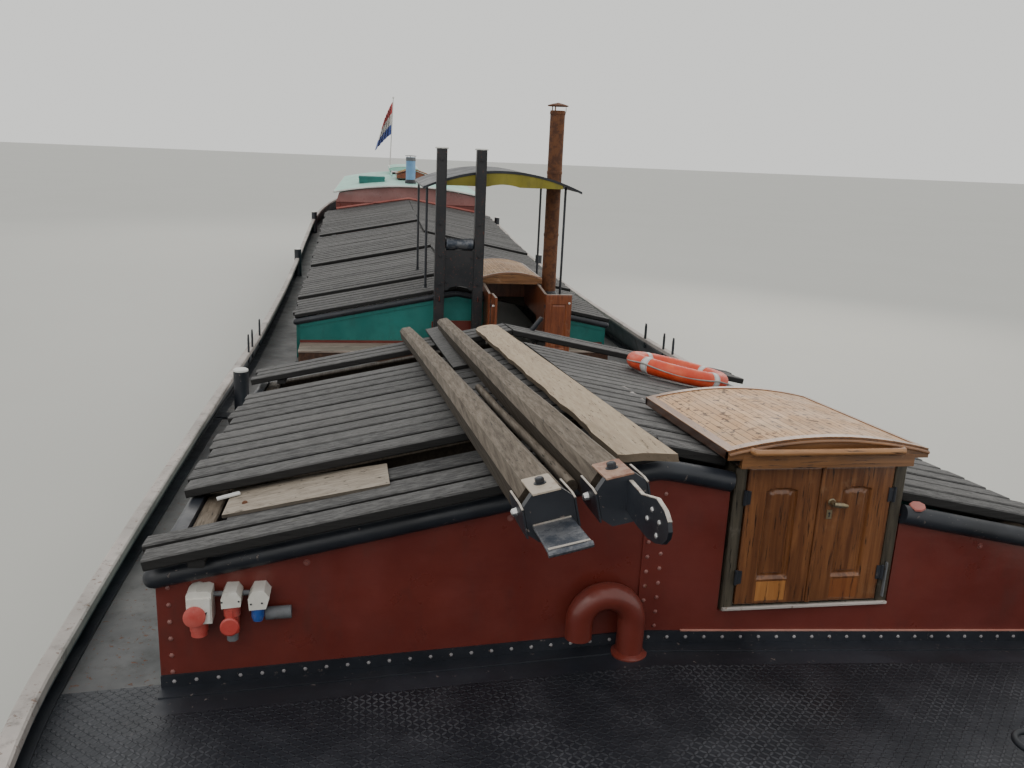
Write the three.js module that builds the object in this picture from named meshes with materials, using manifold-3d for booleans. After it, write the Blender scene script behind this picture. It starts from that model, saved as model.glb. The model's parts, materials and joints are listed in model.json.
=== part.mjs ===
// River barge: riveted flat-bottomed hull, two board-covered holds, mast tabernacle, aft cabin.
// Millimetres. X to port, Y aft, Z up. The bow faces -Y, and Z is 0 on the flat bottom.
import * as THREE from "three";
import { mergeVertices } from "three/addons/utils/BufferGeometryUtils.js";
import Module from "manifold-3d";

const wasm = await Module();
wasm.setup();

// Driving dimensions
const GAP = 0.5;
const HOLD_FRONT = -10250;
const HOLD_HALF = 1950;
const FORE_HATCH_END = -6220;
const MID_WALL = -2480;
const CABIN_FRONT = 8980;
const CABIN_END = 12480;
const WELL_END = 12500;
const FLOOR_TOP = 120;
const SHELL = 80;
const DECK_PLATE = 40;
const BILGE = 420;
const CAMBER_SLOPE = 0.0515;
const RAIL_R = 34;
const COAMING = 40;
const BOARD = 45;
const SEAT = 12;

// Hull form, one station a row
const HULL_COLUMNS = ["y", "bottomHalf", "bottomZ", "bilgeHalf", "deckHalf", "deckZ", "railZ"];
const HULL_FORM = [
  [-14850, 40, 2350, 45, 60, 2600, 3000],
  [-14600, 40, 1880, 60, 620, 2580, 2950],
  [-14150, 40, 1030, 90, 1130, 2550, 2880],
  [-13600, 40, 0, 170, 1500, 2515, 2790],
  [-13100, 480, 0, 800, 1760, 2480, 2710],
  [-12300, 1080, 0, 1450, 2060, 2425, 2600],
  [-11400, 1560, 0, 1950, 2300, 2370, 2510],
  [-10250, 1930, 0, 2260, 2430, 2315, 2440],
  [-8000, 2120, 0, 2410, 2470, 2162, 2350],
  [-5500, 2170, 0, 2440, 2480, 1995, 2265],
  [-2480, 2180, 0, 2440, 2480, 1800, 2170],
  [1000, 2180, 0, 2440, 2480, 1750, 2135],
  [5000, 2160, 0, 2430, 2480, 1840, 2180],
  [8980, 2050, 0, 2360, 2440, 2060, 2400],
  [10600, 1650, 0, 2050, 2360, 2170, 2520],
  [11700, 1080, 0, 1620, 2240, 2245, 2600],
  [12500, 150, 0, 620, 2120, 2300, 2660],
  [13000, 60, 560, 480, 2020, 2335, 2700],
  [13350, 70, 1000, 760, 1920, 2360, 2725],
  [13700, 120, 1250, 900, 1770, 2385, 2755],
  [14200, 200, 1520, 900, 1440, 2425, 2800],
  [14650, 180, 1760, 520, 880, 2460, 2850],
  [14850, 60, 1950, 150, 320, 2480, 2880],
];

// Top of the hatch coaming, and the ridge height above it
const HATCH_COLUMNS = ["y", "sideZ", "ridgeRise"];
const HATCH_FORM = [
  [-10250, 2825, 404],
  [-6300, 2490, 395],
  [-2480, 2244, 385],
  [1500, 2240, 380],
  [5000, 2360, 375],
  [8980, 2600, 330],
];

function rowAt(table, columns, y) {
  const last = table.length - 1;
  let i = 0;
  while (i < last - 1 && y > table[i + 1][0]) i += 1;
  const t = Math.min(1, Math.max(0, (y - table[i][0]) / (table[i + 1][0] - table[i][0])));
  return Object.fromEntries(columns.map((name, c) => [name, table[i][c] * (1 - t) + table[i + 1][c] * t]));
}

const hullAt = (y) => rowAt(HULL_FORM, HULL_COLUMNS, y);
const hatchAt = (y) => rowAt(HATCH_FORM, HATCH_COLUMNS, y);
const roofZ = (x, y) => hatchAt(y).sideZ + hatchAt(y).ridgeRise * (1 - Math.abs(x) / HOLD_HALF);
const foredeckZ = (x, y) => hullAt(y).deckZ + CAMBER_SLOPE * (hullAt(y).deckHalf - Math.abs(x));

function stationsBetween(table, from, to) {
  const inside = table.map((row) => row[0]).filter((y) => y > from + 1 && y < to - 1);
  return [from, ...inside, to];
}

// Solids: geometry to manifold and back
function solid(geometry) {
  const bare = geometry.index ? geometry.toNonIndexed() : geometry.clone();
  bare.deleteAttribute("normal");
  bare.deleteAttribute("uv");
  const merged = mergeVertices(bare, 0.01);
  return new wasm.Manifold(new wasm.Mesh({
    numProp: 3,
    vertProperties: new Float32Array(merged.attributes.position.array),
    triVerts: new Uint32Array(merged.index.array),
  }));
}

function geometryOf(manifold) {
  const mesh = manifold.getMesh();
  const geometry = new THREE.BufferGeometry();
  geometry.setAttribute("position", new THREE.BufferAttribute(new Float32Array(mesh.vertProperties), 3));
  geometry.setIndex(new THREE.BufferAttribute(new Uint32Array(mesh.triVerts), 1));
  return geometry;
}

const union = (solids) => solids.reduce((sum, next) => sum.add(next));
const cut = (body, tools) => tools.reduce((rest, tool) => rest.subtract(tool), body);

function placed(geometry, { at = [0, 0, 0], turn = [0, 0, 0] } = {}) {
  const copy = geometry.clone();
  copy.applyMatrix4(new THREE.Matrix4().compose(
    new THREE.Vector3(...at),
    new THREE.Quaternion().setFromEuler(new THREE.Euler(...turn)),
    new THREE.Vector3(1, 1, 1),
  ));
  return copy;
}

function box(x, y, z) {
  const geometry = new THREE.BoxGeometry(x[1] - x[0], y[1] - y[0], z[1] - z[0]);
  geometry.translate((x[0] + x[1]) / 2, (y[0] + y[1]) / 2, (z[0] + z[1]) / 2);
  return solid(geometry);
}

// A loft through equal closed rings of points, with flat caps
function loft(rings, capAxes) {
  const count = rings[0].length;
  const points = rings.flat();
  const faces = [];
  for (let i = 0; i < rings.length - 1; i += 1) {
    for (let j = 0; j < count; j += 1) {
      const a = i * count + j;
      const b = i * count + ((j + 1) % count);
      faces.push([a, b, b + count], [a, b + count, a + count]);
    }
  }
  const caps = [[0, true], [rings.length - 1, false]];
  for (const [ring, flip] of caps) {
    const flat = rings[ring].map((p) => new THREE.Vector2(p[capAxes[0]], p[capAxes[1]]));
    const clockwise = THREE.ShapeUtils.isClockWise(flat);
    const order = clockwise ? flat.map((_, k) => flat.length - 1 - k) : flat.map((_, k) => k);
    const cap = THREE.ShapeUtils.triangulateShape(order.map((k) => flat[k]), []);
    for (const face of cap) {
      const ids = face.map((k) => ring * count + order[k]);
      faces.push(flip !== clockwise ? [ids[0], ids[2], ids[1]] : ids);
    }
  }
  return closedMesh(points, faces);
}

function closedMesh(points, faces) {
  let volume = 0;
  for (const [a, b, c] of faces) {
    const [p, q, r] = [points[a], points[b], points[c]].map((v) => new THREE.Vector3(...v));
    volume += p.dot(q.clone().cross(r));
  }
  const turned = volume < 0 ? faces.map(([a, b, c]) => [a, c, b]) : faces;
  const geometry = new THREE.BufferGeometry();
  geometry.setAttribute("position", new THREE.BufferAttribute(new Float32Array(points.flat()), 3));
  geometry.setIndex(turned.flat());
  return solid(geometry);
}

const loftAlongY = (section, stations) => loft(stations.map((y) => section(y).map(([x, z]) => [x, y, z])), [0, 2]);

// An XZ outline given a thickness along Y
function plateXZ(outline, y0, y1) {
  return loft([y0, y1].map((y) => outline.map(([x, z]) => [x, y, z])), [0, 2]);
}

// An XY outline given a thickness along Z
function plateXY(outline, z0, z1) {
  return loft([z0, z1].map((z) => outline.map(([x, y]) => [x, y, z])), [0, 1]);
}

function cylinder(from, to, radius, sides = 12, radiusTo = radius) {
  const a = new THREE.Vector3(...from);
  const b = new THREE.Vector3(...to);
  const geometry = new THREE.CylinderGeometry(radiusTo, radius, a.distanceTo(b), sides);
  const turn = new THREE.Quaternion().setFromUnitVectors(new THREE.Vector3(0, 1, 0), b.clone().sub(a).normalize());
  geometry.applyQuaternion(turn);
  geometry.translate((a.x + b.x) / 2, (a.y + b.y) / 2, (a.z + b.z) / 2);
  return solid(geometry);
}

const ball = (at, radius, sides = 10) => solid(placed(new THREE.SphereGeometry(radius, sides, sides / 2), { at }));

function mirrored(manifold) {
  return manifold.mirror([1, 0, 0]);
}

// Hull
const STRAKE = [[-240, 0], [-200, 45], [-140, 60], [-80, 45]];

// One side of a hull section, from the flat bottom up to the deck edge
function hullSide(y) {
  const f = hullAt(y);
  const bilge = Math.min(BILGE, 0.2 * (f.deckZ - f.bottomZ));
  const side = [[f.bottomHalf, f.bottomZ]];
  for (const turn of [30, 60, 90]) {
    const t = THREE.MathUtils.degToRad(turn);
    side.push([
      f.bottomHalf + (f.bilgeHalf - f.bottomHalf) * Math.sin(t),
      f.bottomZ + bilge * (1 - Math.cos(t)),
    ]);
  }
  const slope = (f.deckHalf - f.bilgeHalf) / (f.deckZ - f.bottomZ - bilge);
  const squeeze = Math.min(1, (f.deckZ - f.bottomZ) / 1000);
  for (const [drop, proud] of STRAKE) {
    const z = drop * squeeze;
    side.push([f.deckHalf + slope * z + proud * squeeze, f.deckZ + z]);
  }
  side.push([f.deckHalf, f.deckZ]);
  return side;
}

function fullSection(y) {
  const port = hullSide(y);
  const starboard = port.map(([x, z]) => [-x, z]).reverse();
  return [...port, [0, foredeckZ(0, y)], ...starboard];
}

// A pair of mooring posts on one foot plate, welded to the deck
const BITT = { apart: 170, radius: 70, high: 420 };

function bitts(x, y) {
  const deck = foredeckZ(x, y);
  const foot = box([x - 100, x + 100], [y - 300, y + 300], [deck - 60, deck + 20]);
  const posts = [-BITT.apart, BITT.apart].map((step) =>
    cylinder([x, y + step, deck - 20], [x, y + step, deck + BITT.high], BITT.radius, 12));
  return union([foot, ...posts]);
}

function bow() {
  const body = loftAlongY(fullSection, stationsBetween(HULL_FORM, -14850, HOLD_FRONT));
  return union([body, bitts(1180, -12750), bitts(-1180, -12750)]);
}

function shellSection(y) {
  const outer = hullSide(y);
  const f = hullAt(y);
  const inner = [
    [f.deckHalf - SHELL, f.deckZ],
    [f.deckHalf - SHELL, f.deckZ - DECK_PLATE - 5],
    [f.bilgeHalf - SHELL, BILGE],
    [f.bottomHalf + GAP, FLOOR_TOP],
    [f.bottomHalf + GAP, 0],
  ];
  outer[0] = [f.bottomHalf + SHELL, 0];
  return [...outer, ...inner];
}

const SHELL_STATIONS = stationsBetween(HULL_FORM, HOLD_FRONT + GAP, WELL_END - GAP);
const sideShell = () => loftAlongY(shellSection, SHELL_STATIONS);

function bottomPlate() {
  const ys = SHELL_STATIONS;
  const outline = [
    ...ys.map((y) => [hullAt(y).bottomHalf, y]),
    ...ys.map((y) => [-hullAt(y).bottomHalf, y]).reverse(),
  ];
  return plateXY(outline, 0, FLOOR_TOP);
}

const SHAFT_Z = 520;
const PROP_Y = 13300;
const RUDDER_STOCK_Y = 13800;
const SOLE_TOP = 90;
const STOCK_R = 45;
const WELL_R = 62;

function stern() {
  const body = loftAlongY(fullSection, stationsBetween(HULL_FORM, WELL_END, 14850));
  const skeg = plateXZ([[-45, 0], [45, 0], [45, 900], [-45, 900]], 12500, 12950);
  const sole = box([-60, 60], [12500, 13900], [0, SOLE_TOP]);
  const boss = cylinder([0, 12500, SHAFT_Z], [0, 13090, SHAFT_Z], 130, 16, 85);
  const stockWell = cylinder([0, RUDDER_STOCK_Y, 700], [0, RUDDER_STOCK_Y, 2700], WELL_R, 16);
  return cut(union([body, skeg, sole, boss, bitts(1100, 13550), bitts(-1100, 13550)]), [stockWell]);
}

// Bulwark: an inward leaning plate with a cap rail, swept round the deck edge
const BULWARK_PLATE = 22;
const BASE_LIFT = 3;
const CAP_HIGH = 45;
const CAP_OUT = 28;
const CAP_IN = 42;
const LEAN = 0.32;
// Bollards: y, radius, distance in from the deck edge
const BOLLARDS = [[-5600, 62, 262], [4200, 65, 125], [9600, 65, 125]];
const CHAINPLATES = [[-3950, 40], [-3640, 40], [-2960, 55]];

function railPath() {
  const edge = HULL_FORM.map(([y, , , , deckHalf, deckZ, railZ]) => ({ x: deckHalf, y, deckZ, railZ }));
  const stem = edge[0];
  const taffrail = edge[edge.length - 1];
  const crowned = (p) => ({ ...p, deckZ: p.deckZ + CAMBER_SLOPE * p.x + 2 });
  const first = { ...crowned(stem), x: GAP, y: stem.y - 12 };
  const last = { ...crowned(taffrail), x: GAP, y: taffrail.y + 12 };
  edge[0] = crowned(stem);
  edge[edge.length - 1] = crowned(taffrail);
  return [first, ...edge, last];
}

function bulwark() {
  const path = railPath();
  const rings = path.map((p, i) => {
    const before = path[Math.max(0, i - 1)];
    const after = path[Math.min(path.length - 1, i + 1)];
    const out = new THREE.Vector2(after.y - before.y, -(after.x - before.x)).normalize();
    if (i === 0) out.set(0, -1);
    if (i === path.length - 1) out.set(0, 1);
    const high = p.railZ - p.deckZ;
    const lean = LEAN * high;
    const profile = [
      [0, p.deckZ + BASE_LIFT],
      [-lean, p.railZ - CAP_HIGH],
      [-lean + CAP_OUT, p.railZ - CAP_HIGH],
      [-lean + CAP_OUT, p.railZ],
      [-lean - CAP_IN, p.railZ],
      [-lean - CAP_IN, p.railZ - CAP_HIGH],
      [-lean - BULWARK_PLATE, p.railZ - CAP_HIGH],
      [-BULWARK_PLATE, p.deckZ + BASE_LIFT],
    ];
    const start = i === 0 || i === path.length - 1;
    return profile.map(([u, z]) => [start ? GAP : Math.max(GAP + 3, p.x + out.x * u), p.y + out.y * u, z]);
  });
  const posts = BOLLARDS.flatMap(([y, r, inset]) => {
    const f = hullAt(y);
    const x = f.deckHalf - inset;
    const foot = box([x - r - 10, f.deckHalf - 20], [y - r - 10, y + r + 10], [f.deckZ + 9, f.deckZ + 23]);
    return [cylinder([x, y, f.deckZ + 9], [x, y, f.railZ + 180], r, 8), foot];
  });
  const bars = CHAINPLATES.map(([y, wide]) => {
    const f = hullAt(y);
    const x = f.deckHalf - LEAN * (f.railZ - f.deckZ) - 30;
    return box([x - 9, x + 9], [y - wide / 2, y + wide / 2], [f.railZ - 120, f.railZ + 190]);
  });
  return union([loft(rings, [1, 2]), ...posts, ...bars]);
}


// Decks and coamings
const CABIN_HALF = { front: 1750, end: 1540 };
const CABIN_SIDE_TOP = { front: 3120, end: 3330 };
const alongCabin = (pair, y) => THREE.MathUtils.mapLinear(y, CABIN_FRONT, CABIN_END, pair.front, pair.end);
const cabinHalf = (y) => alongCabin(CABIN_HALF, y);
const cabinTop = (y) => alongCabin(CABIN_SIDE_TOP, y);

function sideDeck() {
  const strip = (inner) => (y) => {
    const f = hullAt(y);
    const outer = f.deckHalf - SHELL - GAP;
    return [[inner(y), f.deckZ - DECK_PLATE], [outer, f.deckZ - DECK_PLATE], [outer, f.deckZ], [inner(y), f.deckZ]];
  };
  const beside = loftAlongY(strip(() => HOLD_HALF + GAP),
    stationsBetween(HULL_FORM, HOLD_FRONT + GAP, CABIN_FRONT + 30));
  const aft = loftAlongY(strip((y) => cabinHalf(y) + GAP),
    stationsBetween(HULL_FORM, CABIN_FRONT, WELL_END - GAP));
  return cut(union([beside, aft]), [box([0, HOLD_HALF + GAP], [CABIN_FRONT - 60, CABIN_FRONT], [1500, 2500])]);
}

const CARLING_DROP = 250;

function coaming() {
  const carling = (y) => {
    const z = hullAt(y).deckZ;
    const inner = HOLD_HALF - COAMING;
    return [[inner, z - CARLING_DROP], [HOLD_HALF, z - CARLING_DROP], [HOLD_HALF, z], [inner, z]];
  };
  const wall = (y) => {
    const z = hatchAt(y).sideZ;
    const base = hullAt(y).deckZ - CARLING_DROP / 2;
    const inner = HOLD_HALF - COAMING;
    return [
      [inner, base], [HOLD_HALF, base], [HOLD_HALF, z - RAIL_R],
      [HOLD_HALF + 24, z - 24], [HOLD_HALF + RAIL_R, z], [HOLD_HALF + 24, z + 24],
      [HOLD_HALF, z + RAIL_R], [inner, z + RAIL_R],
    ];
  };
  const ys = [...new Set([...HULL_FORM, ...HATCH_FORM].map((row) => row[0]))].sort((a, b) => a - b);
  const table = ys.map((y) => [y]);
  return union([
    loftAlongY(carling, stationsBetween(table, HOLD_FRONT + GAP, CABIN_FRONT - GAP)),
    loftAlongY(wall, stationsBetween(table, HOLD_FRONT + GAP, FORE_HATCH_END)),
    loftAlongY(wall, stationsBetween(table, MID_WALL + 21, CABIN_FRONT - GAP)),
  ]);
}

const MAST_DECK_CAMBER = 60;
// Low bench along the foot of the mid bulkhead: from x, to x, front
const BENCH = { top: 1990, starboard: [-1905, -345, -2940], port: [1072, 1905, -2860] };
const mastDeckZ = (x, y) => hullAt(y).deckZ + MAST_DECK_CAMBER * (1 - Math.abs(x) / HOLD_HALF);

// The cross deck that carries the tabernacle, with the wall that closes the fore hatch
function mastDeck() {
  const half = HOLD_HALF - COAMING - GAP;
  const top = (y) => {
    const z = hullAt(y).deckZ;
    const ridge = mastDeckZ(0, y);
    return [[-half, z - DECK_PLATE], [half, z - DECK_PLATE], [half, z], [0, ridge], [-half, z]];
  };
  const deck = loftAlongY(top, [FORE_HATCH_END - 200, MID_WALL, MID_WALL + 200]);
  const wallTop = hatchAt(FORE_HATCH_END);
  const base = hullAt(FORE_HATCH_END).deckZ - 150;
  const slopeTop = (x) => wallTop.sideZ + wallTop.ridgeRise * (1 - Math.abs(x) / HOLD_HALF) - 10;
  const wall = plateXZ([[-half, base], [half, base], [half, slopeTop(half)], [0, slopeTop(0)], [-half, slopeTop(half)]],
    FORE_HATCH_END - 40, FORE_HATCH_END);
  const bench = [BENCH.starboard, BENCH.port].map(([x0, x1, front]) =>
    box([x0, x1], [front, MID_WALL - GAP], [mastDeckZ(x1, MID_WALL) - DECK_PLATE / 2, BENCH.top]));
  return union([deck, wall, ...bench]);
}

// Bulkheads with a half-round rail along the peaked top
function peakedRail(y, halfWidth) {
  const rings = [-halfWidth, -60, 60, halfWidth].map((x) =>
    Array.from({ length: 8 }, (_, i) => {
      const t = ((i + 0.5) * Math.PI) / 4;
      return [x, y + RAIL_R * Math.cos(t), roofZ(x, y) + RAIL_R * Math.sin(t)];
    }));
  return loft(rings, [1, 2]);
}

function bulkheadPlate(y0, y1, footZ) {
  const z = (x) => roofZ(x, y1);
  const half = HOLD_HALF;
  return plateXZ([
    [-half, footZ(half)], [0, footZ(0)], [half, footZ(half)],
    [half, z(half)], [60, z(60)], [-60, z(60)], [-half, z(half)],
  ], y0, y1);
}

const FORE_DOOR = { left: 370, right: 1030, sill: 2608, sillThick: 22, top: 3238, jambTop: 3238 };
const VENT = { x: -200, y: -10362, z: 2600, bend: 110, pipe: 50 };

function ventPipe() {
  const bend = new THREE.TorusGeometry(VENT.bend, VENT.pipe, 10, 16);
  const ring = solid(placed(bend, { at: [VENT.x, VENT.y, VENT.z], turn: [Math.PI / 2, 0, 0] }));
  const top = cut(ring, [box([VENT.x - 300, VENT.x + 300], [VENT.y - 100, VENT.y + 100], [VENT.z - 300, VENT.z])]);
  const x0 = VENT.x - VENT.bend;
  const x1 = VENT.x + VENT.bend;
  const foot = foredeckZ(x1, VENT.y) + 14;
  const leg = cylinder([x1, VENT.y, foot], [x1, VENT.y, VENT.z + 1], VENT.pipe, 12);
  const mouth = cylinder([x0, VENT.y, VENT.z - 70], [x0, VENT.y, VENT.z + 1], VENT.pipe, 12);
  const bore = cylinder([x0, VENT.y, VENT.z - 90], [x0, VENT.y, VENT.z], VENT.pipe - 8, 12);
  const bracket = box([VENT.x - 20, VENT.x + 20], [VENT.y, HOLD_FRONT - 20], [VENT.z + 80, VENT.z + 110]);
  return cut(union([top, leg, mouth, bracket]), [bore]);
}

function frontBulkhead() {
  const front = HOLD_FRONT - COAMING;
  const foot = (x) => foredeckZ(x, front) + 3;
  const plate = bulkheadPlate(front, HOLD_FRONT - GAP, foot);
  const doorway = box([FORE_DOOR.left, FORE_DOOR.right], [front - 100, HOLD_FRONT + 100], [FORE_DOOR.sill, 4000]);
  const frameRoom = box([308, 1092], [front - 100, HOLD_FRONT + 100], [FORE_DOOR.sill - FORE_DOOR.sillThick - 2, 4000]);
  const rail = peakedRail(front - 8, HOLD_HALF);
  const railRoom = box([-3000, 3000], [HOLD_FRONT - GAP, HOLD_FRONT + 200], [2000, 4000]);
  const upper = cut(union([plate, rail]), [doorway, frameRoom, railRoom]);
  return union([upper, ventPipe()]);
}

const MID_DOOR = { left: 370, right: 1040, sill: 1925, top: 2715 };
const TRUNK = { left: 345, right: 1065, front: -2900, end: -1500, wall: 25, frontTop: 2700, top: 2740, coverFrom: -1980 };

function midBulkhead() {
  const plate = bulkheadPlate(MID_WALL, MID_WALL + COAMING, (x) => mastDeckZ(x, MID_WALL) + 3);
  const inward = cut(plate, [
    box([-3000, -HOLD_HALF + COAMING + GAP], [-3000, 0], [0, 4000]),
    box([HOLD_HALF - COAMING - GAP, 3000], [-3000, 0], [0, 4000]),
  ]);
  const rail = cut(peakedRail(MID_WALL - 8, HOLD_HALF), [
    box([-3000, 3000], [MID_WALL + 20, MID_WALL + 300], [0, 4000]),
  ]);
  const trunkRoom = box([TRUNK.left - 2, TRUNK.right + 2], [-3000, 0], [MID_DOOR.sill - 5, 4000]);
  const stiffener = plateXZ([
    [-1905, roofZ(1905, MID_WALL) - 70], [0, roofZ(0, MID_WALL) - 70], [1905, roofZ(1905, MID_WALL) - 70],
    [1905, roofZ(1905, MID_WALL) - 10], [0, roofZ(0, MID_WALL) - 10], [-1905, roofZ(1905, MID_WALL) - 10],
  ], MID_WALL - 12, MID_WALL + 2);
  return cut(union([inward, rail, stiffener]), [trunkRoom]);
}

// Companionways: framed openings with sliding hoods
const SHEER_FALL = 0.075;
const LEAF = 35;

function foreCompanion() {
  const front = HOLD_FRONT - 60;
  const fallen = (y) => FORE_DOOR.jambTop - (y - front) * SHEER_FALL;
  const end = -8600;
  const low = (y) => fallen(y) - 40;
  const side = (x0, x1, railed) => {
    const jamb = box([x0, x1], [front, HOLD_FRONT + 60], [FORE_DOOR.sill - FORE_DOOR.sillThick, FORE_DOOR.jambTop - 8]);
    const middle = (x0 + x1) / 2;
    const rail = loftAlongY((y) => [
      [middle - 12, low(y)], [middle + 12, low(y)], [middle + 12, fallen(y)], [middle - 12, fallen(y)],
    ], [front + 5, end]);
    const wall = loftAlongY((y) => {
      const foot = Math.min(roofZ(x0, y), roofZ(x1, y)) - 60;
      return [[middle - 12, foot], [middle + 12, foot], [middle + 12, fallen(y)], [middle - 12, fallen(y)]];
    }, [HOLD_FRONT + 50, -9300]);
    if (!railed) return union([jamb, wall]);
    const post = cylinder([middle, end - 15, roofZ(middle, end) + RAIL_R + SEAT + BOARD + 12],
      [middle, end - 15, low(end) + 20], 11, 8);
    return union([jamb, rail, wall, post]);
  };
  const sill = box([321, 1079], [front, HOLD_FRONT + 30], [FORE_DOOR.sill - FORE_DOOR.sillThick, FORE_DOOR.sill]);
  const back = loftAlongY(() => [
    [332, roofZ(332, -9300) - 260], [1068, roofZ(332, -9300) - 260], [1068, fallen(-9290)], [332, fallen(-9290)],
  ], [-9324, -9300]);
  return union([side(320, 370, false), side(1030, 1080, true), sill, back]);
}

// A door leaf with its pin barrel, hung at hingeX and reaching to freeX
function leaf({ hingeX, freeX, front, thick, sill, top, panel }) {
  const toward = Math.sign(freeX - hingeX);
  const inner = hingeX + toward * 10;
  const x = [Math.min(inner, freeX), Math.max(inner, freeX)];
  const board = box(x, [front, front + thick], [sill, top]);
  const frame = 75;
  const recess = box([x[0] + frame, x[1] - frame], [front - 5, front + 7], [sill + frame, top - frame]);
  const field = box([x[0] + frame + 28, x[1] - frame - 28], [front - 1, front + 12],
    [sill + frame + 28, top - frame - 28]);
  const straps = [0.2, 0.8].map((part) => {
    const z = sill + (top - sill) * part;
    const strap = box([Math.min(hingeX, inner + toward * 30), Math.max(hingeX, inner + toward * 30)],
      [front - 7, front + 2], [z - 20, z + 20]);
    return union([strap, cylinder([hingeX, front - 5, z - 22], [hingeX, front - 5, z + 22], 5, 8)]);
  });
  const panelled = panel ? union([cut(board, [recess]), field]) : board;
  return union([panelled, ...straps]);
}

const FORE_LEAF = { front: HOLD_FRONT - 62, thick: LEAF, sill: FORE_DOOR.sill + 7, top: FORE_DOOR.top - 5, panel: true };
const foreDoor = (hingeX, freeX) => leaf({ ...FORE_LEAF, hingeX, freeX });

const MID_LEAF = { front: TRUNK.front - 5, thick: 30, sill: MID_DOOR.sill + 8, top: MID_DOOR.top - 8, panel: true };

function midDoorPort() {
  const closed = leaf({ ...MID_LEAF, hingeX: TRUNK.right - 26, freeX: 708 });
  const axis = [TRUNK.right - 26, MID_LEAF.front - 5];
  return closed.translate([-axis[0], -axis[1], 0]).rotate([0, 0, 180]).translate([axis[0], axis[1], 0]);
}

function midDoorStarboard() {
  const closed = leaf({ ...MID_LEAF, hingeX: TRUNK.left + 26, freeX: 702 });
  const axis = [TRUNK.left + 26, MID_LEAF.front - 5];
  return closed.translate([-axis[0], -axis[1], 0]).rotate([0, 0, -90]).translate([axis[0], axis[1], 0]);
}

// An arched hood, open below: columns of the section are x across and z up
function hood({ left, right, sideTop, crown, skirt, wall, front, end, fall, fasciaDrop, fasciaInset }) {
  const centre = (left + right) / 2;
  const half = (right - left) / 2;
  const parts = [-1, -0.6, -0.2, 0.2, 0.6, 1];
  const arch = (x) => sideTop + crown * (1 - ((x - centre) / half) ** 2);
  const outer = parts.map((p) => centre + p * half).map((x) => [x, arch(x)]);
  const inner = parts.map((p) => centre + p * (half - wall)).map((x) => [x, arch(x) - wall]).reverse();
  const ring = [[left, sideTop - skirt], ...outer, [right, sideTop - skirt],
    [right - wall, sideTop - skirt], ...inner, [left + wall, sideTop - skirt]];
  const lowered = (outline) => (y) => outline.map(([x, z]) => [x, z - (y - front) * fall]);
  const shell = loftAlongY(lowered(ring), [front, end]);
  const plate = (drop, inset) => [
    [left + inset, sideTop - drop], ...outer.filter(([x]) => x > left + inset && x < right - inset).map(([x, z]) => [x, z - 4]),
    [right - inset, sideTop - drop],
  ];
  const board = [[left, sideTop - skirt], ...outer, [right, sideTop - skirt]];
  const fascia = loftAlongY(lowered(board), [front, front + wall]);
  const rear = loftAlongY(lowered(board), [end - wall, end]);
  const drop = loftAlongY(lowered(plate(fasciaDrop, fasciaInset)), [front, front + wall]);
  return union([shell, fascia, rear, drop]);
}

const FORE_HOOD = {
  left: 250, right: 1122, sideTop: 3320, crown: 55, skirt: 34, wall: 24,
  front: -10366, end: -9310, fall: SHEER_FALL, fasciaDrop: 70, fasciaInset: 60,
};

function foreHood() {
  const body = hood(FORE_HOOD);
  const z = FORE_HOOD.sideTop + 6;
  const y = FORE_HOOD.front - 32;
  const ends = [350, 995];
  const bar = cylinder([ends[0], y, z], [ends[1], y, z], 15, 10);
  const stems = ends.map((x) => cylinder([x, y, z], [x, FORE_HOOD.front + 10, z], 15, 10));
  return union([body, bar, ball([ends[0], y, z], 15), ball([ends[1], y, z], 15), ...stems]);
}

const MID_HOOD = {
  left: 313, right: 1097, sideTop: 2820, crown: 70, skirt: 60, wall: 20,
  front: -2400, end: -1000, fall: 0, fasciaDrop: 72, fasciaInset: 62,
};
const midHood = () => hood(MID_HOOD);

function midTrunk() {
  const t = TRUNK;
  const deck = mastDeckZ(t.left, t.front) + 14;
  const profile = (x) => {
    const roof = Math.min(roofZ(x, t.end), roofZ(x, MID_WALL)) - 60;
    return [
      [t.front, deck], [MID_WALL - GAP, deck], [MID_WALL - GAP, MID_DOOR.sill], [MID_WALL + 60, MID_DOOR.sill],
      [MID_WALL + 60, roof], [t.end, roof], [t.end, t.top], [MID_WALL + 60, t.top], [t.front, t.frontTop],
    ];
  };
  const side = (x0, x1, outer) => loft([x0, x1].map((x) => profile(outer).map(([y, z]) => [x, y, z])), [1, 2]);
  const port = side(t.right - t.wall, t.right, t.right);
  const starboard = side(t.left, t.left + t.wall, t.right);
  const back = box([t.left, t.right], [t.end - t.wall, t.end], [roofZ(t.left, t.end) - 120, t.top]);
  const step = box([t.left, t.right], [t.front, t.front + 30], [deck, MID_DOOR.sill]);
  const tread = box([t.left, t.right], [t.front, MID_WALL - GAP], [MID_DOOR.sill - 30, MID_DOOR.sill]);
  const cover = box([t.left, t.right], [t.coverFrom, t.end], [t.top - 25, t.top]);
  return union([port, starboard, back, step, tread, cover]);
}

// Hatch boards on their carriers: columns from, to, board pitch, lift
const BOARD_GAP = 12;
const EAVE = 2010;
const FORE_STARBOARD = [
  [-10400, -10120, 140, 34],
  [-10100, -9460, 320, -90, 1800],
  [-9440, -7110, 194, 0],
  [-6700, -6200, 167, 36],
];
const FORE_PORT = [
  [-10240, -7110, 184, 0],
  [-6700, -6200, 167, 36],
];
const AFT_STARBOARD = [
  [-2470, -1380, 182, 0],
  [-1350, 150, 188, 34],
  [180, 1700, 190, 0],
  [1730, 3250, 190, 40],
  [3290, 5180, 189, 4],
  [5210, 6720, 189, 44],
  [6750, 8960, 184, 8],
];
const AFT_PORT = [
  [-2470, -340, 194, 0],
  [-310, 1580, 189, 36],
  [1610, 3500, 189, 4],
  [3530, 5990, 189, 44],
  [6020, 8960, 184, 6],
];

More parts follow.
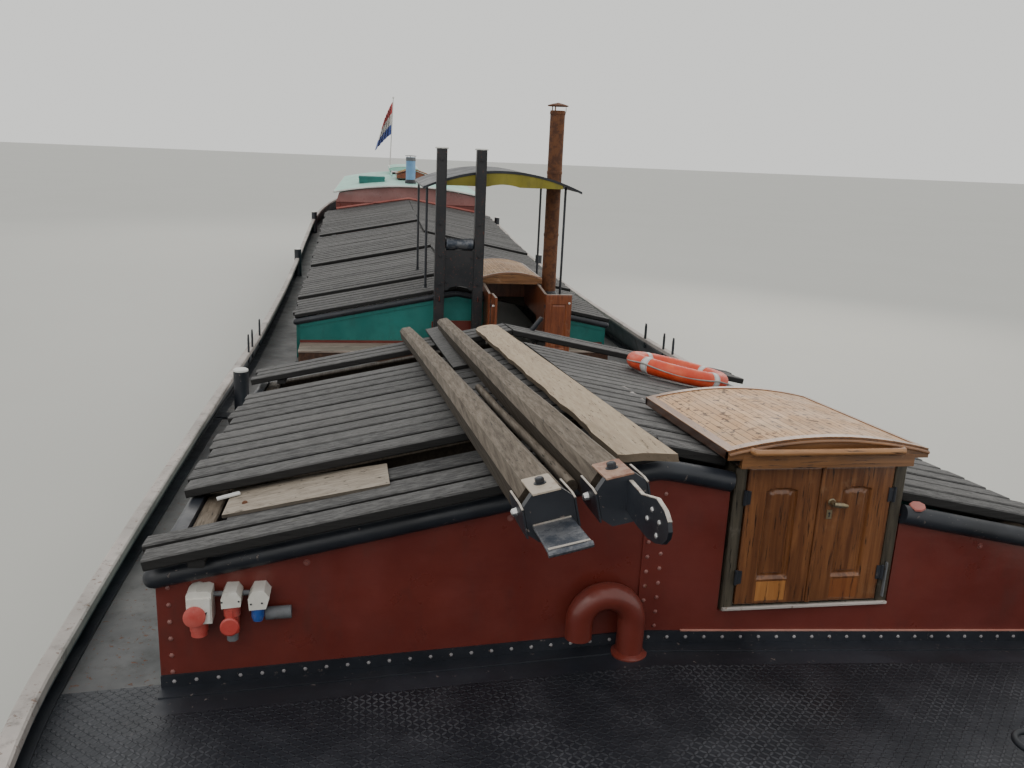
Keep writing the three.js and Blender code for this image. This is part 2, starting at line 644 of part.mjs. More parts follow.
// Each group is lofted from the ridge out to the eave, with a slot between boards
const SLOT_DEPTH = 30;

function boards(rows, side) {
  return rows.map(([from, to, pitch, lift, reach = EAVE]) => {
    const count = Math.round((to - from) / pitch);
    const wide = (to - from) / count;
    const outline = (x) => {
      const top = (y) => roofZ(x, y) + RAIL_R + SEAT + lift + BOARD;
      const edge = [];
      for (let i = 0; i < count; i += 1) {
        const y0 = from + i * wide;
        const y1 = y0 + wide - BOARD_GAP;
        edge.push([y0, top(y0)], [y1, top(y1)]);
        if (i < count - 1) edge.push([y1, top(y1) - SLOT_DEPTH], [y0 + wide, top(y0 + wide) - SLOT_DEPTH]);
      }
      const under = stationsBetween(HATCH_FORM, from, to - BOARD_GAP)
        .map((y) => [y, top(y) - Math.max(lift, 0) - BOARD]).reverse();
      return [...edge, ...under].map(([y, z]) => [x * side, y, z]);
    };
    return loft([outline(3), outline(reach)], [1, 2]);
  });
}

// The ridge beam and the side bearers under the boards
function carriers(from, to, table) {
  const ys = stationsBetween(table, from, to);
  const ridge = loftAlongY((y) => {
    const z = roofZ(0, y) + RAIL_R;
    return [[-70, z - 190], [70, z - 190], [70, z + 4], [0, z + 19], [-70, z + 4]];
  }, ys);
  const bearer = loftAlongY((y) => {
    const z = roofZ(1860, y) + RAIL_R;
    return [[1815, z - 110], [1905, z - 110], [1905, z + 12], [1815, z + 30]];
  }, ys);
  return [ridge, bearer, mirrored(bearer)];
}

function crossBeams(ys) {
  return ys.map((y) => {
    const z = (x) => roofZ(x, y) + RAIL_R - 30;
    return plateXZ([[-1880, z(1880) - 70], [0, z(0) - 120], [1880, z(1880) - 70], [1880, z(1880)], [0, z(0)],
      [-1880, z(1880)]], y - 30, y + 30);
  });
}

function foreHatch() {
  const companion = box([300, 1100], [-10400, -9285], [2000, 4000]);
  const all = union([
    ...boards(FORE_STARBOARD, -1), ...boards(FORE_PORT, 1),
    ...carriers(-10235, FORE_HATCH_END - 50, HATCH_FORM),
    ...crossBeams([-9230, -7150, -6310]),
  ]);
  return cut(all, [companion]);
}

const FLUE = { x: 1310, y: -1800, radius: 95, top: 4890, base: 150 };

// The port boards beside the trunk lift off as a group of their own
const GROUP_JOINT = -1505;

function aftBoards() {
  const trunkRoom = box([TRUNK.left - 8, TRUNK.right + 8], [-2600, TRUNK.end + 8], [1500, 4000]);
  const flueRoom = box([FLUE.x - FLUE.base - 2, FLUE.x + FLUE.base + 2],
    [FLUE.y - FLUE.base - 2, FLUE.y + FLUE.base + 2], [1500, 4000]);
  const wallRoom = box([-3000, 3000], [-2600, MID_WALL + COAMING + GAP], [0, 2000]);
  const all = union([
    ...boards(AFT_STARBOARD, -1), ...boards(AFT_PORT, 1),
    ...carriers(MID_WALL + COAMING + 4, CABIN_FRONT - 20, HATCH_FORM),
    ...crossBeams([-1380, 1500, 5000]),
  ]);
  return cut(all, [trunkRoom, flueRoom, wallRoom]);
}

const besideTrunk = (end) => box([TRUNK.right, 3000], [-2600, end], [1500, 4000]);
const aftHatch = () => cut(aftBoards(), [besideTrunk(GROUP_JOINT)]);
const aftHatchBesideTrunk = () => aftBoards().intersect(besideTrunk(GROUP_JOINT - GAP));

// Tabernacle, canopy and flue
const MAST = { y: -2680, half: 60, apart: 235, top: 4380, plateLow: 2710, plateHigh: 3190 };

function tabernacle() {
  const m = MAST;
  const foot = mastDeckZ(0, m.y - 150) + 2;
  const post = (side) => box([side * m.apart - m.half, side * m.apart + m.half], [m.y - m.half, m.y + m.half],
    [foot, m.top]);
  const base = box([-340, 309], [m.y - 150, m.y + 150], [foot, foot + 30]);
  const cross = box([-m.apart, m.apart], [m.y - 50, m.y + 30], [m.plateLow, m.plateHigh]);
  const roller = cylinder([-m.apart, m.y, m.plateHigh + 70], [m.apart, m.y, m.plateHigh + 70], 75, 14);
  const caps = [-1, 1].map((side) => box([side * m.apart - 66, side * m.apart + 66],
    [m.y - 66, m.y + 66], [m.top - 12, m.top + 8]));
  return union([post(-1), post(1), base, cross, roller, ...caps]);
}

const CANOPY = { x: 535, half: 975, front: -2560, end: -700, edge: 3890, crown: 215, thick: 30, pole: 15 };
const CANOPY_BEAM = 600;
const CANOPY_POLES = [[-380, -2380], [1340, -2380], [-380, -800], [1340, -800]];

function canopy() {
  const c = CANOPY;
  const parts = [-1, -0.75, -0.5, -0.25, 0, 0.25, 0.5, 0.75, 1];
  const arch = (x) => c.edge + c.crown * (1 - ((x - c.x) / c.half) ** 2);
  const xs = parts.map((p) => c.x + p * c.half);
  const top = xs.map((x) => [x, arch(x) + c.thick]);
  const under = xs.map((x) => [x, arch(x)]).reverse();
  const roof = plateXZ([...top, ...under], c.front, c.end);
  const inner = xs.slice(1, -1);
  const segment = [...inner.map((x) => [x, arch(x) + 10]).reverse(),
    [inner[0], arch(inner[0]) - 40], [c.x, arch(inner[0]) - 10], [inner[inner.length - 1], arch(inner[0]) - 40]];
  const fascia = [c.front + 8, c.end - 32].map((y) => plateXZ(segment, y, y + 24));
  const poles = CANOPY_POLES.map(([x, y]) =>
    cylinder([x, y, roofZ(x, y) + RAIL_R + SEAT + BOARD + 48], [x, y, arch(x) + 10], c.pole, 8));
  const beamTop = arch(c.x + CANOPY_BEAM) + 10;
  const beams = [-CANOPY_BEAM, CANOPY_BEAM].map((side) => box(
    [c.x + side - 20, c.x + side + 20], [c.front + 8, c.end - 8], [beamTop - 50, beamTop]));
  const hole = cylinder([FLUE.x, FLUE.y, 3300], [FLUE.x, FLUE.y, 4400], FLUE.radius + 12, 16);
  return cut(union([roof, ...fascia, ...poles, ...beams]), [hole]);
}

function flue() {
  const f = FLUE;
  const low = roofZ(f.x, f.y) - 60;
  const base = box([f.x - f.base, f.x + f.base], [f.y - f.base, f.y + f.base], [low, low + 190]);
  const pipe = cylinder([f.x, f.y, low + 100], [f.x, f.y, f.top], f.radius, 20);
  const bore = cylinder([f.x, f.y, low + 60], [f.x, f.y, f.top + 10], f.radius - 10, 20);
  const struts = [0, 120, 240].map((turn) => {
    const t = THREE.MathUtils.degToRad(turn);
    const at = (r, z) => [f.x + r * Math.cos(t), f.y + r * Math.sin(t), z];
    return cylinder(at(f.radius - 6, f.top - 30), at(f.radius + 10, f.top + 60), 5, 6);
  });
  const hat = cylinder([f.x, f.y, f.top + 50], [f.x, f.y, f.top + 62], f.radius + 40, 20);
  const cone = cylinder([f.x, f.y, f.top + 62], [f.x, f.y, f.top + 95], f.radius + 38, 20, 12);
  return union([base, cut(pipe.add(base), [bore]), ...struts, hat, cone]);
}

// Gear lying on the fore hatch
function beam(a, b, wide, high, chamfer, slope, thin = 1) {
  const w = wide / 2;
  const outline = [
    [-w + chamfer, 0], [w - chamfer, 0], [w, chamfer], [w, high - chamfer],
    [w - chamfer, high], [-w + chamfer, high], [-w, high - chamfer], [-w, chamfer],
  ];
  const rolled = outline.map(([x, z]) => [x * Math.cos(slope) - z * Math.sin(slope), x * Math.sin(slope) + z * Math.cos(slope)]);
  return loft([[a, 1], [b, thin]].map(([p, k]) => rolled.map(([x, z]) => [p[0] + k * x, p[1], p[2] + k * z])), [0, 2]);
}

const ROOF_SLOPE = Math.atan(404 / HOLD_HALF);
const LYING = RAIL_R + SEAT + BOARD + 40;
const ahead = (y) => Math.max(0, HOLD_FRONT - y) * 0.085;
const onRoof = (x, y, lift = 0) => [x, y, roofZ(x, y) + ahead(y) + LYING + lift];
const LEG = { wide: 145, high: 145, chamfer: 30, thin: 0.74 };

function sheerLeg(near, far, fitting) {
  const end = new THREE.Vector3(...near).lerp(new THREE.Vector3(...far), -0.02).toArray();
  const cap = new THREE.Vector3(...near).lerp(new THREE.Vector3(...far), 0.05).toArray();
  const timber = beam(near, far, LEG.wide, LEG.high, LEG.chamfer, ROOF_SLOPE, LEG.thin);
  const shoe = beam(end, cap, LEG.wide + 10, LEG.high + 6, 26, ROOF_SLOPE).translate([0, 0, -3]);
  return union([timber, shoe, fitting(end)]);
}

const LEG_ONE = { near: onRoof(-612, -11010, 12), far: onRoof(-790, -6200) };
const LEG_TWO = { near: onRoof(-388, -11010, 12), far: onRoof(-475, -6100) };

// A flat tongue, and an upright lug plate with an eye
function tongue([x, y, z]) {
  const strip = (half, at, low) => [
    [x - half, at, z + low - half * 0.2], [x + half, at, z + low + half * 0.2],
    [x + half, at, z + low + 14 + half * 0.2], [x - half, at, z + low + 14 - half * 0.2],
  ];
  return loft([strip(62, y + 60, 44), strip(62, y - 20, 44), strip(66, y - 215, 34)], [0, 2]);
}

function lug([x, y, z]) {
  const outline = [
    [y + 60, z + 40], [y - 90, z + 36], [y - 205, z + 42], [y - 320, z + 78], [y - 362, z + 108],
    [y - 362, z + 140], [y - 315, z + 172], [y - 252, z + 180], [y - 122, z + 140], [y + 60, z + 134],
  ];
  const plate = loft([x - 6, x + 6].map((px) => outline.map(([py, pz]) => [px, py, pz])), [1, 2]);
  const eye = cylinder([x - 30, y - 290, z + 125], [x + 30, y - 290, z + 125], 14, 10);
  return cut(plate, [eye]);
}

const sheerLegOne = () => sheerLeg(LEG_ONE.near, LEG_ONE.far, tongue);
const sheerLegTwo = () => sheerLeg(LEG_TWO.near, LEG_TWO.far, lug);

const gangplank = () => beam(onRoof(-143, -10640, 2), onRoof(-180, -6400, 2), 175, 32, 5, ROOF_SLOPE);

const SHEET = { clear: 3, thick: 15 };

function coverSheet() {
  const under = (x, y) => [x, y, roofZ(-x, y) + SHEET.clear];
  const over = ([x, y, z]) => [x, y, z + SHEET.thick];
  const strip = (left, right) => [left, right, over(right), over(left)];
  const near = strip(under(-1785, -9735), under(-1057, -9790));
  const far = strip(under(-1785, -9300), under(-1060, -9450));
  return loft([near, far], [0, 2]);
}

const BUOY = { x: 1060, y: -7560, ring: 312, tube: 58 };

function lifebuoy() {
  const torus = new THREE.TorusGeometry(BUOY.ring, BUOY.tube, 8, 24);
  const rise = BUOY.tube / Math.cos(ROOF_SLOPE) + 14;
  const z = roofZ(BUOY.x, BUOY.y) + RAIL_R + SEAT + BOARD + rise;
  return solid(placed(torus, { at: [BUOY.x, BUOY.y, z], turn: [-0.085, ROOF_SLOPE, 0] }));
}

function shoreSockets() {
  const front = HOLD_FRONT - COAMING - GAP;
  const housings = [[-1855, -1748], [-1716, -1644], [-1616, -1546]];
  const bodies = housings.map(([x0, x1], i) => {
    const deep = 78;
    const shell = box([x0, x1], [front - deep, front], [2645, 2790]);
    const lid = box([x0 + 4, x1 - 4], [front - deep - 40, front - deep + 6], [2770, 2792]);
    const inlet = cylinder([(x0 + x1) / 2, front - deep / 2, 2600 - 10 * i], [(x0 + x1) / 2, front - deep / 2, 2660], 30, 12);
    return union([shell, lid, inlet]);
  });
  const conduit = box([-1850, -1560], [front - 22, front], [2700, 2724]);
  return union([...bodies, conduit]);
}

// Aft cabin
const CABIN_WALL = 40;
const LEAN_FROM = 2920;
const LEAN_BACK = 90;
const ROOF_RISE = 190;
const ROOF_THICK = 45;
const HATCHWAY = { half: 330, from: 11750 };
const SKYLIGHT = { x: 150, halfWide: 400, from: 10150, to: 10900, high: 150 };
const STOVE_PIPE = { x: 70, y: 9560, radius: 118, top: 4020 };
const WINDOWS = [[9550, 10150], [10500, 11100], [11450, 12050]];
const AFT_DOOR = { half: 290, sill: 2480, leafTop: 3540 };

function cabinRing(inset, low, high) {
  const corners = (lean, z) => {
    const x0 = cabinHalf(CABIN_FRONT) - inset;
    const x1 = cabinHalf(CABIN_END) - inset;
    const y0 = CABIN_FRONT + inset + lean;
    const y1 = CABIN_END - inset;
    return [[-x0, y0, z(y0)], [x0, y0, z(y0)], [x1, y1, z(y1)], [-x1, y1, z(y1)]];
  };
  const top = (y) => cabinTop(y) + high;
  return loft([corners(0, () => low), corners(0, () => LEAN_FROM), corners(LEAN_BACK, top)], [0, 1]);
}

const roofArch = (x, y, half) => cabinTop(y) + ROOF_RISE * (1 - (x / half) ** 2);

function cabinWalls() {
  const shell = cabinRing(0, 1860, 0).subtract(cabinRing(CABIN_WALL, 1800, 60));
  const steps = [-1, -0.7, -0.35, 0, 0.35, 0.7, 1];
  const gable = (y0, y1) => {
    const half = cabinHalf(y0);
    const arch = steps.map((s) => [s * half * 0.995, roofArch(s * half, y0, half + 50) - 8]);
    return plateXZ([...arch, [half * 0.9, cabinTop(y0) - 60], [-half * 0.9, cabinTop(y0) - 60]], y0, y1);
  };
  const frontGable = gable(CABIN_FRONT + LEAN_BACK, CABIN_FRONT + LEAN_BACK + CABIN_WALL);
  const aftGable = gable(CABIN_END - CABIN_WALL, CABIN_END);
  const bulkhead = box([-1900, 1900], [CABIN_FRONT, CABIN_FRONT + CABIN_WALL], [FLOOR_TOP + 5, 1990]);
  const windows = WINDOWS.map(([y0, y1]) => {
    const rise = cabinTop(y0) - CABIN_SIDE_TOP.front;
    return box([-2200, 2200], [y0, y1], [2560 + rise, 2930 + rise]);
  });
  const door = box([-AFT_DOOR.half, AFT_DOOR.half], [CABIN_END - 100, CABIN_END + 100], [AFT_DOOR.sill, 4000]);
  const trim = box([-1752, 1752], [CABIN_FRONT - 14, CABIN_FRONT + 4], [LEAN_FROM - 14, LEAN_FROM + 6]);
  return cut(union([shell, frontGable, aftGable, bulkhead, trim]), [...windows, door]);
}

function cabinRoof() {
  const steps = [-1, -0.75, -0.5, -0.25, 0, 0.25, 0.5, 0.75, 1];
  const section = (y) => {
    const half = cabinHalf(y) + 50;
    const top = steps.map((s) => [s * half, roofArch(s * half, y, half) + ROOF_THICK]);
    const under = steps.map((s) => [s * half, roofArch(s * half, y, half)]).reverse();
    return [...top, ...under];
  };
  const roof = loftAlongY(section, [CABIN_FRONT + 40, 10000, 11500, CABIN_END + 50]);
  const box4 = (x0, x1, y0, y1) => box([x0, x1], [y0, y1], [2500, 4500]);
  const s = SKYLIGHT;
  const runners = [-1, 1].map((side) => loftAlongY((y) => {
    const z = cabinTop(y) + ROOF_RISE;
    return [[HATCHWAY.half, z], [HATCHWAY.half + 30, z], [HATCHWAY.half + 30, z + 85], [HATCHWAY.half, z + 85]]
      .map(([x, height]) => [x * side, height]);
  }, [HATCHWAY.from - 620, CABIN_END + 40]));
  return cut(union([roof, ...runners]), [
    box4(-HATCHWAY.half, HATCHWAY.half, HATCHWAY.from, CABIN_END + 200),
    box4(s.x - s.halfWide + 40, s.x + s.halfWide - 40, s.from + 40, s.to - 40),
    cylinder([STOVE_PIPE.x, STOVE_PIPE.y, 3000], [STOVE_PIPE.x, STOVE_PIPE.y, 4000], STOVE_PIPE.radius + 6, 16),
  ]);
}

const CABIN_HOOD = {
  left: -395, right: 395, sideTop: 3672, crown: 50, skirt: 70, wall: 22,
  front: 11700, end: CABIN_END + 70, fall: -0.06, fasciaDrop: 71, fasciaInset: 30,
};

const cabinHood = () => hood(CABIN_HOOD);

function aftDoor() {
  return leaf({
    hingeX: -AFT_DOOR.half - 4, freeX: AFT_DOOR.half - 6, front: -CABIN_END - 4, thick: 34,
    sill: AFT_DOOR.sill + 8, top: AFT_DOOR.leafTop, panel: true,
  }).mirror([0, 1, 0]);
}

const SKY_SEAT = roofArch(SKYLIGHT.x + SKYLIGHT.halfWide, SKYLIGHT.to, cabinHalf(SKYLIGHT.to)) + 10;

function skylightBase() {
  const s = SKYLIGHT;
  const y = [s.from, s.to];
  const low = SKY_SEAT + 60;
  const high = SKY_SEAT + s.high;
  const frame = box([s.x - s.halfWide, s.x + s.halfWide], y, [low, high]);
  const hole = box([s.x - s.halfWide + 40, s.x + s.halfWide - 40], [s.from + 40, s.to - 40], [low - 10, high + 10]);
  const gable = (y0) => plateXZ([[s.x - s.halfWide, high - 2], [s.x + s.halfWide, high - 2], [s.x, high + 120]], y0, y0 + 30);
  const ridge = box([s.x - 20, s.x + 20], y, [high + 70, high + 108]);
  return union([cut(frame, [hole]), gable(s.from), gable(s.to - 30), ridge]);
}

// A glazed leaf of the skylight, hung at the ridge
function skylightLid(side) {
  const s = SKYLIGHT;
  const high = SKY_SEAT + s.high;
  const low = [s.halfWide + 18, high - 2];
  const top = [32, high + 122];
  const outline = [low, top, [top[0], top[1] + 26], [low[0], low[1] + 26]].map(([x, z]) => [s.x + side * x, z + 12]);
  const panel = plateXZ(outline, s.from - 14, s.to + 14);
  const pane = plateXZ([[70, high - 200], [s.halfWide - 40, high - 200], [s.halfWide - 40, high + 400], [70, high + 400]]
    .map(([x, z]) => [s.x + side * x, z]), s.from + 60, s.to - 60);
  const glass = plateXZ([low, top, [top[0], top[1] + 12], [low[0], low[1] + 12]]
    .map(([x, z]) => [s.x + side * x, z + 18]), s.from + 40, s.to - 40);
  return union([cut(panel, [pane]), glass]);
}

function stovePipe() {
  const p = STOVE_PIPE;
  const roof = roofArch(p.x, p.y, cabinHalf(p.y));
  const collar = cylinder([p.x, p.y, roof + 40], [p.x, p.y, roof + 135], p.radius + 22, 16);
  const pipe = cylinder([p.x, p.y, roof - 80], [p.x, p.y, p.top], p.radius, 16);
  const lid = cylinder([p.x, p.y, p.top + 28], [p.x, p.y, p.top + 46], p.radius + 26, 16);
  const stem = cylinder([p.x, p.y, p.top - 60], [p.x, p.y, p.top + 40], 24, 8);
  const spider = box([p.x - p.radius + 4, p.x + p.radius - 4], [p.y - 8, p.y + 8], [p.top - 60, p.top - 30]);
  const bore = cylinder([p.x, p.y, p.top - 400], [p.x, p.y, p.top + 10], p.radius - 8, 16);
  const skirt = cut(collar, [cylinder([p.x, p.y, roof - 100], [p.x, p.y, roof + 95], p.radius + 7, 16)]);
  return union([cut(union([pipe, skirt]), [bore]), lid, stem, spider]).subtract(
    box([p.x - 400, p.x + 400], [p.y - 400, p.y + 400], [roof + 30, roof + ROOF_THICK + 25])
      .subtract(cylinder([p.x, p.y, roof - 100], [p.x, p.y, roof + 200], p.radius + 1, 16)));
}

// Steering and propulsion
const PEDESTAL = { half: 170, from: 13580, to: 13980, high: 620 };
const WHEEL = { y: 13470, z: 3080, radius: 400 };

function pedestal() {
  const p = PEDESTAL;
  const foot = foredeckZ(0, p.to) + 12;
  const body = box([-p.half, p.half], [p.from, p.to], [foot, foot + p.high]);
  const top = box([-p.half - 25, p.half + 25], [p.from - 20, p.to + 25], [foot + p.high, foot + p.high + 30]);
  const bearing = cylinder([0, p.from - 28, WHEEL.z], [0, p.from + 5, WHEEL.z], 62, 14);
  return union([body, top, bearing]);
}

function steeringWheel() {
  const w = WHEEL;
  const rim = solid(placed(new THREE.TorusGeometry(w.radius - 75, 20, 6, 16), { at: [0, w.y, w.z], turn: [Math.PI / 2, 0, 0] }));
  const hub = cylinder([0, w.y - 45, w.z], [0, w.y + 45, w.z], 58, 16);
  const shaft = cylinder([0, w.y, w.z], [0, PEDESTAL.from - 34, w.z], 22, 12);
  const spokes = Array.from({ length: 8 }, (_, i) => {
    const t = (i * Math.PI) / 4;
    const at = (r) => [r * Math.sin(t), w.y, w.z + r * Math.cos(t)];
    return cylinder(at(40), at(w.radius), 15, 5, 13);
  });
  return union([rim, hub, shaft, ...spokes]);
}

function rudder() {
  const y = RUDDER_STOCK_Y;
  const blade = plateXY([[-12, y - 70], [12, y - 70], [34, y], [30, y + 260], [10, y + 640], [-10, y + 640],
    [-30, y + 260], [-34, y]], SOLE_TOP + 22, 1120);
  const stock = cylinder([0, y, 400], [0, y, 2490], STOCK_R, 14);
  return union([blade, stock]);
}

function propeller() {
  const y = PROP_Y;
  const hub = cylinder([0, y - 75, SHAFT_Z], [0, y + 75, SHAFT_Z], 78, 14, 55);
  const stub = cylinder([0, 13098, SHAFT_Z], [0, y, SHAFT_Z], 48, 14);
  const blades = Array.from({ length: 4 }, (_, i) => {
    const outline = [[-70, 50], [70, 50], [125, 180], [120, 285], [60, 338], [-60, 338], [-120, 285], [-125, 180]];
    const flat = loft([-9, 9].map((d) => outline.map(([u, r]) => [u, d, r])), [0, 2]);
    return flat.rotate([0, 0, 28]).rotate([0, i * 90, 0]).translate([0, y, SHAFT_Z]);
  });
  return union([hub, stub, ...blades]);
}

const engine = () => box([-350, 350], [10500, 11900], [FLOOR_TOP + GAP, 1080]);

// Anchor windlass on the foredeck
const WINDLASS = { y: -13250, half: 430, axle: 640, drum: 120 };

function windlassFrame() {
  const w = WINDLASS;
  const deck = foredeckZ(w.half + 40, w.y + 300) + 2;
  const ridge = foredeckZ(0, w.y - 300) + 2;
  const cheek = (side) => loft([side * w.half, side * (w.half + 34)].map((x) => [
    [x, w.y - 300, deck + 30], [x, w.y + 300, deck + 30], [x, w.y + 120, deck + 760], [x, w.y - 120, deck + 760],
  ]), [1, 2]);
  const bed = box([-w.half - 34, w.half + 34], [w.y - 300, w.y + 300], [ridge + 2, ridge + 50]);
  const tie = cylinder([-w.half - 10, w.y - 170, deck + 420], [w.half + 10, w.y - 170, deck + 420], 18, 8);
  const bore = cylinder([-800, w.y, deck + w.axle], [800, w.y, deck + w.axle], 44, 14);
  return cut(union([cheek(-1), cheek(1), bed, tie]), [bore,
    box([-w.half - 40, w.half + 40], [w.y - 400, w.y + 400], [deck - 200, ridge + 2])]);
}

function windlassDrum() {
  const w = WINDLASS;
  const z = foredeckZ(w.half + 40, w.y + 300) + 2 + w.axle;
  const along = (x0, x1, r, r1 = r) => cylinder([x0, w.y, z], [x1, w.y, z], r, 12, r1);
  const shaft = along(-690, 690, 34);
  const heads = [-1, 1].flatMap((side) => [
    along(side * 490, side * 560, 110, 72), along(side * 559, side * 630, 72, 110),
  ]);
  const drum = along(-380, 240, w.drum);
  const flanges = [along(-410, -380, 190), along(230, 260, 190), along(300, 370, 235)];
  const crank = [1].map((side) => union([
    box([side * 640 - 15, side * 640 + 15], [w.y - 22, w.y + 330], [z - 22, z + 22]),
    cylinder([side * 640, w.y + 305, z], [side * 800, w.y + 305, z], 17, 8),
  ]));
  return union([shaft, ...heads, drum, ...flanges, ...crank]);
}

function anchor() {
  const x = 1130;
  const z = foredeckZ(x, -11700) + 60;
  const crownY = -12280;
  const shank = box([x - 24, x + 24], [crownY, crownY + 1050], [z - 4, z + 44]);
  const arms = [-1, 1].map((side) => cylinder([x, crownY + 10, z + 20], [x + side * 300, crownY + 240, z + 20], 28, 8, 18));
  const palms = [-1, 1].map((side) => plateXY([
    [x + side * 210, crownY + 120], [x + side * 340, crownY + 180], [x + side * 350, crownY + 370], [x + side * 240, crownY + 300],
  ], z + 8, z + 30));
  const ring = solid(placed(new THREE.TorusGeometry(62, 12, 6, 12), { at: [x, crownY + 1100, z + 20] }));
  const pads = [crownY + 100, crownY + 860].map((y) => box([x - 60, x + 60], [y - 30, y + 30], [foredeckZ(x - 60, y) + 3, z + 5]));
  return union([shank, ...arms, ...palms, ring, ...pads]);
}

// Ensign
const STAFF = { foot: [-330, 14600, 2560], top: [-190, 14790, 5620], radius: 22 };

function ensignStaff() {
  const s = STAFF;
  const foot = [s.foot[0], s.foot[1], foredeckZ(s.foot[0], s.foot[1]) + 30];
  const socket = cylinder([foot[0], foot[1], foot[2] - 20], [foot[0] + 12, foot[1] + 16, foot[2] + 240], 42, 12);
  return union([cylinder(foot, s.top, s.radius, 10, 14), ball(s.top, 32, 8), socket]);
}

function ensign() {
  const outline = [[-228, 5500], [-300, 4560], [-420, 4250], [-640, 4060], [-700, 4210], [-560, 4560], [-400, 5000], [-262, 5500]];
  return plateXZ(outline, 14590, 14650).translate([-30, 0, 0]);
}

// Assembly
const PAINT = {
  black: [0x16171a, 0.5, 0.2], oxide: [0x6b1f18, 0.35, 0.1], teal: [0x0f6d66, 0.5, 0],
  board: [0x4a4642, 0.85, 0], deck: [0x1c1f26, 0.5, 0.4], varnish: [0x8a4a22, 0.3, 0],
  hood: [0xa9713f, 0.4, 0], timber: [0x6f6250, 0.85, 0], ply: [0x8f7d68, 0.85, 0],
  mint: [0x9fd0c4, 0.4, 0], steel: [0x55504b, 0.6, 0.6], grey: [0x8d8a86, 0.6, 0.1],
  buoy: [0xe0431d, 0.5, 0], olive: [0x6a6316, 0.6, 0], rust: [0x5a2f20, 0.7, 0.3],
  blue: [0x5b86b8, 0.5, 0.1], white: [0xe4e4e0, 0.5, 0], bronze: [0xb08a4a, 0.35, 0.8],
  flag: [0xb02f35, 0.9, 0], antifoul: [0x141414, 0.7, 0.1],
};

const NODES = [
  ["bow", bow, "antifoul"],
  ["stern", stern, "antifoul"],
  ["bottom", bottomPlate, "antifoul"],
  ["side_port", sideShell, "antifoul"],
  ["side_starboard", () => mirrored(sideShell()), "antifoul"],
  ["bulwark_port", bulwark, "grey"],
  ["bulwark_starboard", () => mirrored(bulwark()), "grey"],
  ["side_deck_port", sideDeck, "deck"],
  ["side_deck_starboard", () => mirrored(sideDeck()), "deck"],
  ["coaming_port", coaming, "black"],
  ["coaming_starboard", () => mirrored(coaming()), "black"],
  ["mast_deck", mastDeck, "grey"],
  ["front_bulkhead", frontBulkhead, "oxide"],
  ["mid_bulkhead", midBulkhead, "teal"],
  ["fore_hatch", foreHatch, "board"],
  ["aft_hatch", aftHatch, "board"],
  ["aft_hatch_beside_trunk", aftHatchBesideTrunk, "board"],
  ["cover_sheet", coverSheet, "ply"],
  ["fore_companion", foreCompanion, "varnish"],
  ["fore_door_starboard", () => foreDoor(366, 697), "varnish"],
  ["fore_door_port", () => foreDoor(1034, 703), "varnish"],
  ["fore_hood", foreHood, "hood"],
  ["mid_trunk", midTrunk, "oxide"],
  ["mid_door_port", midDoorPort, "varnish"],
  ["mid_door_starboard", midDoorStarboard, "varnish"],
  ["mid_hood", midHood, "hood"],
  ["tabernacle", tabernacle, "black"],
  ["canopy", canopy, "olive"],
  ["flue", flue, "rust"],
  ["sheer_leg_one", sheerLegOne, "timber"],
  ["sheer_leg_two", sheerLegTwo, "timber"],
  ["gangplank", gangplank, "ply"],
  ["lifebuoy", lifebuoy, "buoy"],
  ["shore_sockets", shoreSockets, "white"],
  ["cabin_walls", cabinWalls, "oxide"],
  ["cabin_roof", cabinRoof, "mint"],
  ["cabin_hood", cabinHood, "mint"],
  ["cabin_door", aftDoor, "varnish"],
  ["skylight_base", skylightBase, "oxide"],
  ["skylight_lid_port", () => skylightLid(1), "oxide"],
  ["skylight_lid_starboard", () => skylightLid(-1), "oxide"],
  ["stove_pipe", stovePipe, "blue"],
  ["pedestal", pedestal, "varnish"],
  ["steering_wheel", steeringWheel, "varnish"],
  ["rudder", rudder, "antifoul"],
  ["propeller", propeller, "bronze"],
  ["engine", engine, "steel"],
  ["windlass_frame", windlassFrame, "black"],
  ["windlass_drum", windlassDrum, "steel"],
  ["anchor", anchor, "black"],
  ["ensign_staff", ensignStaff, "white"],
  ["ensign", ensign, "flag"],
];

const barge = new THREE.Group();
for (const [name, make, paint] of NODES) {
  const [color, roughness, metalness] = PAINT[paint];
  const mesh = new THREE.Mesh(geometryOf(make()), new THREE.MeshStandardMaterial({ color, roughness, metalness }));
  mesh.name = name;
  barge.add(mesh);
}

export default barge;
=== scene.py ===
import json
import math

import bpy
import numpy as np
from mathutils import Matrix, Vector

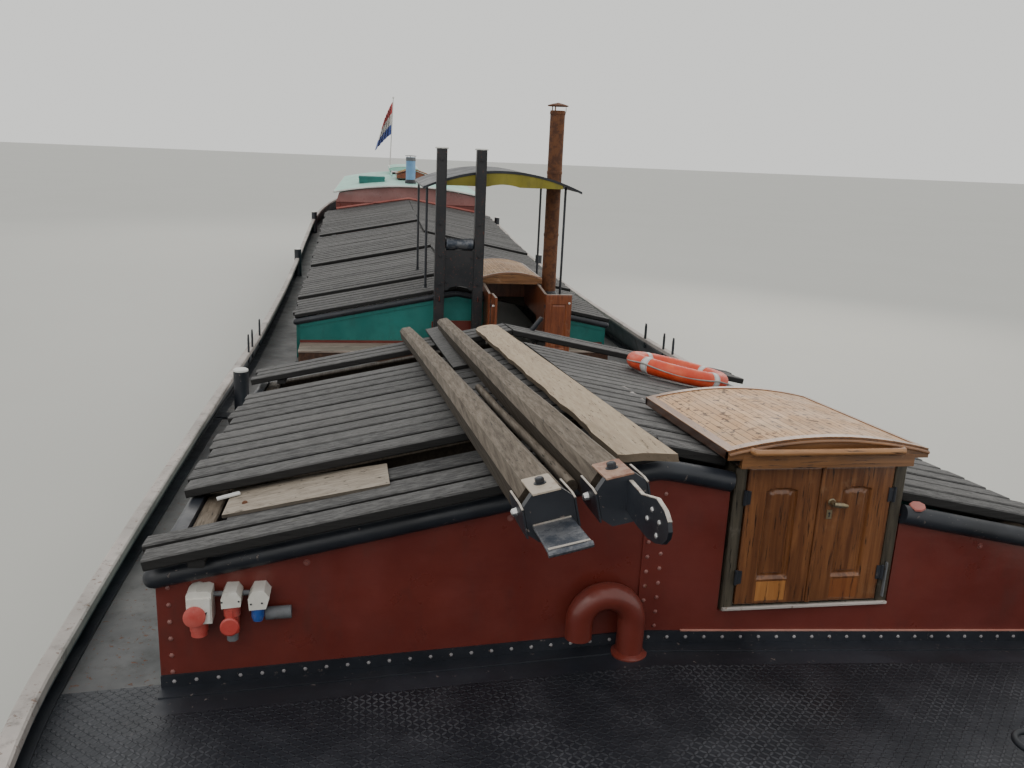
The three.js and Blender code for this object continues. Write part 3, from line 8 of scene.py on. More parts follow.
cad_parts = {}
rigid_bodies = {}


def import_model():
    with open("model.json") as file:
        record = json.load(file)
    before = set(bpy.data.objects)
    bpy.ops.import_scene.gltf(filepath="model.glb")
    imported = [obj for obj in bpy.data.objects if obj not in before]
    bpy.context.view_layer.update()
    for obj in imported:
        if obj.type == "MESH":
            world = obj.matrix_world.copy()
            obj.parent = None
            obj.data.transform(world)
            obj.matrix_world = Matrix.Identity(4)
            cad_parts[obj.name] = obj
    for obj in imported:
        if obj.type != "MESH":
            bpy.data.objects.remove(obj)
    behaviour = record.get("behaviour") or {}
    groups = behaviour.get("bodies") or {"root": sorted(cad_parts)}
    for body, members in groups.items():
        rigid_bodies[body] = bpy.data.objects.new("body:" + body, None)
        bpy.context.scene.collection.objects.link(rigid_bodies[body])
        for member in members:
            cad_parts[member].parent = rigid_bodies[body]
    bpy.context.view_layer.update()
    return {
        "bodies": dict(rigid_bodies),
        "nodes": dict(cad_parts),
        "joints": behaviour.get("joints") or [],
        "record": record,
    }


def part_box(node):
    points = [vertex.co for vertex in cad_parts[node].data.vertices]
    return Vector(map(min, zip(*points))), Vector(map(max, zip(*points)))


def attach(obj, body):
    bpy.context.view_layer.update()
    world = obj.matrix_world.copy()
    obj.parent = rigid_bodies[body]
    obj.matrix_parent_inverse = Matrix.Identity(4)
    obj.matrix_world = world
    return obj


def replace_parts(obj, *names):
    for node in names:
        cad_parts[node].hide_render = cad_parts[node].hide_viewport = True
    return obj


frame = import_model()
NODES = frame["nodes"]
CHANCE = np.random.default_rng(7)

# The barge's own lines, in metres: +X port, +Y aft, Z 0 on the flat bottom
WATERLINE = 0.87
HOLD_FRONT = -10.25
HOLD_HALF = 1.95
FORE_HATCH_END = -6.22
MID_WALL = -2.48
CABIN_FRONT = 8.98
CABIN_END = 12.48
WELL_END = 12.5
BILGE = 0.42
CAMBER = 0.0515
RAIL_RADIUS = 0.034
COAMING_THICK = 0.04
SHARP = math.radians(34)
HAIR = 0.0005  # gap left between neighbouring solids
UP, AFT, AHEAD, PORTWARD = (0, 0, 1), (0, 1, 0), (0, -1, 0), (1, 0, 0)
SIDES = ((1, "port"), (-1, "starboard"))

# Hull stations: y, half width and height of the flat bottom, half width at the bilge and the deck, deck, rail
HULL = np.array([
    [-14.85, 0.04, 2.35, 0.045, 0.06, 2.6, 3.0],
    [-14.6, 0.04, 1.88, 0.06, 0.62, 2.58, 2.95],
    [-14.15, 0.04, 1.03, 0.09, 1.13, 2.55, 2.88],
    [-13.6, 0.04, 0, 0.17, 1.5, 2.515, 2.79],
    [-13.1, 0.48, 0, 0.8, 1.76, 2.48, 2.71],
    [-12.3, 1.08, 0, 1.45, 2.06, 2.425, 2.6],
    [-11.4, 1.56, 0, 1.95, 2.3, 2.37, 2.51],
    [-10.25, 1.93, 0, 2.26, 2.43, 2.315, 2.44],
    [-8.0, 2.12, 0, 2.41, 2.47, 2.162, 2.35],
    [-5.5, 2.17, 0, 2.44, 2.48, 1.995, 2.265],
    [-2.48, 2.18, 0, 2.44, 2.48, 1.8, 2.17],
    [1.0, 2.18, 0, 2.44, 2.48, 1.75, 2.135],
    [5.0, 2.16, 0, 2.43, 2.48, 1.84, 2.18],
    [8.98, 2.05, 0, 2.36, 2.44, 2.06, 2.4],
    [10.6, 1.65, 0, 2.05, 2.36, 2.17, 2.52],
    [11.7, 1.08, 0, 1.62, 2.24, 2.245, 2.6],
    [12.5, 0.15, 0, 0.62, 2.12, 2.3, 2.66],
    [13.0, 0.06, 0.56, 0.48, 2.02, 2.335, 2.7],
    [13.35, 0.07, 1.0, 0.76, 1.92, 2.36, 2.725],
    [13.7, 0.12, 1.25, 0.9, 1.77, 2.385, 2.755],
    [14.2, 0.2, 1.52, 0.9, 1.44, 2.425, 2.8],
    [14.65, 0.18, 1.76, 0.52, 0.88, 2.46, 2.85],
    [14.85, 0.06, 1.95, 0.15, 0.32, 2.48, 2.88],
])

# Hatch: y, height of the coaming rail, height of the ridge above it
HATCH = np.array([
    [-10.25, 2.825, 0.404],
    [-6.3, 2.49, 0.395],
    [-2.48, 2.244, 0.385],
    [1.5, 2.24, 0.38],
    [5.0, 2.36, 0.375],
    [8.98, 2.6, 0.33],
])


def lines_at(table, y):
    """Each column of a station table at y, straight between stations."""
    return [np.interp(y, table[:, 0], table[:, c]) for c in range(1, table.shape[1])]


def faired(table, y):
    """Each column at y on a smooth curve: cubic pieces whose end slopes are the harmonic mean of the
    two chords beside a station, and flat where those chords point opposite ways."""
    at = table[:, 0]
    step = np.diff(at)
    chord = np.diff(table[:, 1:], axis=0) / step[:, None]
    both = chord[:-1] * chord[1:]
    slope = np.vstack([chord[:1], np.where(both > 0, 2 * both / (chord[:-1] + chord[1:] + 1e-12), 0),
                       chord[-1:]])
    y = np.atleast_1d(np.asarray(y, float))
    i = np.clip(np.searchsorted(at, y, side="right") - 1, 0, len(step) - 1)
    t = np.clip((y - at[i]) / step[i], 0, 1)[:, None]
    h = step[i][:, None]
    rows = table[:, 1:]
    curve = ((1 + 2 * t) * (1 - t) ** 2 * rows[i] + t * (1 - t) ** 2 * h * slope[i]
             + t * t * (3 - 2 * t) * rows[i + 1] - t * t * (1 - t) * h * slope[i + 1])
    return curve.T


def roof_z(x, y):
    """Height of the hatch's bare carriers: rail height plus the ridge, falling straight to the side."""
    side, rise = lines_at(HATCH, y)
    return side + rise * (1 - np.abs(x) / HOLD_HALF)


def foredeck_z(x, y):
    """Height of the cambered foredeck: deck edge plus a straight slope up to the centre line."""
    _, _, _, half, deck, _ = lines_at(HULL, y)
    return deck + CAMBER * (half - np.abs(x))


# Meshes from arrays
def xyz(x, y, z):
    """Points from three coordinates, each an array or one number that holds for all of them."""
    return np.stack(np.broadcast_arrays(x, y, z), -1)


def outward(points, faces):
    """The faces of a closed solid, turned over when its signed volume comes out negative."""
    points = np.asarray(points, float).reshape(-1, 3)
    corners = np.array([(f[0], f[i], f[i + 1]) for f in faces for i in range(1, len(f) - 1)])
    a, b, c = points[corners[:, 0]], points[corners[:, 1]], points[corners[:, 2]]
    middle = points.mean(axis=0)
    size = np.einsum("ij,ij->", a - middle, np.cross(b - middle, c - middle))
    return faces if size > 0 else [tuple(reversed(f)) for f in faces]


def mesh_piece(name, points, faces, body="hull", smooth=False, kinds=None, tones=None, paint=()):
    """A piece from an array of points and a list of faces; kinds picks the finish, tones a number a face."""
    mesh = bpy.data.meshes.new(name)
    mesh.from_pydata(np.asarray(points, float).reshape(-1, 3).tolist(), [],
                     [list(map(int, f)) for f in faces])
    mesh.polygons.foreach_set("use_smooth", np.ones(len(mesh.polygons), bool))
    if not smooth:
        mesh.set_sharp_from_angle(angle=SHARP)
    for finish in paint:
        mesh.materials.append(finish)
    if kinds is not None:
        mesh.polygons.foreach_set("material_index", np.asarray(kinds, np.int32))
    if tones is not None:
        tone = mesh.attributes.new("tone", "FLOAT", "FACE")
        tone.data.foreach_set("value", np.asarray(tones, np.float32))
    mesh.update()
    piece = bpy.data.objects.new(name, mesh)
    bpy.context.scene.collection.objects.link(piece)
    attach(piece, body)
    return piece


class Stock:
    """Gathers many small closed solids into one piece; kind counts the finishes that the piece is given."""

    def __init__(self):
        self.points = []
        self.faces = []
        self.kinds = []
        self.tones = []
        self.count = 0

    def add(self, points, faces, kind=0, tone=0.5):
        """Takes in a solid's points and faces, the faces renumbered to follow those before them."""
        points = np.asarray(points, float).reshape(-1, 3)
        faces = [tuple(int(i) + self.count for i in f) for f in outward(points, faces)]
        self.points.append(points)
        self.faces += faces
        self.kinds += list(kind) if isinstance(kind, (list, tuple, np.ndarray)) else [kind] * len(faces)
        self.tones += [tone] * len(faces)
        self.count += len(points)

    def sweep(self, kind, path, profile, side=UP, sizes=None, tone=0.5):
        """Takes in a profile carried along a path."""
        self.add(*swept(path, profile, side, sizes), kind, tone)

    def bar(self, kind, path, width, height, edge, side=UP, sizes=None, tone=0.5):
        """Takes in a rectangle with cut corners carried along a path."""
        self.sweep(kind, path, bevelled(width, height, edge), side, sizes, tone)

    def rod(self, kind, path, radius, sides, side=UP, sizes=None):
        """Takes in a circle carried along a path."""
        self.sweep(kind, path, round_profile(radius, sides), side, sizes)

    def turn(self, kind, at, axis, profile, sides=16):
        """Takes in a profile spun round an axis."""
        self.add(*turned(at, axis, profile, sides), kind)

    def plate(self, kind, outline, low, high, across="y"):
        """Takes in a flat outline given a thickness."""
        self.add(*slab(outline, low, high, across), kind)

    def box(self, kind, left, right, bottom, top, low, high, across="y"):
        """Takes in an upright rectangle given a thickness."""
        self.plate(kind, [(left, bottom), (right, bottom), (right, top), (left, top)], low, high, across)

    def loft(self, kind, rings):
        """Takes in the solid through equal rings of points, given as one array."""
        self.add(rings, ring_faces(*rings.shape[:2]), kind)

    def piece(self, name, paint, body="hull", slot=None, smooth=False):
        """The mesh of everything taken in so far."""
        return mesh_piece(name, np.concatenate(self.points), self.faces, body, smooth,
                          self.kinds, self.tones, paint)


def ring_faces(rings, count, closed_ends=True):
    """Quads between equal rings of points, with a face over each end; outward where rings turn that way."""
    faces = []
    for i in range(rings - 1):
        for j in range(count):
            a = i * count + j
            b = i * count + (j + 1) % count
            faces.append((a, b, b + count, a + count))
    if closed_ends:
        faces.append(tuple(range(count - 1, -1, -1)))
        faces.append(tuple(range((rings - 1) * count, rings * count)))
    return faces


def swept(path, profile, side=UP, sizes=None):
    """A profile (u, v) carried along a path: u along the sideways vector, v along the one square to both."""
    path = np.asarray(path, float)
    profile = np.asarray(profile, float)
    along = np.gradient(path, axis=0)
    along /= np.linalg.norm(along, axis=1, keepdims=True)
    up = np.broadcast_to(np.asarray(side, float), along.shape)
    across = np.cross(along, up)
    across /= np.linalg.norm(across, axis=1, keepdims=True)
    up = np.cross(across, along)
    scale = np.ones(len(path)) if sizes is None else np.asarray(sizes, float)
    u = profile[None, :, 0, None] * scale[:, None, None]
    v = profile[None, :, 1, None] * scale[:, None, None]
    points = path[:, None, :] + across[:, None, :] * u + up[:, None, :] * v
    return points.reshape(-1, 3), ring_faces(len(path), len(profile))


def round_profile(radius, sides=12, flat=1.0):
    """A circle of points, or an ellipse where flat isn't 1."""
    t = np.arange(sides) * 2 * np.pi / sides
    return np.stack([radius * np.cos(t), radius * flat * np.sin(t)], 1)


def bevelled(width, height, edge):
    """A rectangle with its corners cut off, centred on the path."""
    w, h = width / 2, height / 2
    return np.array([
        (w - edge, -h), (w, -h + edge), (w, h - edge), (w - edge, h),
        (-w + edge, h), (-w, h - edge), (-w, -h + edge), (-w + edge, -h),
    ])


def turned(at, axis, profile, sides=16):
    """A profile of (distance along the axis, radius) spun round the axis through a point."""
    axis = np.asarray(axis, float) / np.linalg.norm(axis)
    other = np.array([0, 0, 1.0]) if abs(axis[2]) < 0.9 else np.array([1.0, 0, 0])
    u = np.cross(axis, other)
    u /= np.linalg.norm(u)
    v = np.cross(axis, u)
    t = np.arange(sides) * 2 * np.pi / sides
    circle = np.cos(t)[:, None] * u + np.sin(t)[:, None] * v
    profile = np.asarray(profile, float)
    points = np.asarray(at, float) + profile[:, 0, None,
                                             None] * axis + profile[:, 1, None, None] * circle[None]
    return points.reshape(-1, 3), ring_faces(len(profile), sides)


def carried(y, shape, side=1):
    """Rings of (x, z), each a number or one value for every y, carried along y on one side."""
    return np.stack([xyz(side * x, y, z) for x, z in shape], 1)


def slab(outline, low, high, across="y"):
    """A flat outline given a thickness: its corners repeated at both ends of the named axis."""
    a, b = np.asarray(outline, float).T
    ends = [{"x": (e, a, b), "y": (a, e, b), "z": (a, b, e)}[across] for e in (low, high)]
    return np.concatenate([xyz(*end) for end in ends]), ring_faces(2, len(a))


def rivet_heads(stock, spots, normal, radius=0.009, kind=0):
    """A low six-sided dome on each spot, facing along the normal."""
    for spot in spots:
        stock.turn(kind, spot, normal, [(-0.002, radius), (radius * 0.35, radius * 0.8),
                                        (radius * 0.62, radius * 0.3)], 6)


# Finishes: one procedural material each, on the piece's Object coordinates
class Finish:
    """A material under construction; every method returns a socket that the next one can take."""

    def __init__(self, name):
        self.mat = bpy.data.materials.new(name)
        self.mat.use_nodes = True
        self.tree = self.mat.node_tree
        self.shader = self.tree.nodes["Principled BSDF"]
        self.place = self.add("ShaderNodeTexCoord").outputs["Object"]

    def add(self, kind, **settings):
        """A new node with its settings."""
        node = self.tree.nodes.new(kind)
        for key, value in settings.items():
            setattr(node, key, value)
        return node

    def feed(self, socket, value):
        """Links a socket to another one, or sets its value."""
        if isinstance(value, bpy.types.NodeSocket):
            self.tree.links.new(value, socket)
        else:
            socket.default_value = value

    def stretched(self, scale, turn=(0, 0, 0)):
        """The place on the piece, scaled along each axis and turned."""
        node = self.add("ShaderNodeMapping")
        self.feed(node.inputs["Vector"], self.place)
        node.inputs["Scale"].default_value = scale
        node.inputs["Rotation"].default_value = turn
        return node.outputs["Vector"]

    def noise(self, scale, detail=5, rough=0.55, stretch=None, turn=(0, 0, 0), warp=0.0):
        """Cloudy noise from 0 to 1: finer with scale, drawn out along an axis by a stretch below 1."""
        node = self.add("ShaderNodeTexNoise")
        self.feed(node.inputs["Vector"], self.stretched(stretch, turn) if stretch else self.place)
        for key, value in (("Scale", scale), ("Detail", detail), ("Roughness", rough),
                           ("Distortion", warp)):
            node.inputs[key].default_value = value
        return node.outputs["Fac"]

    def patches(self, scale, detail, rough, low, high, to_low=0.0, to_high=1.0, **bend):
        """Noise turned into patches: to_low below the level low, to_high above the level high."""
        return self.between(self.noise(scale, detail, rough, **bend), low, high, to_low, to_high)

    def axis(self, which):
        """One coordinate of the place on the piece."""
        node = self.add("ShaderNodeSeparateXYZ")
        self.feed(node.inputs[0], self.place)
        return node.outputs[which]

    def facing_up(self):
        """1 on a face that looks up, 0 on an upright one, -1 on one that looks down."""
        node = self.add("ShaderNodeSeparateXYZ")
        self.feed(node.inputs[0], self.add("ShaderNodeNewGeometry").outputs["Normal"])
        return node.outputs[2]

    def tone(self):
        """The number that each face carries."""
        return self.add("ShaderNodeAttribute", attribute_name="tone").outputs["Fac"]

    def sum(self, operation, a, b=0.0, c=0.0):
        """Arithmetic on two or three values."""
        node = self.add("ShaderNodeMath", operation=operation)
        for socket, value in zip(node.inputs, (a, b, c)):
            self.feed(socket, value)
        return node.outputs[0]

    def rest(self, value):
        """1 less a value."""
        return self.sum("SUBTRACT", 1.0, value)

    def between(self, value, low, high, to_low=0.0, to_high=1.0):
        """to_low where a value is below low, to_high where it is above high, eased from one to the other."""
        node = self.add("ShaderNodeMapRange", interpolation_type="SMOOTHSTEP")
        for socket, v in zip(node.inputs[:5], (value, low, high, to_low, to_high)):
            self.feed(socket, v)
        return node.outputs[0]

    def blend(self, amount, a, b):
        """Colour a where the amount is 0, colour b where it is 1."""
        node = self.add("ShaderNodeMix", data_type="RGBA")
        self.feed(node.inputs[0], amount)
        for socket, value in ((node.inputs[6], a), (node.inputs[7], b)):
            self.feed(socket, (*value, 1) if isinstance(value, tuple) else value)
        return node.outputs[2]

    def bump(self, height, distance, under=None):
        """A surface that seems raised by height times distance in metres, over another such surface."""
        node = self.add("ShaderNodeBump")
        node.inputs["Strength"].default_value = 1.0
        node.inputs["Distance"].default_value = distance
        self.feed(node.inputs["Height"], height)
        if under is not None:
            self.feed(node.inputs["Normal"], under)
        return node.outputs["Normal"]

    def made(self, color, roughness, normal=None, metallic=0.0, coat=0.0, coat_rough=0.1, specular=0.5,
             sheen=0.0):
        """The finished material."""
        s = self.shader.inputs
        self.feed(s["Base Color"], (*color, 1) if isinstance(color, tuple) else color)
        self.feed(s["Roughness"], roughness)
        self.feed(s["Metallic"], metallic)
        for key, value in (("Coat Weight", coat), ("Coat Roughness", coat_rough),
                           ("Specular IOR Level", specular), ("Sheen Weight", sheen)):
            s[key].default_value = value
        if normal is not None:
            self.feed(s["Normal"], normal)
        return self.mat


RUST = (0.13, 0.045, 0.018)
GRIME = (0.03, 0.028, 0.024)


def painted_steel(name, color, faded, rough=0.42, chips=0.62, grime=0.5, coat=0.0, chip_color=RUST,
                  ripple=0.0012):
    """Brushed-on paint over plate: faded patches, grime, small chips to rust, and a hand-painted ripple."""
    f = Finish(name)
    patches = f.noise(1.6, 6, 0.6)
    body = f.blend(f.between(patches, 0.35, 0.7), color, faded)
    dirt = f.patches(7, 8, 0.7, 0.5, 0.78, 0, grime, stretch=(1, 1, 0.35))
    dirty = f.blend(dirt, body, GRIME)
    chip = f.patches(34, 7, 0.72, chips, chips + 0.03)
    worn = f.blend(chip, dirty, chip_color)
    uneven = f.noise(11, 4, 0.5, stretch=(1, 1, 2.5))
    dips = f.bump(uneven, ripple)
    flake = f.bump(f.rest(chip), 0.0006, dips)
    sheen = f.patches(5, 5, 0.6, 0.3, 0.75, rough, rough + 0.22)
    return f.made(worn, sheen, flake, coat=coat, coat_rough=0.18)


def chequer_steel():
    """Worn dark deck plate: rows of short raised bars, alternately slanting, rubbed pale on their tops."""
    f = Finish("chequer plate")
    pitch = 0.034

    def bars(slant, shift):
        """1 inside an ellipse at the middle of every square of a slanting grid."""
        turned_place = f.stretched((1 / pitch, 1 / pitch, 1), (0, 0, slant))
        split = f.add("ShaderNodeSeparateXYZ")
        f.feed(split.inputs[0], turned_place)
        across = f.sum("FRACT", f.sum("ADD", split.outputs[0], shift))
        along = f.sum("FRACT", f.sum("ADD", split.outputs[1], shift))
        u = f.sum("MULTIPLY", f.sum("SUBTRACT", across, 0.5), 3.6)
        v = f.sum("MULTIPLY", f.sum("SUBTRACT", along, 0.5), 1.35)
        reach = f.sum("SQRT", f.sum("ADD", f.sum("MULTIPLY", u, u), f.sum("MULTIPLY", v, v)))
        return f.between(reach, 0.62, 0.42)

    raised = f.sum("MAXIMUM", bars(math.radians(45), 0.0), bars(math.radians(-45), 0.5))
    wear = f.patches(2.3, 6, 0.62, 0.4, 0.7)
    base = f.blend(f.patches(4.5, 7, 0.68, 0.42, 0.68), (0.013, 0.016, 0.023), (0.03, 0.033, 0.042))
    rubbed = f.blend(f.sum("MULTIPLY", raised, f.sum("MULTIPLY", wear, 0.75)), base, (0.105, 0.11, 0.125))
    scuffed = f.blend(f.patches(60, 4, 0.7, 0.66, 0.78, 0, 0.5, stretch=(1, 0.25, 1)), rubbed,
                      (0.14, 0.13, 0.12))
    damp = f.patches(1.1, 4, 0.5, 0.45, 0.62, 0.5, 0.3)
    normal = f.bump(raised, 0.0035, f.bump(f.noise(90, 4, 0.7), 0.0006))
    return f.made(scuffed, damp, normal, metallic=0.25)


def weathered_board():
    """Grey-black sawn board: fine long grain, each board its own tone, moss and dark stains, and painted
    shade darkening its sides and underside.
    """
    f = Finish("weathered board")
    own = f.blend(f.tone(), (0.036, 0.036, 0.038), (0.094, 0.092, 0.092))
    grain = f.noise(85, 8, 0.62, stretch=(0.05, 1, 1), warp=0.12)
    lined = f.blend(f.between(grain, 0.36, 0.68, 0, 0.55), own, (0.15, 0.147, 0.144))
    blotch = f.patches(2.4, 8, 0.7, 0.46, 0.7, 0, 0.5, stretch=(0.5, 1, 1))
    stained = f.blend(blotch, lined, (0.036, 0.034, 0.033))
    moss = f.patches(11, 7, 0.74, 0.64, 0.73, 0, 0.5)
    green = f.blend(moss, stained, (0.06, 0.068, 0.028))
    cracks = f.patches(150, 5, 0.7, 0.34, 0.42, stretch=(0.02, 1, 1))
    cracked = f.blend(f.rest(cracks), green, (0.022, 0.02, 0.019))
    normal = f.bump(grain, 0.0018, f.bump(cracks, 0.0014))
    # Painted shade: faces that don't look up are blended toward near-black, so only the tops keep the board's
    # colour.
    shaded = f.blend(f.between(f.facing_up(), 0.3, 0.88), (0.012, 0.0115, 0.0115), cracked)
    return f.made(shaded, f.between(grain, 0.3, 0.7, 0.86, 0.62), normal, specular=0.4)


def sawn_timber(name, dark, pale, along=(1, 0.06, 1), fine=34, specular=0.3):
    """Old timber: streaks of grain along its length, dirt in the grain, small drying cracks, and painted
    shade darkening its sides and underside.
    """
    f = Finish(name)
    grain = f.noise(fine, 8, 0.68, stretch=along, warp=0.25)
    body = f.blend(f.between(grain, 0.3, 0.72, 0.15, 0.9), dark, pale)
    dirt = f.patches(6, 8, 0.74, 0.48, 0.72, 0, 0.45, stretch=along)
    dirty = f.blend(dirt, body, tuple(0.35 * c for c in dark))
    crack = f.patches(fine * 2.2, 5, 0.7, 0.33, 0.4, stretch=(along[0], along[1] * 0.45, along[2]))
    cracked = f.blend(f.rest(crack), dirty, (0.02, 0.015, 0.01))
    normal = f.bump(grain, 0.0016, f.bump(crack, 0.0014))
    # Painted shade: faces that don't look up are darkened toward a third of the dark grain colour.
    painted_side_shade = f.blend(f.between(f.facing_up(), 0.0, 0.85, 0.25, 1.0), tuple(0.3 * c for c in dark), cracked)
    return f.made(painted_side_shade, f.between(grain, 0.3, 0.7, 0.82, 0.6), normal, specular=specular)


def varnished(name, dark, pale, along=(1, 1, 0.06), fine=30, coat=0.5, worn=(0.3, 0.2, 0.12)):
    """Varnished joinery: ribbon grain under a clear coat, thin and bleached in places."""
    f = Finish(name)
    grain = f.noise(fine, 8, 0.62, stretch=along, warp=0.6)
    body = f.blend(f.between(grain, 0.32, 0.7), dark, pale)
    broad = f.blend(f.patches(3.5, 4, 0.6, 0.35, 0.7, 0, 0.5), body, dark)
    thin = f.patches(8, 8, 0.72, 0.58, 0.74, 0, 0.5)
    bleached = f.blend(thin, broad, worn)
    pores = f.patches(fine * 4, 4, 0.7, 0.34, 0.42, stretch=along)
    dark_pores = f.blend(f.rest(pores), bleached, tuple(0.3 * c for c in dark))
    normal = f.bump(grain, 0.0012, f.bump(pores, 0.0006))
    return f.made(dark_pores, f.between(thin, 0, 0.5, 0.32, 0.6), normal, coat=coat, coat_rough=0.16)


def hood_planking():
    """Thin strips of light wood along the hood with dark caulked seams, flecked with dark dirt."""
    f = Finish("hood planking")
    strip = 0.034
    across = f.sum("DIVIDE", f.axis(0), strip)
    seam = f.between(f.sum("ABSOLUTE", f.sum("SUBTRACT", f.sum("FRACT", across), 0.5)), 0.44, 0.485)
    own = f.add("ShaderNodeTexWhiteNoise", noise_dimensions="1D")
    f.feed(own.inputs["W"], f.sum("FLOOR", across))
    strips = f.blend(own.outputs["Value"], (0.52, 0.31, 0.165), (0.66, 0.42, 0.24))
    grain = f.noise(40, 7, 0.66, stretch=(1, 0.05, 1), warp=0.3)
    lined = f.blend(f.between(grain, 0.4, 0.75, 0, 0.35), strips, (0.36, 0.19, 0.09))
    flecks = f.patches(42, 3, 0.5, 0.58, 0.64, stretch=(1, 0.55, 1))
    flecked = f.blend(f.sum("MULTIPLY", flecks, 0.85), lined, (0.085, 0.04, 0.02))
    grey = f.blend(f.patches(3.2, 6, 0.66, 0.5, 0.74, 0, 0.5), flecked, (0.3, 0.24, 0.18))
    seamed = f.blend(seam, grey, (0.045, 0.022, 0.012))
    normal = f.bump(f.rest(seam), 0.0012, f.bump(grain, 0.0008))
    return f.made(seamed, f.patches(6, 5, 0.6, 0.3, 0.7, 0.45, 0.65), normal, specular=0.3)


def bare_metal(name, color, spots, rough=0.45, amount=0.56, metallic=0.7):
    """Metal with tarnish or rust spreading in blots."""
    f = Finish(name)
    blot = f.patches(14, 8, 0.7, amount - 0.1, amount + 0.08)
    body = f.blend(blot, color, spots)
    fine = f.noise(120, 4, 0.7)
    normal = f.bump(fine, 0.0008, f.bump(blot, 0.0006))
    return f.made(body, f.between(fine, 0.2, 0.8, rough - 0.1, rough + 0.25), normal, metallic=metallic)


def moulded(name, color, dull, rough=0.4):
    """Moulded plastic or gel coat: faint mottling, dust and fine scratches."""
    f = Finish(name)
    body = f.blend(f.patches(9, 6, 0.6, 0.4, 0.72), color, dull)
    dust = f.blend(f.patches(30, 6, 0.7, 0.56, 0.76, 0, 0.4), body, (0.3, 0.27, 0.22))
    scratch = f.noise(85, 4, 0.65, stretch=(1, 0.2, 1))
    return f.made(dust, f.between(scratch, 0.3, 0.7, rough - 0.08, rough + 0.16), f.bump(scratch, 0.0004))


def woven(name, color):
    """Flag cloth: fine crossed threads, a little faded, dull."""
    f = Finish(name)
    warp = f.noise(400, 2, 0.5, stretch=(1, 1, 0.1))
    weft = f.noise(400, 2, 0.5, stretch=(0.1, 1, 1))
    faded = f.blend(f.patches(5, 5, 0.6, 0.35, 0.75, 0, 0.5), color, tuple(0.6 * c + 0.14 for c in color))
    return f.made(faded, 0.85, f.bump(f.sum("ADD", warp, weft), 0.0006), sheen=0.3, specular=0.2)


def hull_coat():
    """Black coating above a rust-streaked waterline band, dull and slimed below it."""
    f = Finish("hull coating")
    height = f.axis(2)
    wave = f.sum("ADD", height, f.sum("MULTIPLY", f.noise(1.2, 4, 0.6), 0.12))
    wet = f.between(wave, WATERLINE + 0.1, WATERLINE - 0.02)
    tar = f.blend(f.patches(2, 6, 0.62, 0.4, 0.7), (0.012, 0.012, 0.014), (0.035, 0.034, 0.036))
    slime = f.blend(f.noise(6, 7, 0.7), (0.02, 0.022, 0.012), (0.06, 0.055, 0.03))
    body = f.blend(wet, tar, slime)
    streak = f.patches(5, 6, 0.66, 0.56, 0.74, 0, 0.6, stretch=(1, 1, 0.12))
    streaked = f.blend(streak, body, RUST)
    rough = f.patches(9, 6, 0.6, 0.3, 0.7, 0.42, 0.7)
    return f.made(streaked, rough, f.bump(f.noise(22, 6, 0.62), 0.002))


def window_glass():
    """Dark tinted pane with a faint film."""
    f = Finish("window pane")
    film = f.patches(8, 6, 0.7, 0.4, 0.75, 0.04, 0.16)
    return f.made(f.blend(f.noise(3, 3, 0.5), (0.012, 0.016, 0.018), (0.03, 0.038, 0.04)), film,
                  specular=0.8)


CHEQUER = chequer_steel()
HULL_BLACK = hull_coat()
OXIDE = painted_steel("oxide red plate", (0.118, 0.018, 0.0125), (0.165, 0.031, 0.022), 0.26, 0.72, 0.35,
                      coat=0.35)
TEAL = painted_steel("teal plate", (0.006, 0.13, 0.115), (0.02, 0.19, 0.17), 0.36, 0.7, 0.35)
BLACK = painted_steel("black trim", (0.008, 0.010, 0.015), (0.026, 0.030, 0.040), 0.36, 0.64, 0.2,
                      chip_color=(0.16, 0.13, 0.12))
GREY_INSIDE = painted_steel("blue-grey bulwark plate", (0.105, 0.115, 0.13), (0.17, 0.175, 0.185), 0.5,
                            0.6, 0.7)
GREY_DECK = painted_steel("grey side deck", (0.085, 0.086, 0.09), (0.15, 0.148, 0.146), 0.5, 0.6, 0.75)
PALE_CAP = painted_steel("pale rail cap", (0.36, 0.33, 0.31), (0.52, 0.47, 0.44), 0.6, 0.6, 0.75,
                         chip_color=(0.2, 0.13, 0.1))
MINT = painted_steel("mint roof", (0.33, 0.6, 0.51), (0.46, 0.7, 0.62), 0.42, 0.74, 0.4)
BLUE = painted_steel("light blue pipe", (0.13, 0.27, 0.47), (0.2, 0.36, 0.56), 0.42, 0.72, 0.4)
WHITE = painted_steel("white paint", (0.62, 0.62, 0.6), (0.74, 0.73, 0.7), 0.4, 0.68, 0.5)
OLIVE = painted_steel("olive canopy end", (0.20, 0.17, 0.012), (0.28, 0.245, 0.03), 0.5, 0.72, 0.5)
BOARDS = weathered_board()
TIMBER = sawn_timber("sheer leg timber", (0.075, 0.057, 0.042), (0.2, 0.162, 0.122), (1, 0.035, 1), 70)
PLANK = sawn_timber("bleached plank", (0.36, 0.28, 0.2), (0.47, 0.375, 0.27), (1, 0.03, 1), 60)
COVER_PLY = sawn_timber("grey plywood", (0.21, 0.175, 0.14), (0.38, 0.33, 0.27), (0.06, 1, 1), 50)
VARNISH = varnished("varnished door wood", (0.105, 0.036, 0.013), (0.26, 0.105, 0.038),
                    worn=(0.28, 0.16, 0.08))
INSERT_PALE = varnished("pale door insert", (0.36, 0.145, 0.04), (0.47, 0.21, 0.065))
INSERT_BROWN = varnished("brown door insert", (0.19, 0.058, 0.018), (0.27, 0.095, 0.03))
RED_BROWN = varnished("red-brown door wood", (0.15, 0.037, 0.014), (0.29, 0.086, 0.031))
GREY_FRAME = varnished("weathered frame wood", (0.034, 0.029, 0.022), (0.12, 0.102, 0.075), coat=0.1,
                       worn=(0.2, 0.18, 0.15))
HOOD = hood_planking()
STEEL = bare_metal("dull steel", (0.23, 0.22, 0.21), (0.09, 0.055, 0.04))
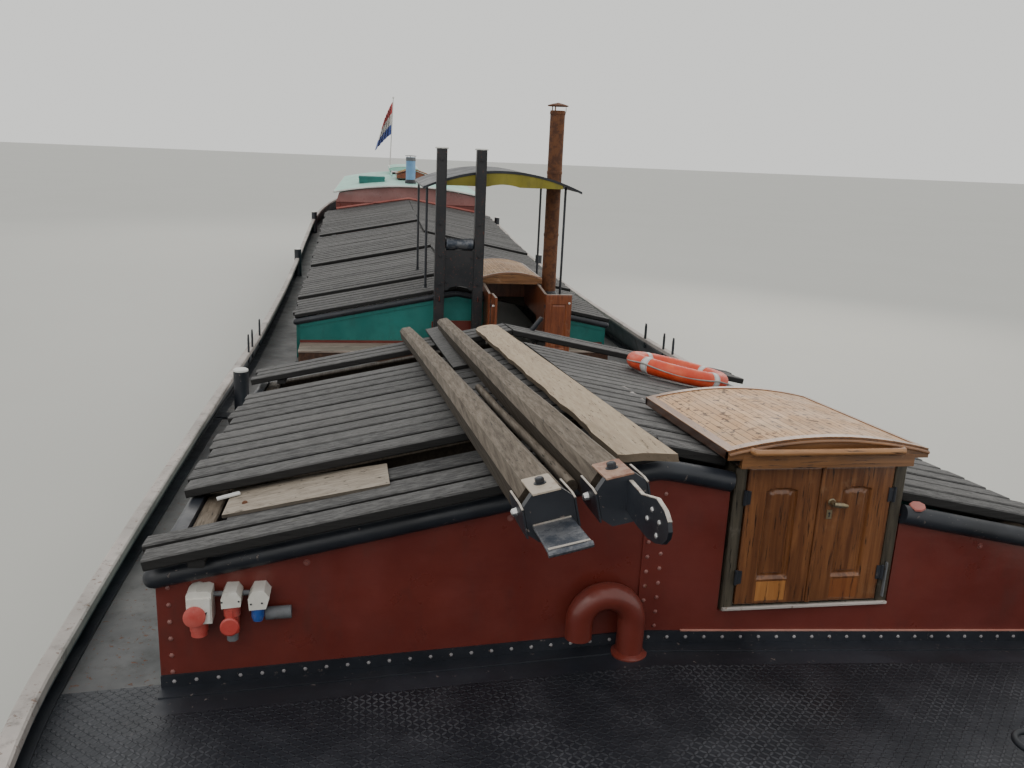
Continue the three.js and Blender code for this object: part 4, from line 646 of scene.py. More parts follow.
LEG_PLATE = bare_metal("worn pale plate", (0.44, 0.38, 0.31), (0.27, 0.17, 0.11), 0.5, 0.6, 0.2)
LEG_RUST = bare_metal("rusted brown plate", (0.27, 0.135, 0.09), (0.4, 0.26, 0.19), 0.55, 0.5, 0.15)
DARK_STEEL = bare_metal("smooth dark steel", (0.05, 0.06, 0.08), (0.15, 0.155, 0.17), 0.34, 0.5, 0.6)
BRIGHT = bare_metal("bright zinc", (0.62, 0.62, 0.62), (0.36, 0.35, 0.34), 0.3, 0.62, 0.9)
WORN_METAL = bare_metal("rubbed steel edge", (0.5, 0.46, 0.41), (0.26, 0.19, 0.15), 0.4, 0.6, 0.5)
RUSTY = bare_metal("heat-scorched steel", (0.085, 0.034, 0.018), (0.16, 0.062, 0.025), 0.7, 0.5, 0.2)
BRONZE = bare_metal("dull bronze", (0.42, 0.25, 0.09), (0.16, 0.12, 0.05), 0.36, 0.58, 0.9)
BUOY_RED = moulded("orange-red shell", (0.62, 0.055, 0.018), (0.72, 0.11, 0.04), 0.4)
BUOY_BAND = moulded("silvery band", (0.55, 0.55, 0.55), (0.68, 0.68, 0.68), 0.3)
ROPE = moulded("grey line", (0.3, 0.29, 0.27), (0.42, 0.41, 0.38), 0.7)
SOCKET_WHITE = moulded("white housing", (0.62, 0.60, 0.55), (0.72, 0.71, 0.67), 0.35)
SOCKET_RED = moulded("red housing", (0.42, 0.05, 0.04), (0.5, 0.11, 0.09), 0.35)
SOCKET_BLUE = moulded("blue housing", (0.02, 0.07, 0.3), (0.05, 0.14, 0.42), 0.35)
PANE = window_glass()
POST_BLACK = painted_steel("post black", (0.010, 0.011, 0.015), (0.028, 0.026, 0.028), 0.4, 0.6, 0.3,
                           chip_color=(0.1, 0.03, 0.02))
PALE_WOOD = varnished("pale worn wood", (0.2, 0.15, 0.12), (0.42, 0.35, 0.3), (0.06, 1, 1), coat=0.1,
                      worn=(0.5, 0.44, 0.38))
CABIN_BAND = painted_steel("glossy red band", (0.14, 0.028, 0.021), (0.22, 0.07, 0.06), 0.24, 0.75, 0.2,
                           coat=0.5)
CLOTH_RED = woven("red cloth", (0.5, 0.03, 0.035))
CLOTH_WHITE = woven("white cloth", (0.62, 0.6, 0.58))
CLOTH_BLUE = woven("blue cloth", (0.03, 0.07, 0.3))
# Rivet heads in a lighter red than the oxide plate: painted highlight on the rivets and bolt heads of the
# front bulkhead.
RIVET_RED_HIGHLIGHT = painted_steel("red rivet heads lightened as highlight", (0.17, 0.05, 0.042), (0.34, 0.17, 0.15), 0.25, 0.6, 0.2,
                          coat=0.3)
# Pale grey rivet heads for the foot angle: worn paint on the rivets, with painted highlight on their tips.
RIVET_PALE_WORN_LIT = painted_steel("rubbed rivet heads with painted highlight", (0.2, 0.19, 0.2), (0.42, 0.41, 0.42), 0.35, 0.6, 0.2)
WORN_EDGE = painted_steel("rubbed red edge", (0.42, 0.17, 0.13), (0.55, 0.3, 0.25), 0.4, 0.7, 0.3)
# The vent pipe has the bulkhead's own oxide red; this slightly lighter copy is painted light on the pipe.
VENT_RED_LIT = painted_steel("red pipe lightened as lit", (0.13, 0.02, 0.013), (0.19, 0.036, 0.024), 0.28, 0.74, 0.3,
                         coat=0.3)
PINK_CAP = painted_steel("pink-red disc", (0.42, 0.12, 0.10), (0.5, 0.2, 0.17), 0.4, 0.7, 0.3)
DARK_WOOD = varnished("dark stained wood", (0.04, 0.016, 0.009), (0.11, 0.046, 0.022), (1, 0.06, 1))
HOOD_EDGE = varnished("hood border", (0.2, 0.088, 0.036), (0.36, 0.18, 0.08), (1, 0.08, 1), coat=0.25,
                      worn=(0.42, 0.28, 0.16))
FASCIA = varnished("fascia board", (0.14, 0.058, 0.021), (0.3, 0.14, 0.055), (0.06, 1, 1),
                   worn=(0.42, 0.27, 0.16))
GRAB_BAR = varnished("grab bar", (0.23, 0.10, 0.035), (0.42, 0.21, 0.085), (0.06, 1, 1))
WORN_BRASS = bare_metal("tarnished brass", (0.33, 0.27, 0.17), (0.2, 0.19, 0.16), 0.35, 0.56, 0.85)


# Hatch boards
BOARD = 0.045
SEAT = RAIL_RADIUS + 0.012
EAVE = 2.01
JOINT = 0.034
FORE_STARBOARD = [(-10.4, -10.12, 0.14, 0.034), (-10.1, -9.46, 0.213, -0.09, 1.8), (-9.44, -7.11, 0.194, 0),
                  (-6.7, -6.2, 0.167, 0.036)]
FORE_PORT = [(-10.24, -7.11, 0.184, 0), (-6.7, -6.2, 0.167, 0.036)]
AFT_STARBOARD = [(-2.47, -1.38, 0.182, 0), (-1.35, 0.15, 0.188, 0.034), (0.18, 1.7, 0.19, 0),
                 (1.73, 3.25, 0.19, 0.04), (3.29, 5.18, 0.189, 0.004), (5.21, 6.72, 0.189, 0.044),
                 (6.75, 8.96, 0.184, 0.008)]
AFT_PORT = [(-2.47, -0.34, 0.194, 0), (-0.31, 1.58, 0.189, 0.036), (1.61, 3.5, 0.189, 0.004),
            (3.53, 5.99, 0.189, 0.044), (6.02, 8.96, 0.184, 0.006)]
ROOF_HOLES = [(0.3, 1.1, -10.4, -9.285), (0.337, 1.073, -3.0, -1.492), (1.158, 1.462, -1.952, -1.648)]
DOUBLED = 0.07


def roof_tilt(y):
    """The carriers' rise for a metre aft, which every board lies along."""
    return float(roof_z(0, y + 0.1) - roof_z(0, y - 0.1)) / 0.2


def board_pieces(side, x0, x1, y0, y1):
    """The parts of a board left by the holes in the roof's port half, a row (x0, x1, y0, y1) each."""
    for hole in ROOF_HOLES if side > 0 else []:
        if hole[1] > x0 and hole[0] < x1 and hole[2] < y1 and hole[3] > y0:
            left = [(x0, hole[0], y0, y1), (hole[1], x1, y0, y1),
                    (hole[0], hole[1], hole[3] + 0.004, y1), (hole[0], hole[1], y0, hole[2] - 0.004)]
            return [q for q in left if q[1] - q[0] > 0.05 and q[3] - q[2] > 0.05]
    return [(x0, x1, y0, y1)]


def lay_board(stock, side, x0, x1, y0, y1, lift, tone):
    """A bevelled plank carried down the slope of the roof along x, with a slight bow and a slight skew."""
    x = np.linspace(x0, x1, 7)
    t = np.linspace(-1, 1, 7)
    middle = (y0 + y1) / 2
    bow = CHANCE.uniform(-0.003, 0.0035)
    skew = CHANCE.uniform(-0.002, 0.002)
    y = np.full(7, middle) + skew * t
    z = roof_z(x, middle) + SEAT + lift + BOARD / 2 + np.abs(bow) * (t * t - 1) * np.sign(bow) * 0.8
    path = xyz(side * x, y, z)
    points, faces = swept(path, bevelled(y1 - y0, BOARD, 0.006), (0, -roof_tilt(middle), 1))
    stock.add(points, faces, 0, tone)


def board_group(stock, side, start, end, pitch, lift, reach=EAVE):
    """A run of boards from start to end, the raised runs over another layer or over battens."""
    count = round((end - start) / pitch)
    edges = np.linspace(start, end, count + 1)
    layers = [0.0, lift] if lift > DOUBLED else [lift]
    for layer in layers:
        for y0, y1 in zip(edges[:-1], edges[1:]):
            tone = float(np.clip(CHANCE.normal(0.45, 0.26), 0.0, 1.0))
            short = CHANCE.uniform(0, 0.022) if CHANCE.random() < 0.6 else CHANCE.uniform(0.02, 0.05)
            for part in board_pieces(side, 0.003, reach - short, y0, y1 - JOINT):
                lay_board(stock, side, *part, layer, tone)
    below = SEAT + (BOARD if lift > DOUBLED else 0)
    if lift > 0.02:
        y = np.linspace(start + 0.01, end - 0.02, 5)
        for x in (0.24, 1.78):
            z = roof_z(x, y) + (below + SEAT + lift) / 2
            path = xyz(side * x, y, z)
            points, faces = swept(path, bevelled(0.06, SEAT + lift - below - 0.001, 0.004))
            stock.add(points, faces, 0, 0.25)


def carriers(stock, start, end, crosses):
    """Under the boards: a ridge beam and side bearers along y, and cross beams, each a swept rectangle."""
    y = np.linspace(start, end, 12)
    ridge = xyz(np.zeros(12), y, roof_z(0.07, y) - 0.085)
    stock.bar(1, ridge, 0.13, 0.2, 0.01, tone=0.3)
    for side in (-1, 1):
        bearer = xyz(side * 1.86, y, roof_z(1.86, y) - 0.045)
        stock.bar(1, bearer, 0.09, 0.09, 0.008, tone=0.3)
        for at in crosses:
            x = np.linspace(0.08, 1.8, 4)
            beam = xyz(side * x, at, roof_z(x, at) - 0.065)
            stock.bar(1, beam, 0.09, 0.13, 0.008, tone=0.3)


def hatch(starboard, port, start, end, crosses):
    """Both halves of a hatch: runs of boards lying on carriers."""
    stock = Stock()
    for side, groups in ((-1, starboard), (1, port)):
        for group in groups:
            board_group(stock, side, *group)
    carriers(stock, start, end, crosses)
    return stock


def hatches():
    """The hatch ahead of the mast deck and the long one behind it."""
    fore = hatch(FORE_STARBOARD, FORE_PORT, -10.23, FORE_HATCH_END - 0.055, (-9.23, -7.15, -6.31))
    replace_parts(fore.piece("fore_boards", (BOARDS, TIMBER)), "fore_hatch")
    aft = hatch(AFT_STARBOARD, AFT_PORT, -1.42, 8.95, (-1.38, 1.5, 5.0))
    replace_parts(aft.piece("aft_boards", (BOARDS, TIMBER)), "aft_hatch", "aft_hatch_beside_trunk")


# Hull: faired lines, decks, bulwark and rubbing strake
STRAKE = [(-0.24, 0.0), (-0.2, 0.045), (-0.14, 0.06), (-0.08, 0.045)]
LEAN = 0.32
SHELL = 0.08
DECK_PLATE = 0.04


def hull_half(y):
    """Half sections at every y: a quarter-ellipse bilge, then straight up past the strake to the deck."""
    bottom, low, bilge_half, half, deck, _ = faired(HULL, y)
    low = np.maximum(low, 0)
    turn = np.linspace(0, np.pi / 2, 9)
    bilge = np.minimum(BILGE, 0.2 * (deck - low))
    x = bottom[:, None] + (bilge_half - bottom)[:, None] * np.sin(turn)
    z = low[:, None] + bilge[:, None] * (1 - np.cos(turn))
    slope = (half - bilge_half) / (deck - low - bilge)
    squeeze = np.minimum(1, deck - low)
    drops = np.array([d for d, _ in STRAKE] + [0.0])[None, :] * squeeze[:, None]
    proud = np.array([p for _, p in STRAKE] + [0.0])[None, :] * squeeze[:, None]
    return (np.concatenate([x, half[:, None] + slope[:, None] * drops + proud], 1),
            np.concatenate([z, deck[:, None] + drops], 1))


LAST_SECTION, TIP = 14.85, 14.862  # how far from the middle the last section and the very end lie


def bow_skin():
    """Full sections carried aft from the stem; the two top faces of each are the chequered foredeck."""
    s = np.linspace(0, 1, 64)
    y = -LAST_SECTION + (HOLD_FRONT + LAST_SECTION) * s ** 1.5
    x, z = hull_half(y)
    ridge = z[:, -1] + CAMBER * x[:, -1]
    ring_x = np.concatenate([x, np.zeros((64, 1)), -x[:, ::-1]], 1)
    ring_z = np.concatenate([z, ridge[:, None], z[:, ::-1]], 1)
    count = ring_x.shape[1]
    points = xyz(ring_x, y[:, None], ring_z)
    faces = ring_faces(64, count)
    deck = [x.shape[1] - 1, x.shape[1]]
    kinds = [1 if i < 63 * count and i % count in deck else 0 for i in range(len(faces))]
    stock = Stock()
    stock.add(points, faces, kinds)
    return stock


def side_skin(side):
    """The hollow part of the hull: the outer half section with an inner one behind it, carried aft."""
    y = np.linspace(HOLD_FRONT + HAIR, WELL_END - HAIR, 60)
    x, z = hull_half(y)
    x[:, 0] = faired(HULL, y)[0] + 0.08
    bottom, _, bilge_half, half, deck, _ = faired(HULL, y)
    inner_x = np.stack([half - 0.08, half - 0.08, bilge_half - 0.08, bottom + HAIR, bottom + HAIR], 1)
    inner_z = np.stack([deck, deck - 0.045, np.full(60, BILGE), np.full(60, 0.12), np.zeros(60)], 1)
    ring_x = np.concatenate([x, inner_x], 1) * side
    ring_z = np.concatenate([z, inner_z], 1)
    points = xyz(ring_x, y[:, None], ring_z)
    stock = Stock()
    stock.add(points, ring_faces(60, ring_x.shape[1]))
    return stock


def edge_path():
    """The deck edge from stem to stern: rows of x, y, outward x, outward y, deck and rail height."""
    ends = 0.25 * np.linspace(0, 1, 9) ** 1.8
    y = np.concatenate([-LAST_SECTION + ends, np.linspace(-14.5, 14.5, 140), LAST_SECTION - ends[::-1]])
    _, _, _, half, deck, rail = faired(HULL, y)
    x = np.concatenate([[HAIR], half, [HAIR]])
    y = np.concatenate([[-TIP], y, [TIP]])
    deck = np.concatenate([deck[:1], deck, deck[-1:]])
    rail = np.concatenate([rail[:1], rail, rail[-1:]])
    dx, dy = np.gradient(x), np.gradient(y)
    long = np.hypot(dx, dy)
    return x, y, dy / long, -dx / long, deck, rail


def along_edge(side, profile, start=-99, end=99):
    """A profile carried round the deck edge; its rows are (inward, inward for a metre of bulwark,
    height above the deck, share of the bulwark's height)."""
    x, y, out_x, out_y, deck, rail = edge_path()
    keep = (y >= start) & (y <= end)
    x, y, out_x, out_y, deck, rail = (v[keep] for v in (x, y, out_x, out_y, deck, rail))
    inward, lean, lift, share = np.asarray(profile, float).T
    high = (rail - deck)[:, None]
    u = -(inward[None, :] + lean[None, :] * high)
    px = np.maximum(x[:, None] + out_x[:, None] * u, 0.0035)
    px[0] = np.where(x[0] < 0.001, HAIR, px[0])
    px[-1] = np.where(x[-1] < 0.001, HAIR, px[-1])
    py = y[:, None] + out_y[:, None] * u
    pz = deck[:, None] + lift[None, :] + share[None, :] * high
    return xyz(side * px, py, pz), ring_faces(len(x), len(profile))


def station(y):
    """Half width at the deck, height of the deck and height of the rail."""
    return (float(v[0]) for v in faired(HULL, y)[3:])


def bulwark_pieces():
    """The leaning bulwark plate, its pale cap, the black angle along its foot and the rivets along both."""
    plate = [(0, 0, 0.003, 0), (0, LEAN, -0.045, 1), (0.022, LEAN, -0.045, 1), (0.022, 0, 0.003, 0)]
    cap = [(-0.028, LEAN, -0.044, 1), (-0.028, LEAN, -0.006, 1), (-0.02, LEAN, 0.0, 1),
           (0.034, LEAN, 0.0, 1), (0.042, LEAN, -0.007, 1), (0.042, LEAN, -0.044, 1)]
    angle = [(0.024, 0.02, 0.004, 0), (0.03, 0.10, 0.075, 0), (0.038, 0.10, 0.075, 0),
             (0.034, 0.02, 0.013, 0), (0.095, 0.02, 0.013, 0), (0.095, 0.02, 0.004, 0)]
    lip = [(0.022, LEAN, -0.075, 1), (0.022, LEAN, -0.047, 1), (0.032, LEAN, -0.047, 1),
           (0.030, LEAN, -0.075, 1)]
    for side, name in SIDES:
        stock = Stock()
        points, faces = along_edge(side, plate)
        stock.add(points, faces, [0 if i % 4 == 0 else 1 for i in range(len(faces))])
        stock.add(*along_edge(side, cap), 2)
        stock.add(*along_edge(side, angle, -14.3, 14.2), 3)
        stock.add(*along_edge(side, lip, -14.3, 14.2), 1)
        x, y, out_x, out_y, deck, rail = edge_path()
        path = np.concatenate([[0], np.cumsum(np.hypot(np.diff(x), np.diff(y)))])
        at = np.arange(1.0, path[-1] - 1.0, 0.105)
        px, py, ox, oy, dz, rz = (np.interp(at, path, v) for v in (x, y, out_x, out_y, deck, rail))
        high = rz - dz
        foot = 0.034 + 0.1 * high * 0.5
        spots = xyz(side * (px - ox * foot), py - oy * foot, dz + 0.045)
        head = 0.03 + LEAN * (high - 0.06)
        tops = xyz(side * (px - ox * head), py - oy * head, rz - 0.06)
        for spot, top, nx, ny in zip(spots, tops, ox, oy):
            rivet_heads(stock, [spot], (-side * nx, -ny, 0.15), 0.011, 3)
            if spot[1] < HOLD_FRONT + 6:
                rivet_heads(stock, [top], (-side * nx, -ny, 0.3), 0.010, 1)
        for y0, inset in ((-5.6, 0.262), (4.2, 0.125), (9.6, 0.125)):
            half, floor, rail_top = station(y0)
            at = (side * (half - inset), y0, floor + 0.009)
            foot = [(at[0] - side * 0.07, y0, floor + 0.016), (side * (half - 0.03), y0, floor + 0.016)]
            stock.bar(4, foot, 0.145, 0.014, 0.003)
            tall = rail_top + 0.18 - floor - 0.009
            stock.turn(4, at, UP, [(0, 0.072), (0.012, 0.065), (tall - 0.022, 0.065)], 20)
            stock.turn(5, at, UP, [(tall - 0.021, 0.066), (tall - 0.008, 0.064), (tall, 0.052),
                                   (tall + 0.004, 0.02)], 20)
        for y0, wide in ((-3.95, 0.04), (-3.64, 0.04), (-2.96, 0.055)):
            half, floor, rail_top = station(y0)
            x0 = side * (half - LEAN * (rail_top - floor) - 0.03)
            path = [(x0, y0, rail_top + lift) for lift in (-0.12, 0.14, 0.19)]
            stock.bar(4, path, wide, 0.018, 0.004, PORTWARD, [1, 1, 0.7])
        piece = stock.piece("bulwark_plates_" + name, (HULL_BLACK, GREY_INSIDE, PALE_CAP, BLACK, BLACK,
                                                       WHITE))
        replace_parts(piece, "bulwark_" + name)


def side_decks():
    """Side deck strips: thin plates carried along y beside the coamings, then beside the cabin."""
    for side, name in SIDES:
        stock = Stock()
        for start, end, inner in ((HOLD_FRONT + HAIR, CABIN_FRONT - HAIR,
                                   lambda y: np.full(len(y), HOLD_HALF + HAIR)),
                                  (CABIN_FRONT, WELL_END - HAIR,
                                   lambda y: np.interp(y, [CABIN_FRONT, CABIN_END], [1.7505, 1.5405]))):
            y = np.linspace(start, end, 40)
            _, _, _, half, deck, _ = faired(HULL, y)
            near, outer = inner(y), half - SHELL - HAIR
            under = deck - DECK_PLATE
            stock.loft(0, carried(y, [(near, under), (outer, under), (outer, deck), (near, deck)], side))
        piece = stock.piece("side_deck_plates_" + name, (GREY_DECK,))
        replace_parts(piece, "side_deck_" + name)


def coamings():
    """Coaming plate under a half-round rail, carried along y, with the carling plate below the deck."""
    turn = np.linspace(-np.pi / 2, np.pi / 2, 9)
    for side, name in SIDES:
        stock = Stock()
        inner = HOLD_HALF - COAMING_THICK
        y = np.linspace(HOLD_FRONT + HAIR, CABIN_FRONT - HAIR, 50)
        deck = faired(HULL, y)[4]
        low = deck - 0.25
        stock.loft(0, carried(y, [(inner, low), (HOLD_HALF, low), (HOLD_HALF, deck), (inner, deck)], side))
        for start, end in ((HOLD_FRONT + HAIR, FORE_HATCH_END), (MID_WALL + 0.021, CABIN_FRONT - HAIR)):
            y = np.linspace(start, end, 40)
            top, _ = lines_at(HATCH, y)
            base = faired(HULL, y)[4] - 0.12
            wall = [(inner, base), (HOLD_HALF, base), (HOLD_HALF, top - 0.02), (inner, top - 0.02)]
            stock.loft(2, carried(y, wall, side))
            rail = [(HOLD_HALF + 0.036 * np.cos(a), top + 0.036 * np.sin(a)) for a in turn]
            stock.loft(1, carried(y, rail + [(inner, top + 0.034), (inner, top - 0.03)], side))
            feet = np.arange(start + 0.06, end - 0.05, 0.11)
            floor = faired(HULL, feet)[4]
            spots = xyz(side * (HOLD_HALF + 0.001), feet, floor + 0.05)
            rivet_heads(stock, spots, (side, 0, 0), 0.010, 2)
        piece = stock.piece("coaming_plates_" + name, (HULL_BLACK, BLACK, TEAL))
        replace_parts(piece, "coaming_" + name)


def hull():
    """The bow with its two pairs of bollards on plates, the sides, bulwarks, side decks and coamings."""
    bow = bow_skin()
    for side in (1, -1):
        at = np.array([side * 1.18, -12.75])
        deck = foredeck_z(1.18, -12.75)
        path = [(at[0], -13.05, deck - 0.02), (at[0], -13.04, deck + 0.012), (at[0], -12.46, deck + 0.012),
                (at[0], -12.45, deck - 0.02)]
        bow.bar(2, path, 0.2, 0.02, 0.004, UP)
        for step in (-0.17, 0.17):
            foot = (at[0], at[1] + step, deck - 0.01)
            bow.turn(2, foot, UP, [(0, 0.075), (0.04, 0.07), (0.30, 0.07), (0.31, 0.085), (0.345, 0.085),
                                   (0.355, 0.07), (0.405, 0.068), (0.425, 0.05), (0.43, 0.01)], 24)
    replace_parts(bow.piece("bow_plates", (HULL_BLACK, CHEQUER, BLACK)), "bow")
    for side, name in SIDES:
        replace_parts(side_skin(side).piece("side_plates_" + name, (HULL_BLACK,)), "side_" + name)
    bulwark_pieces()
    side_decks()
    coamings()


hatches()
hull()


# Shapes shared by the joinery and the plating
def eased(value, low, high):
    """0 below low, 1 above high, 3t^2 - 2t^3 between."""
    t = np.clip((value - low) / (high - low), 0, 1)
    return t * t * (3 - 2 * t)


def relief(across, up, face, depth, back):
    """A board whose front is face + depth(across, up) on a grid, closed round its edge to a flat back."""
    a, u = np.meshgrid(across, up, indexing="ij")
    front = xyz(a, face + depth(a, u), u).reshape(-1, 3)
    rear = xyz(a, np.full_like(a, back), u).reshape(-1, 3)
    n, m = a.shape
    grid = np.arange(n * m).reshape(n, m)
    quads = np.stack([grid[:-1, :-1], grid[1:, :-1], grid[1:, 1:], grid[:-1, 1:]], 2).reshape(-1, 4)
    rim = np.concatenate([grid[:-1, 0], grid[-1, :-1], grid[:0:-1, -1], grid[0, :0:-1]])
    after = np.roll(rim, -1)
    edge = np.stack([rim, rim + n * m, after + n * m, after], 1)
    faces = np.concatenate([quads, quads[:, ::-1] + n * m, edge])
    return np.concatenate([front, rear]), [tuple(f) for f in faces.tolist()]


def arch_distance(x, z, middle, half, low, high, rise):
    """How far a point lies inside a panel with straight sides and a gently arched top; negative outside."""
    top = high + rise * (1 - ((x - middle) / half) ** 2)
    return np.minimum(np.minimum(half - np.abs(x - middle), z - low), top - z)


def bolt_head(stock, at, axis, size=0.012, kind=0):
    """A six-sided head with a chamfer over a round washer."""
    stock.turn(kind, at, axis, [(-0.002, size * 1.7), (size * 0.2, size * 1.65)], 16)
    stock.turn(kind, at, axis, [(size * 0.2, size), (size * 0.9, size), (size * 1.1, size * 0.8)], 6)


# Front bulkhead
FACE = -10.29
SEAM = -0.045
LAP = 0.007
FRAME_LEFT, FRAME_RIGHT, FRAME_FOOT = 0.308, 1.092, 2.584
FRONT_RAIL = 0.042


def foot_z(x):
    """Height of the bulkhead's foot: the foredeck and the bead of the weld on it."""
    return foredeck_z(x, FACE) + 0.003


def bulkhead_outline(left, right):
    """Corners of the bulkhead plate between two distances from the centre line, round the doorway."""
    corners = [(left, foot_z(left))]
    corners += [(0.0, foot_z(0.0))] if left < 0 < right else []
    corners += [(right, foot_z(right)), (right, roof_z(right, FACE)),
                (FRAME_RIGHT, roof_z(FRAME_RIGHT, FACE)), (FRAME_RIGHT, FRAME_FOOT),
                (FRAME_LEFT, FRAME_FOOT), (FRAME_LEFT, roof_z(FRAME_LEFT, FACE))]
    corners += [(0.0, roof_z(0, FACE))] if left < 0 else []
    return [(float(x), float(z)) for x, z in corners + [(left, roof_z(left, FACE))]]


def rail_along(stock, y, x0, x1, radius, kind, ends):
    """A round rail along the peaked top: a circle carried along x, its height eased over the ridge."""
    x = np.linspace(x0, x1, 60)
    z = roof_z(np.sqrt(x * x + 0.0012), y) + 0.004
    sizes = np.ones(60)
    if ends[0]:
        x = np.concatenate([x0 - radius * np.array([0.98, 0.86, 0.6, 0.3]), x])
        z = np.concatenate([np.full(4, z[0]), z])
        sizes = np.concatenate([[0.2, 0.52, 0.8, 0.95], sizes])
    if ends[1]:
        x = np.concatenate([x, x1 + radius * np.array([0.3, 0.6, 0.86, 0.98])])
        z = np.concatenate([z, np.full(4, z[-1])])
        sizes = np.concatenate([sizes, [0.95, 0.8, 0.52, 0.2]])
    path = xyz(x, y, z)
    stock.rod(kind, path, radius, 20, UP, sizes)


def front_bulkhead():
    """The peaked plate in two lapping halves, with rivets, a foot angle, rails carried along its top, and a
    vent pipe whose bend is half a circle above the foot, its open end a black face as painted shade for the
    pipe's dark inside."""
    stock = Stock()
    stock.plate(0, bulkhead_outline(-HOLD_HALF, HOLD_HALF), FACE, HOLD_FRONT - HAIR)
    stock.plate(0, bulkhead_outline(SEAM, HOLD_HALF), FACE - LAP, FACE - 0.0002)
    # Rivet and bolt heads of kind 1 take the lighter rivet red, a painted highlight.
    for end, proud in ((-1.906, 0), (1.906, LAP)):
        rivet_heads(stock, xyz(end, FACE - proud, np.arange(2.42, 2.80, 0.072)), AHEAD, 0.011, 1)
    for column, low in ((-0.022, 2.515), (0.034, 2.527)):
        rivet_heads(stock, xyz(column, FACE - LAP, np.arange(low, 3.17, 0.066)), AHEAD, 0.010, 1)
    for x in (-1.39, -0.6, 1.5):
        bolt_head(stock, (x, FACE - (LAP if x > SEAM else 0), roof_z(x, FACE) - 0.075), AHEAD, 0.008, 1)
    side = 1.95
    x = np.concatenate([np.linspace(-side, 0, 14), np.linspace(0, side, 14)[1:]])
    near = FACE - np.where(x > SEAM, 0.0072, 0.0002)
    angle = [(0, 0.0), (0, 0.062), (0.009, 0.062), (0.010, 0.013), (0.075, 0.012), (0.077, 0.0)]
    margin = [(0.078, 0.0), (0.078, 0.007), (0.20, 0.006), (0.205, 0.0)]
    pale = [(HAIR, 0.0625), (HAIR, 0.067), (0.010, 0.0665), (0.010, 0.0625)]
    for kind, shape, some in ((2, angle, x < 9), (2, margin, x < 9), (3, pale, x > 0.03)):
        edge = x[some]
        stock.loft(kind, np.stack([xyz(edge, near[some] - d, foot_z(edge) + h) for d, h in shape], 1))
    # Rivets along the foot angle, kind 4, in pale grey: worn paint with painted highlight.
    at = np.arange(-1.9, 1.93, 0.083)
    spots = xyz(at, FACE - np.where(at > SEAM, 0.0165, 0.0095), foot_z(at) + 0.036)
    rivet_heads(stock, spots, AHEAD, 0.009, 4)
    rail_along(stock, FACE - 0.008, -side, 0.306, FRONT_RAIL, 5, (True, False))
    rail_along(stock, FACE - 0.008, 1.094, side, FRONT_RAIL, 5, (False, True))
    cap = (1.16, FACE - 0.012, roof_z(1.16, FACE) + 0.044)
    stock.turn(6, cap, (-0.15, -0.2, 1), [(0, 0.03), (0.004, 0.034), (0.012, 0.034), (0.016, 0.029)], 8)
    turn = np.linspace(0, np.pi, 26)
    bend, pipe, left, right, y, z = 0.11, 0.056, -0.31, -0.09, -10.362, 2.6
    arc = xyz((left + right) / 2 + bend * np.cos(turn), y, z + bend * np.sin(turn))
    deck = foredeck_z(right, y) + 0.013
    path = np.concatenate([[(right, y, deck), (right, y, deck + 0.05)], arc, [(left, y, z - 0.07)]])
    # The pipe is kind 7, the lighter copy of the oxide red: painted light.
    points, faces = swept(path, round_profile(pipe, 20), AHEAD)
    # The pipe's open end is a black face: painted shade for the dark inside of the pipe.
    stock.add(points, faces, [7] * (len(faces) - 1) + [5])
    stock.turn(7, (right, y, deck - 0.01), UP, [(0, 0.075), (0.008, 0.075), (0.02, pipe)], 20)
    paints = (OXIDE, RIVET_RED_HIGHLIGHT, BLACK, WORN_EDGE, RIVET_PALE_WORN_LIT, BLACK, PINK_CAP, VENT_RED_LIT)
    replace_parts(stock.piece("front_bulkhead_plating", paints), "front_bulkhead")


# Forward companionway: frame, leaves and sliding hood
SHEER_FALL = 0.075


def fore_frame():
    """Jambs, sill, side walls and slide rails: rectangles with cut corners carried along each member."""
    stock = Stock()
    left, right, end = 0.345, 1.055, -8.6
    for x in (left, right):
        stock.bar(0, [(x, HOLD_FRONT, 2.587), (x, HOLD_FRONT, 3.23)], 0.12, 0.05, 0.005, PORTWARD)
        run = [(x, -10.30, 3.216), (x, end, 3.216 - 1.7 * SHEER_FALL)]
        stock.bar(1, run, 0.024, 0.036, 0.003)
        y = np.array([-10.2, -9.9, -9.6, -9.3])
        low = roof_z(x, y) - 0.06
        high = 3.2 - (y + 10.31) * SHEER_FALL
        near, far = x - 0.012, x + 0.012
        stock.loft(1, carried(y, [(near, low), (far, low), (far, high), (near, high)]))
    stock.bar(0, [(0.371, -10.265, 2.597), (1.029, -10.265, 2.597)], 0.084, 0.02, 0.004)
    stock.bar(2, [(0.322, -10.314, 2.598), (1.078, -10.314, 2.598)], 0.014, 0.014, 0.003)
    stock.bar(4, [(1.052, -10.3125, 2.63), (1.052, -10.3125, 2.79)], 0.024, 0.006, 0.002, PORTWARD)
    base = roof_z(0.332, -9.3)
    stock.box(1, 0.332, 1.068, base - 0.26, 3.15, -9.324, -9.3)
    z = roof_z(right, end) + SEAT + BOARD
    stock.turn(3, (right, end - 0.015, z), UP, [(0, 0.016), (0.01, 0.011), (3.07 - z, 0.011)], 12)
    paints = (GREY_FRAME, DARK_WOOD, PALE_CAP, BLACK, GREY_INSIDE)
    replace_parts(stock.piece("fore_doorway_frame", paints), "fore_companion")


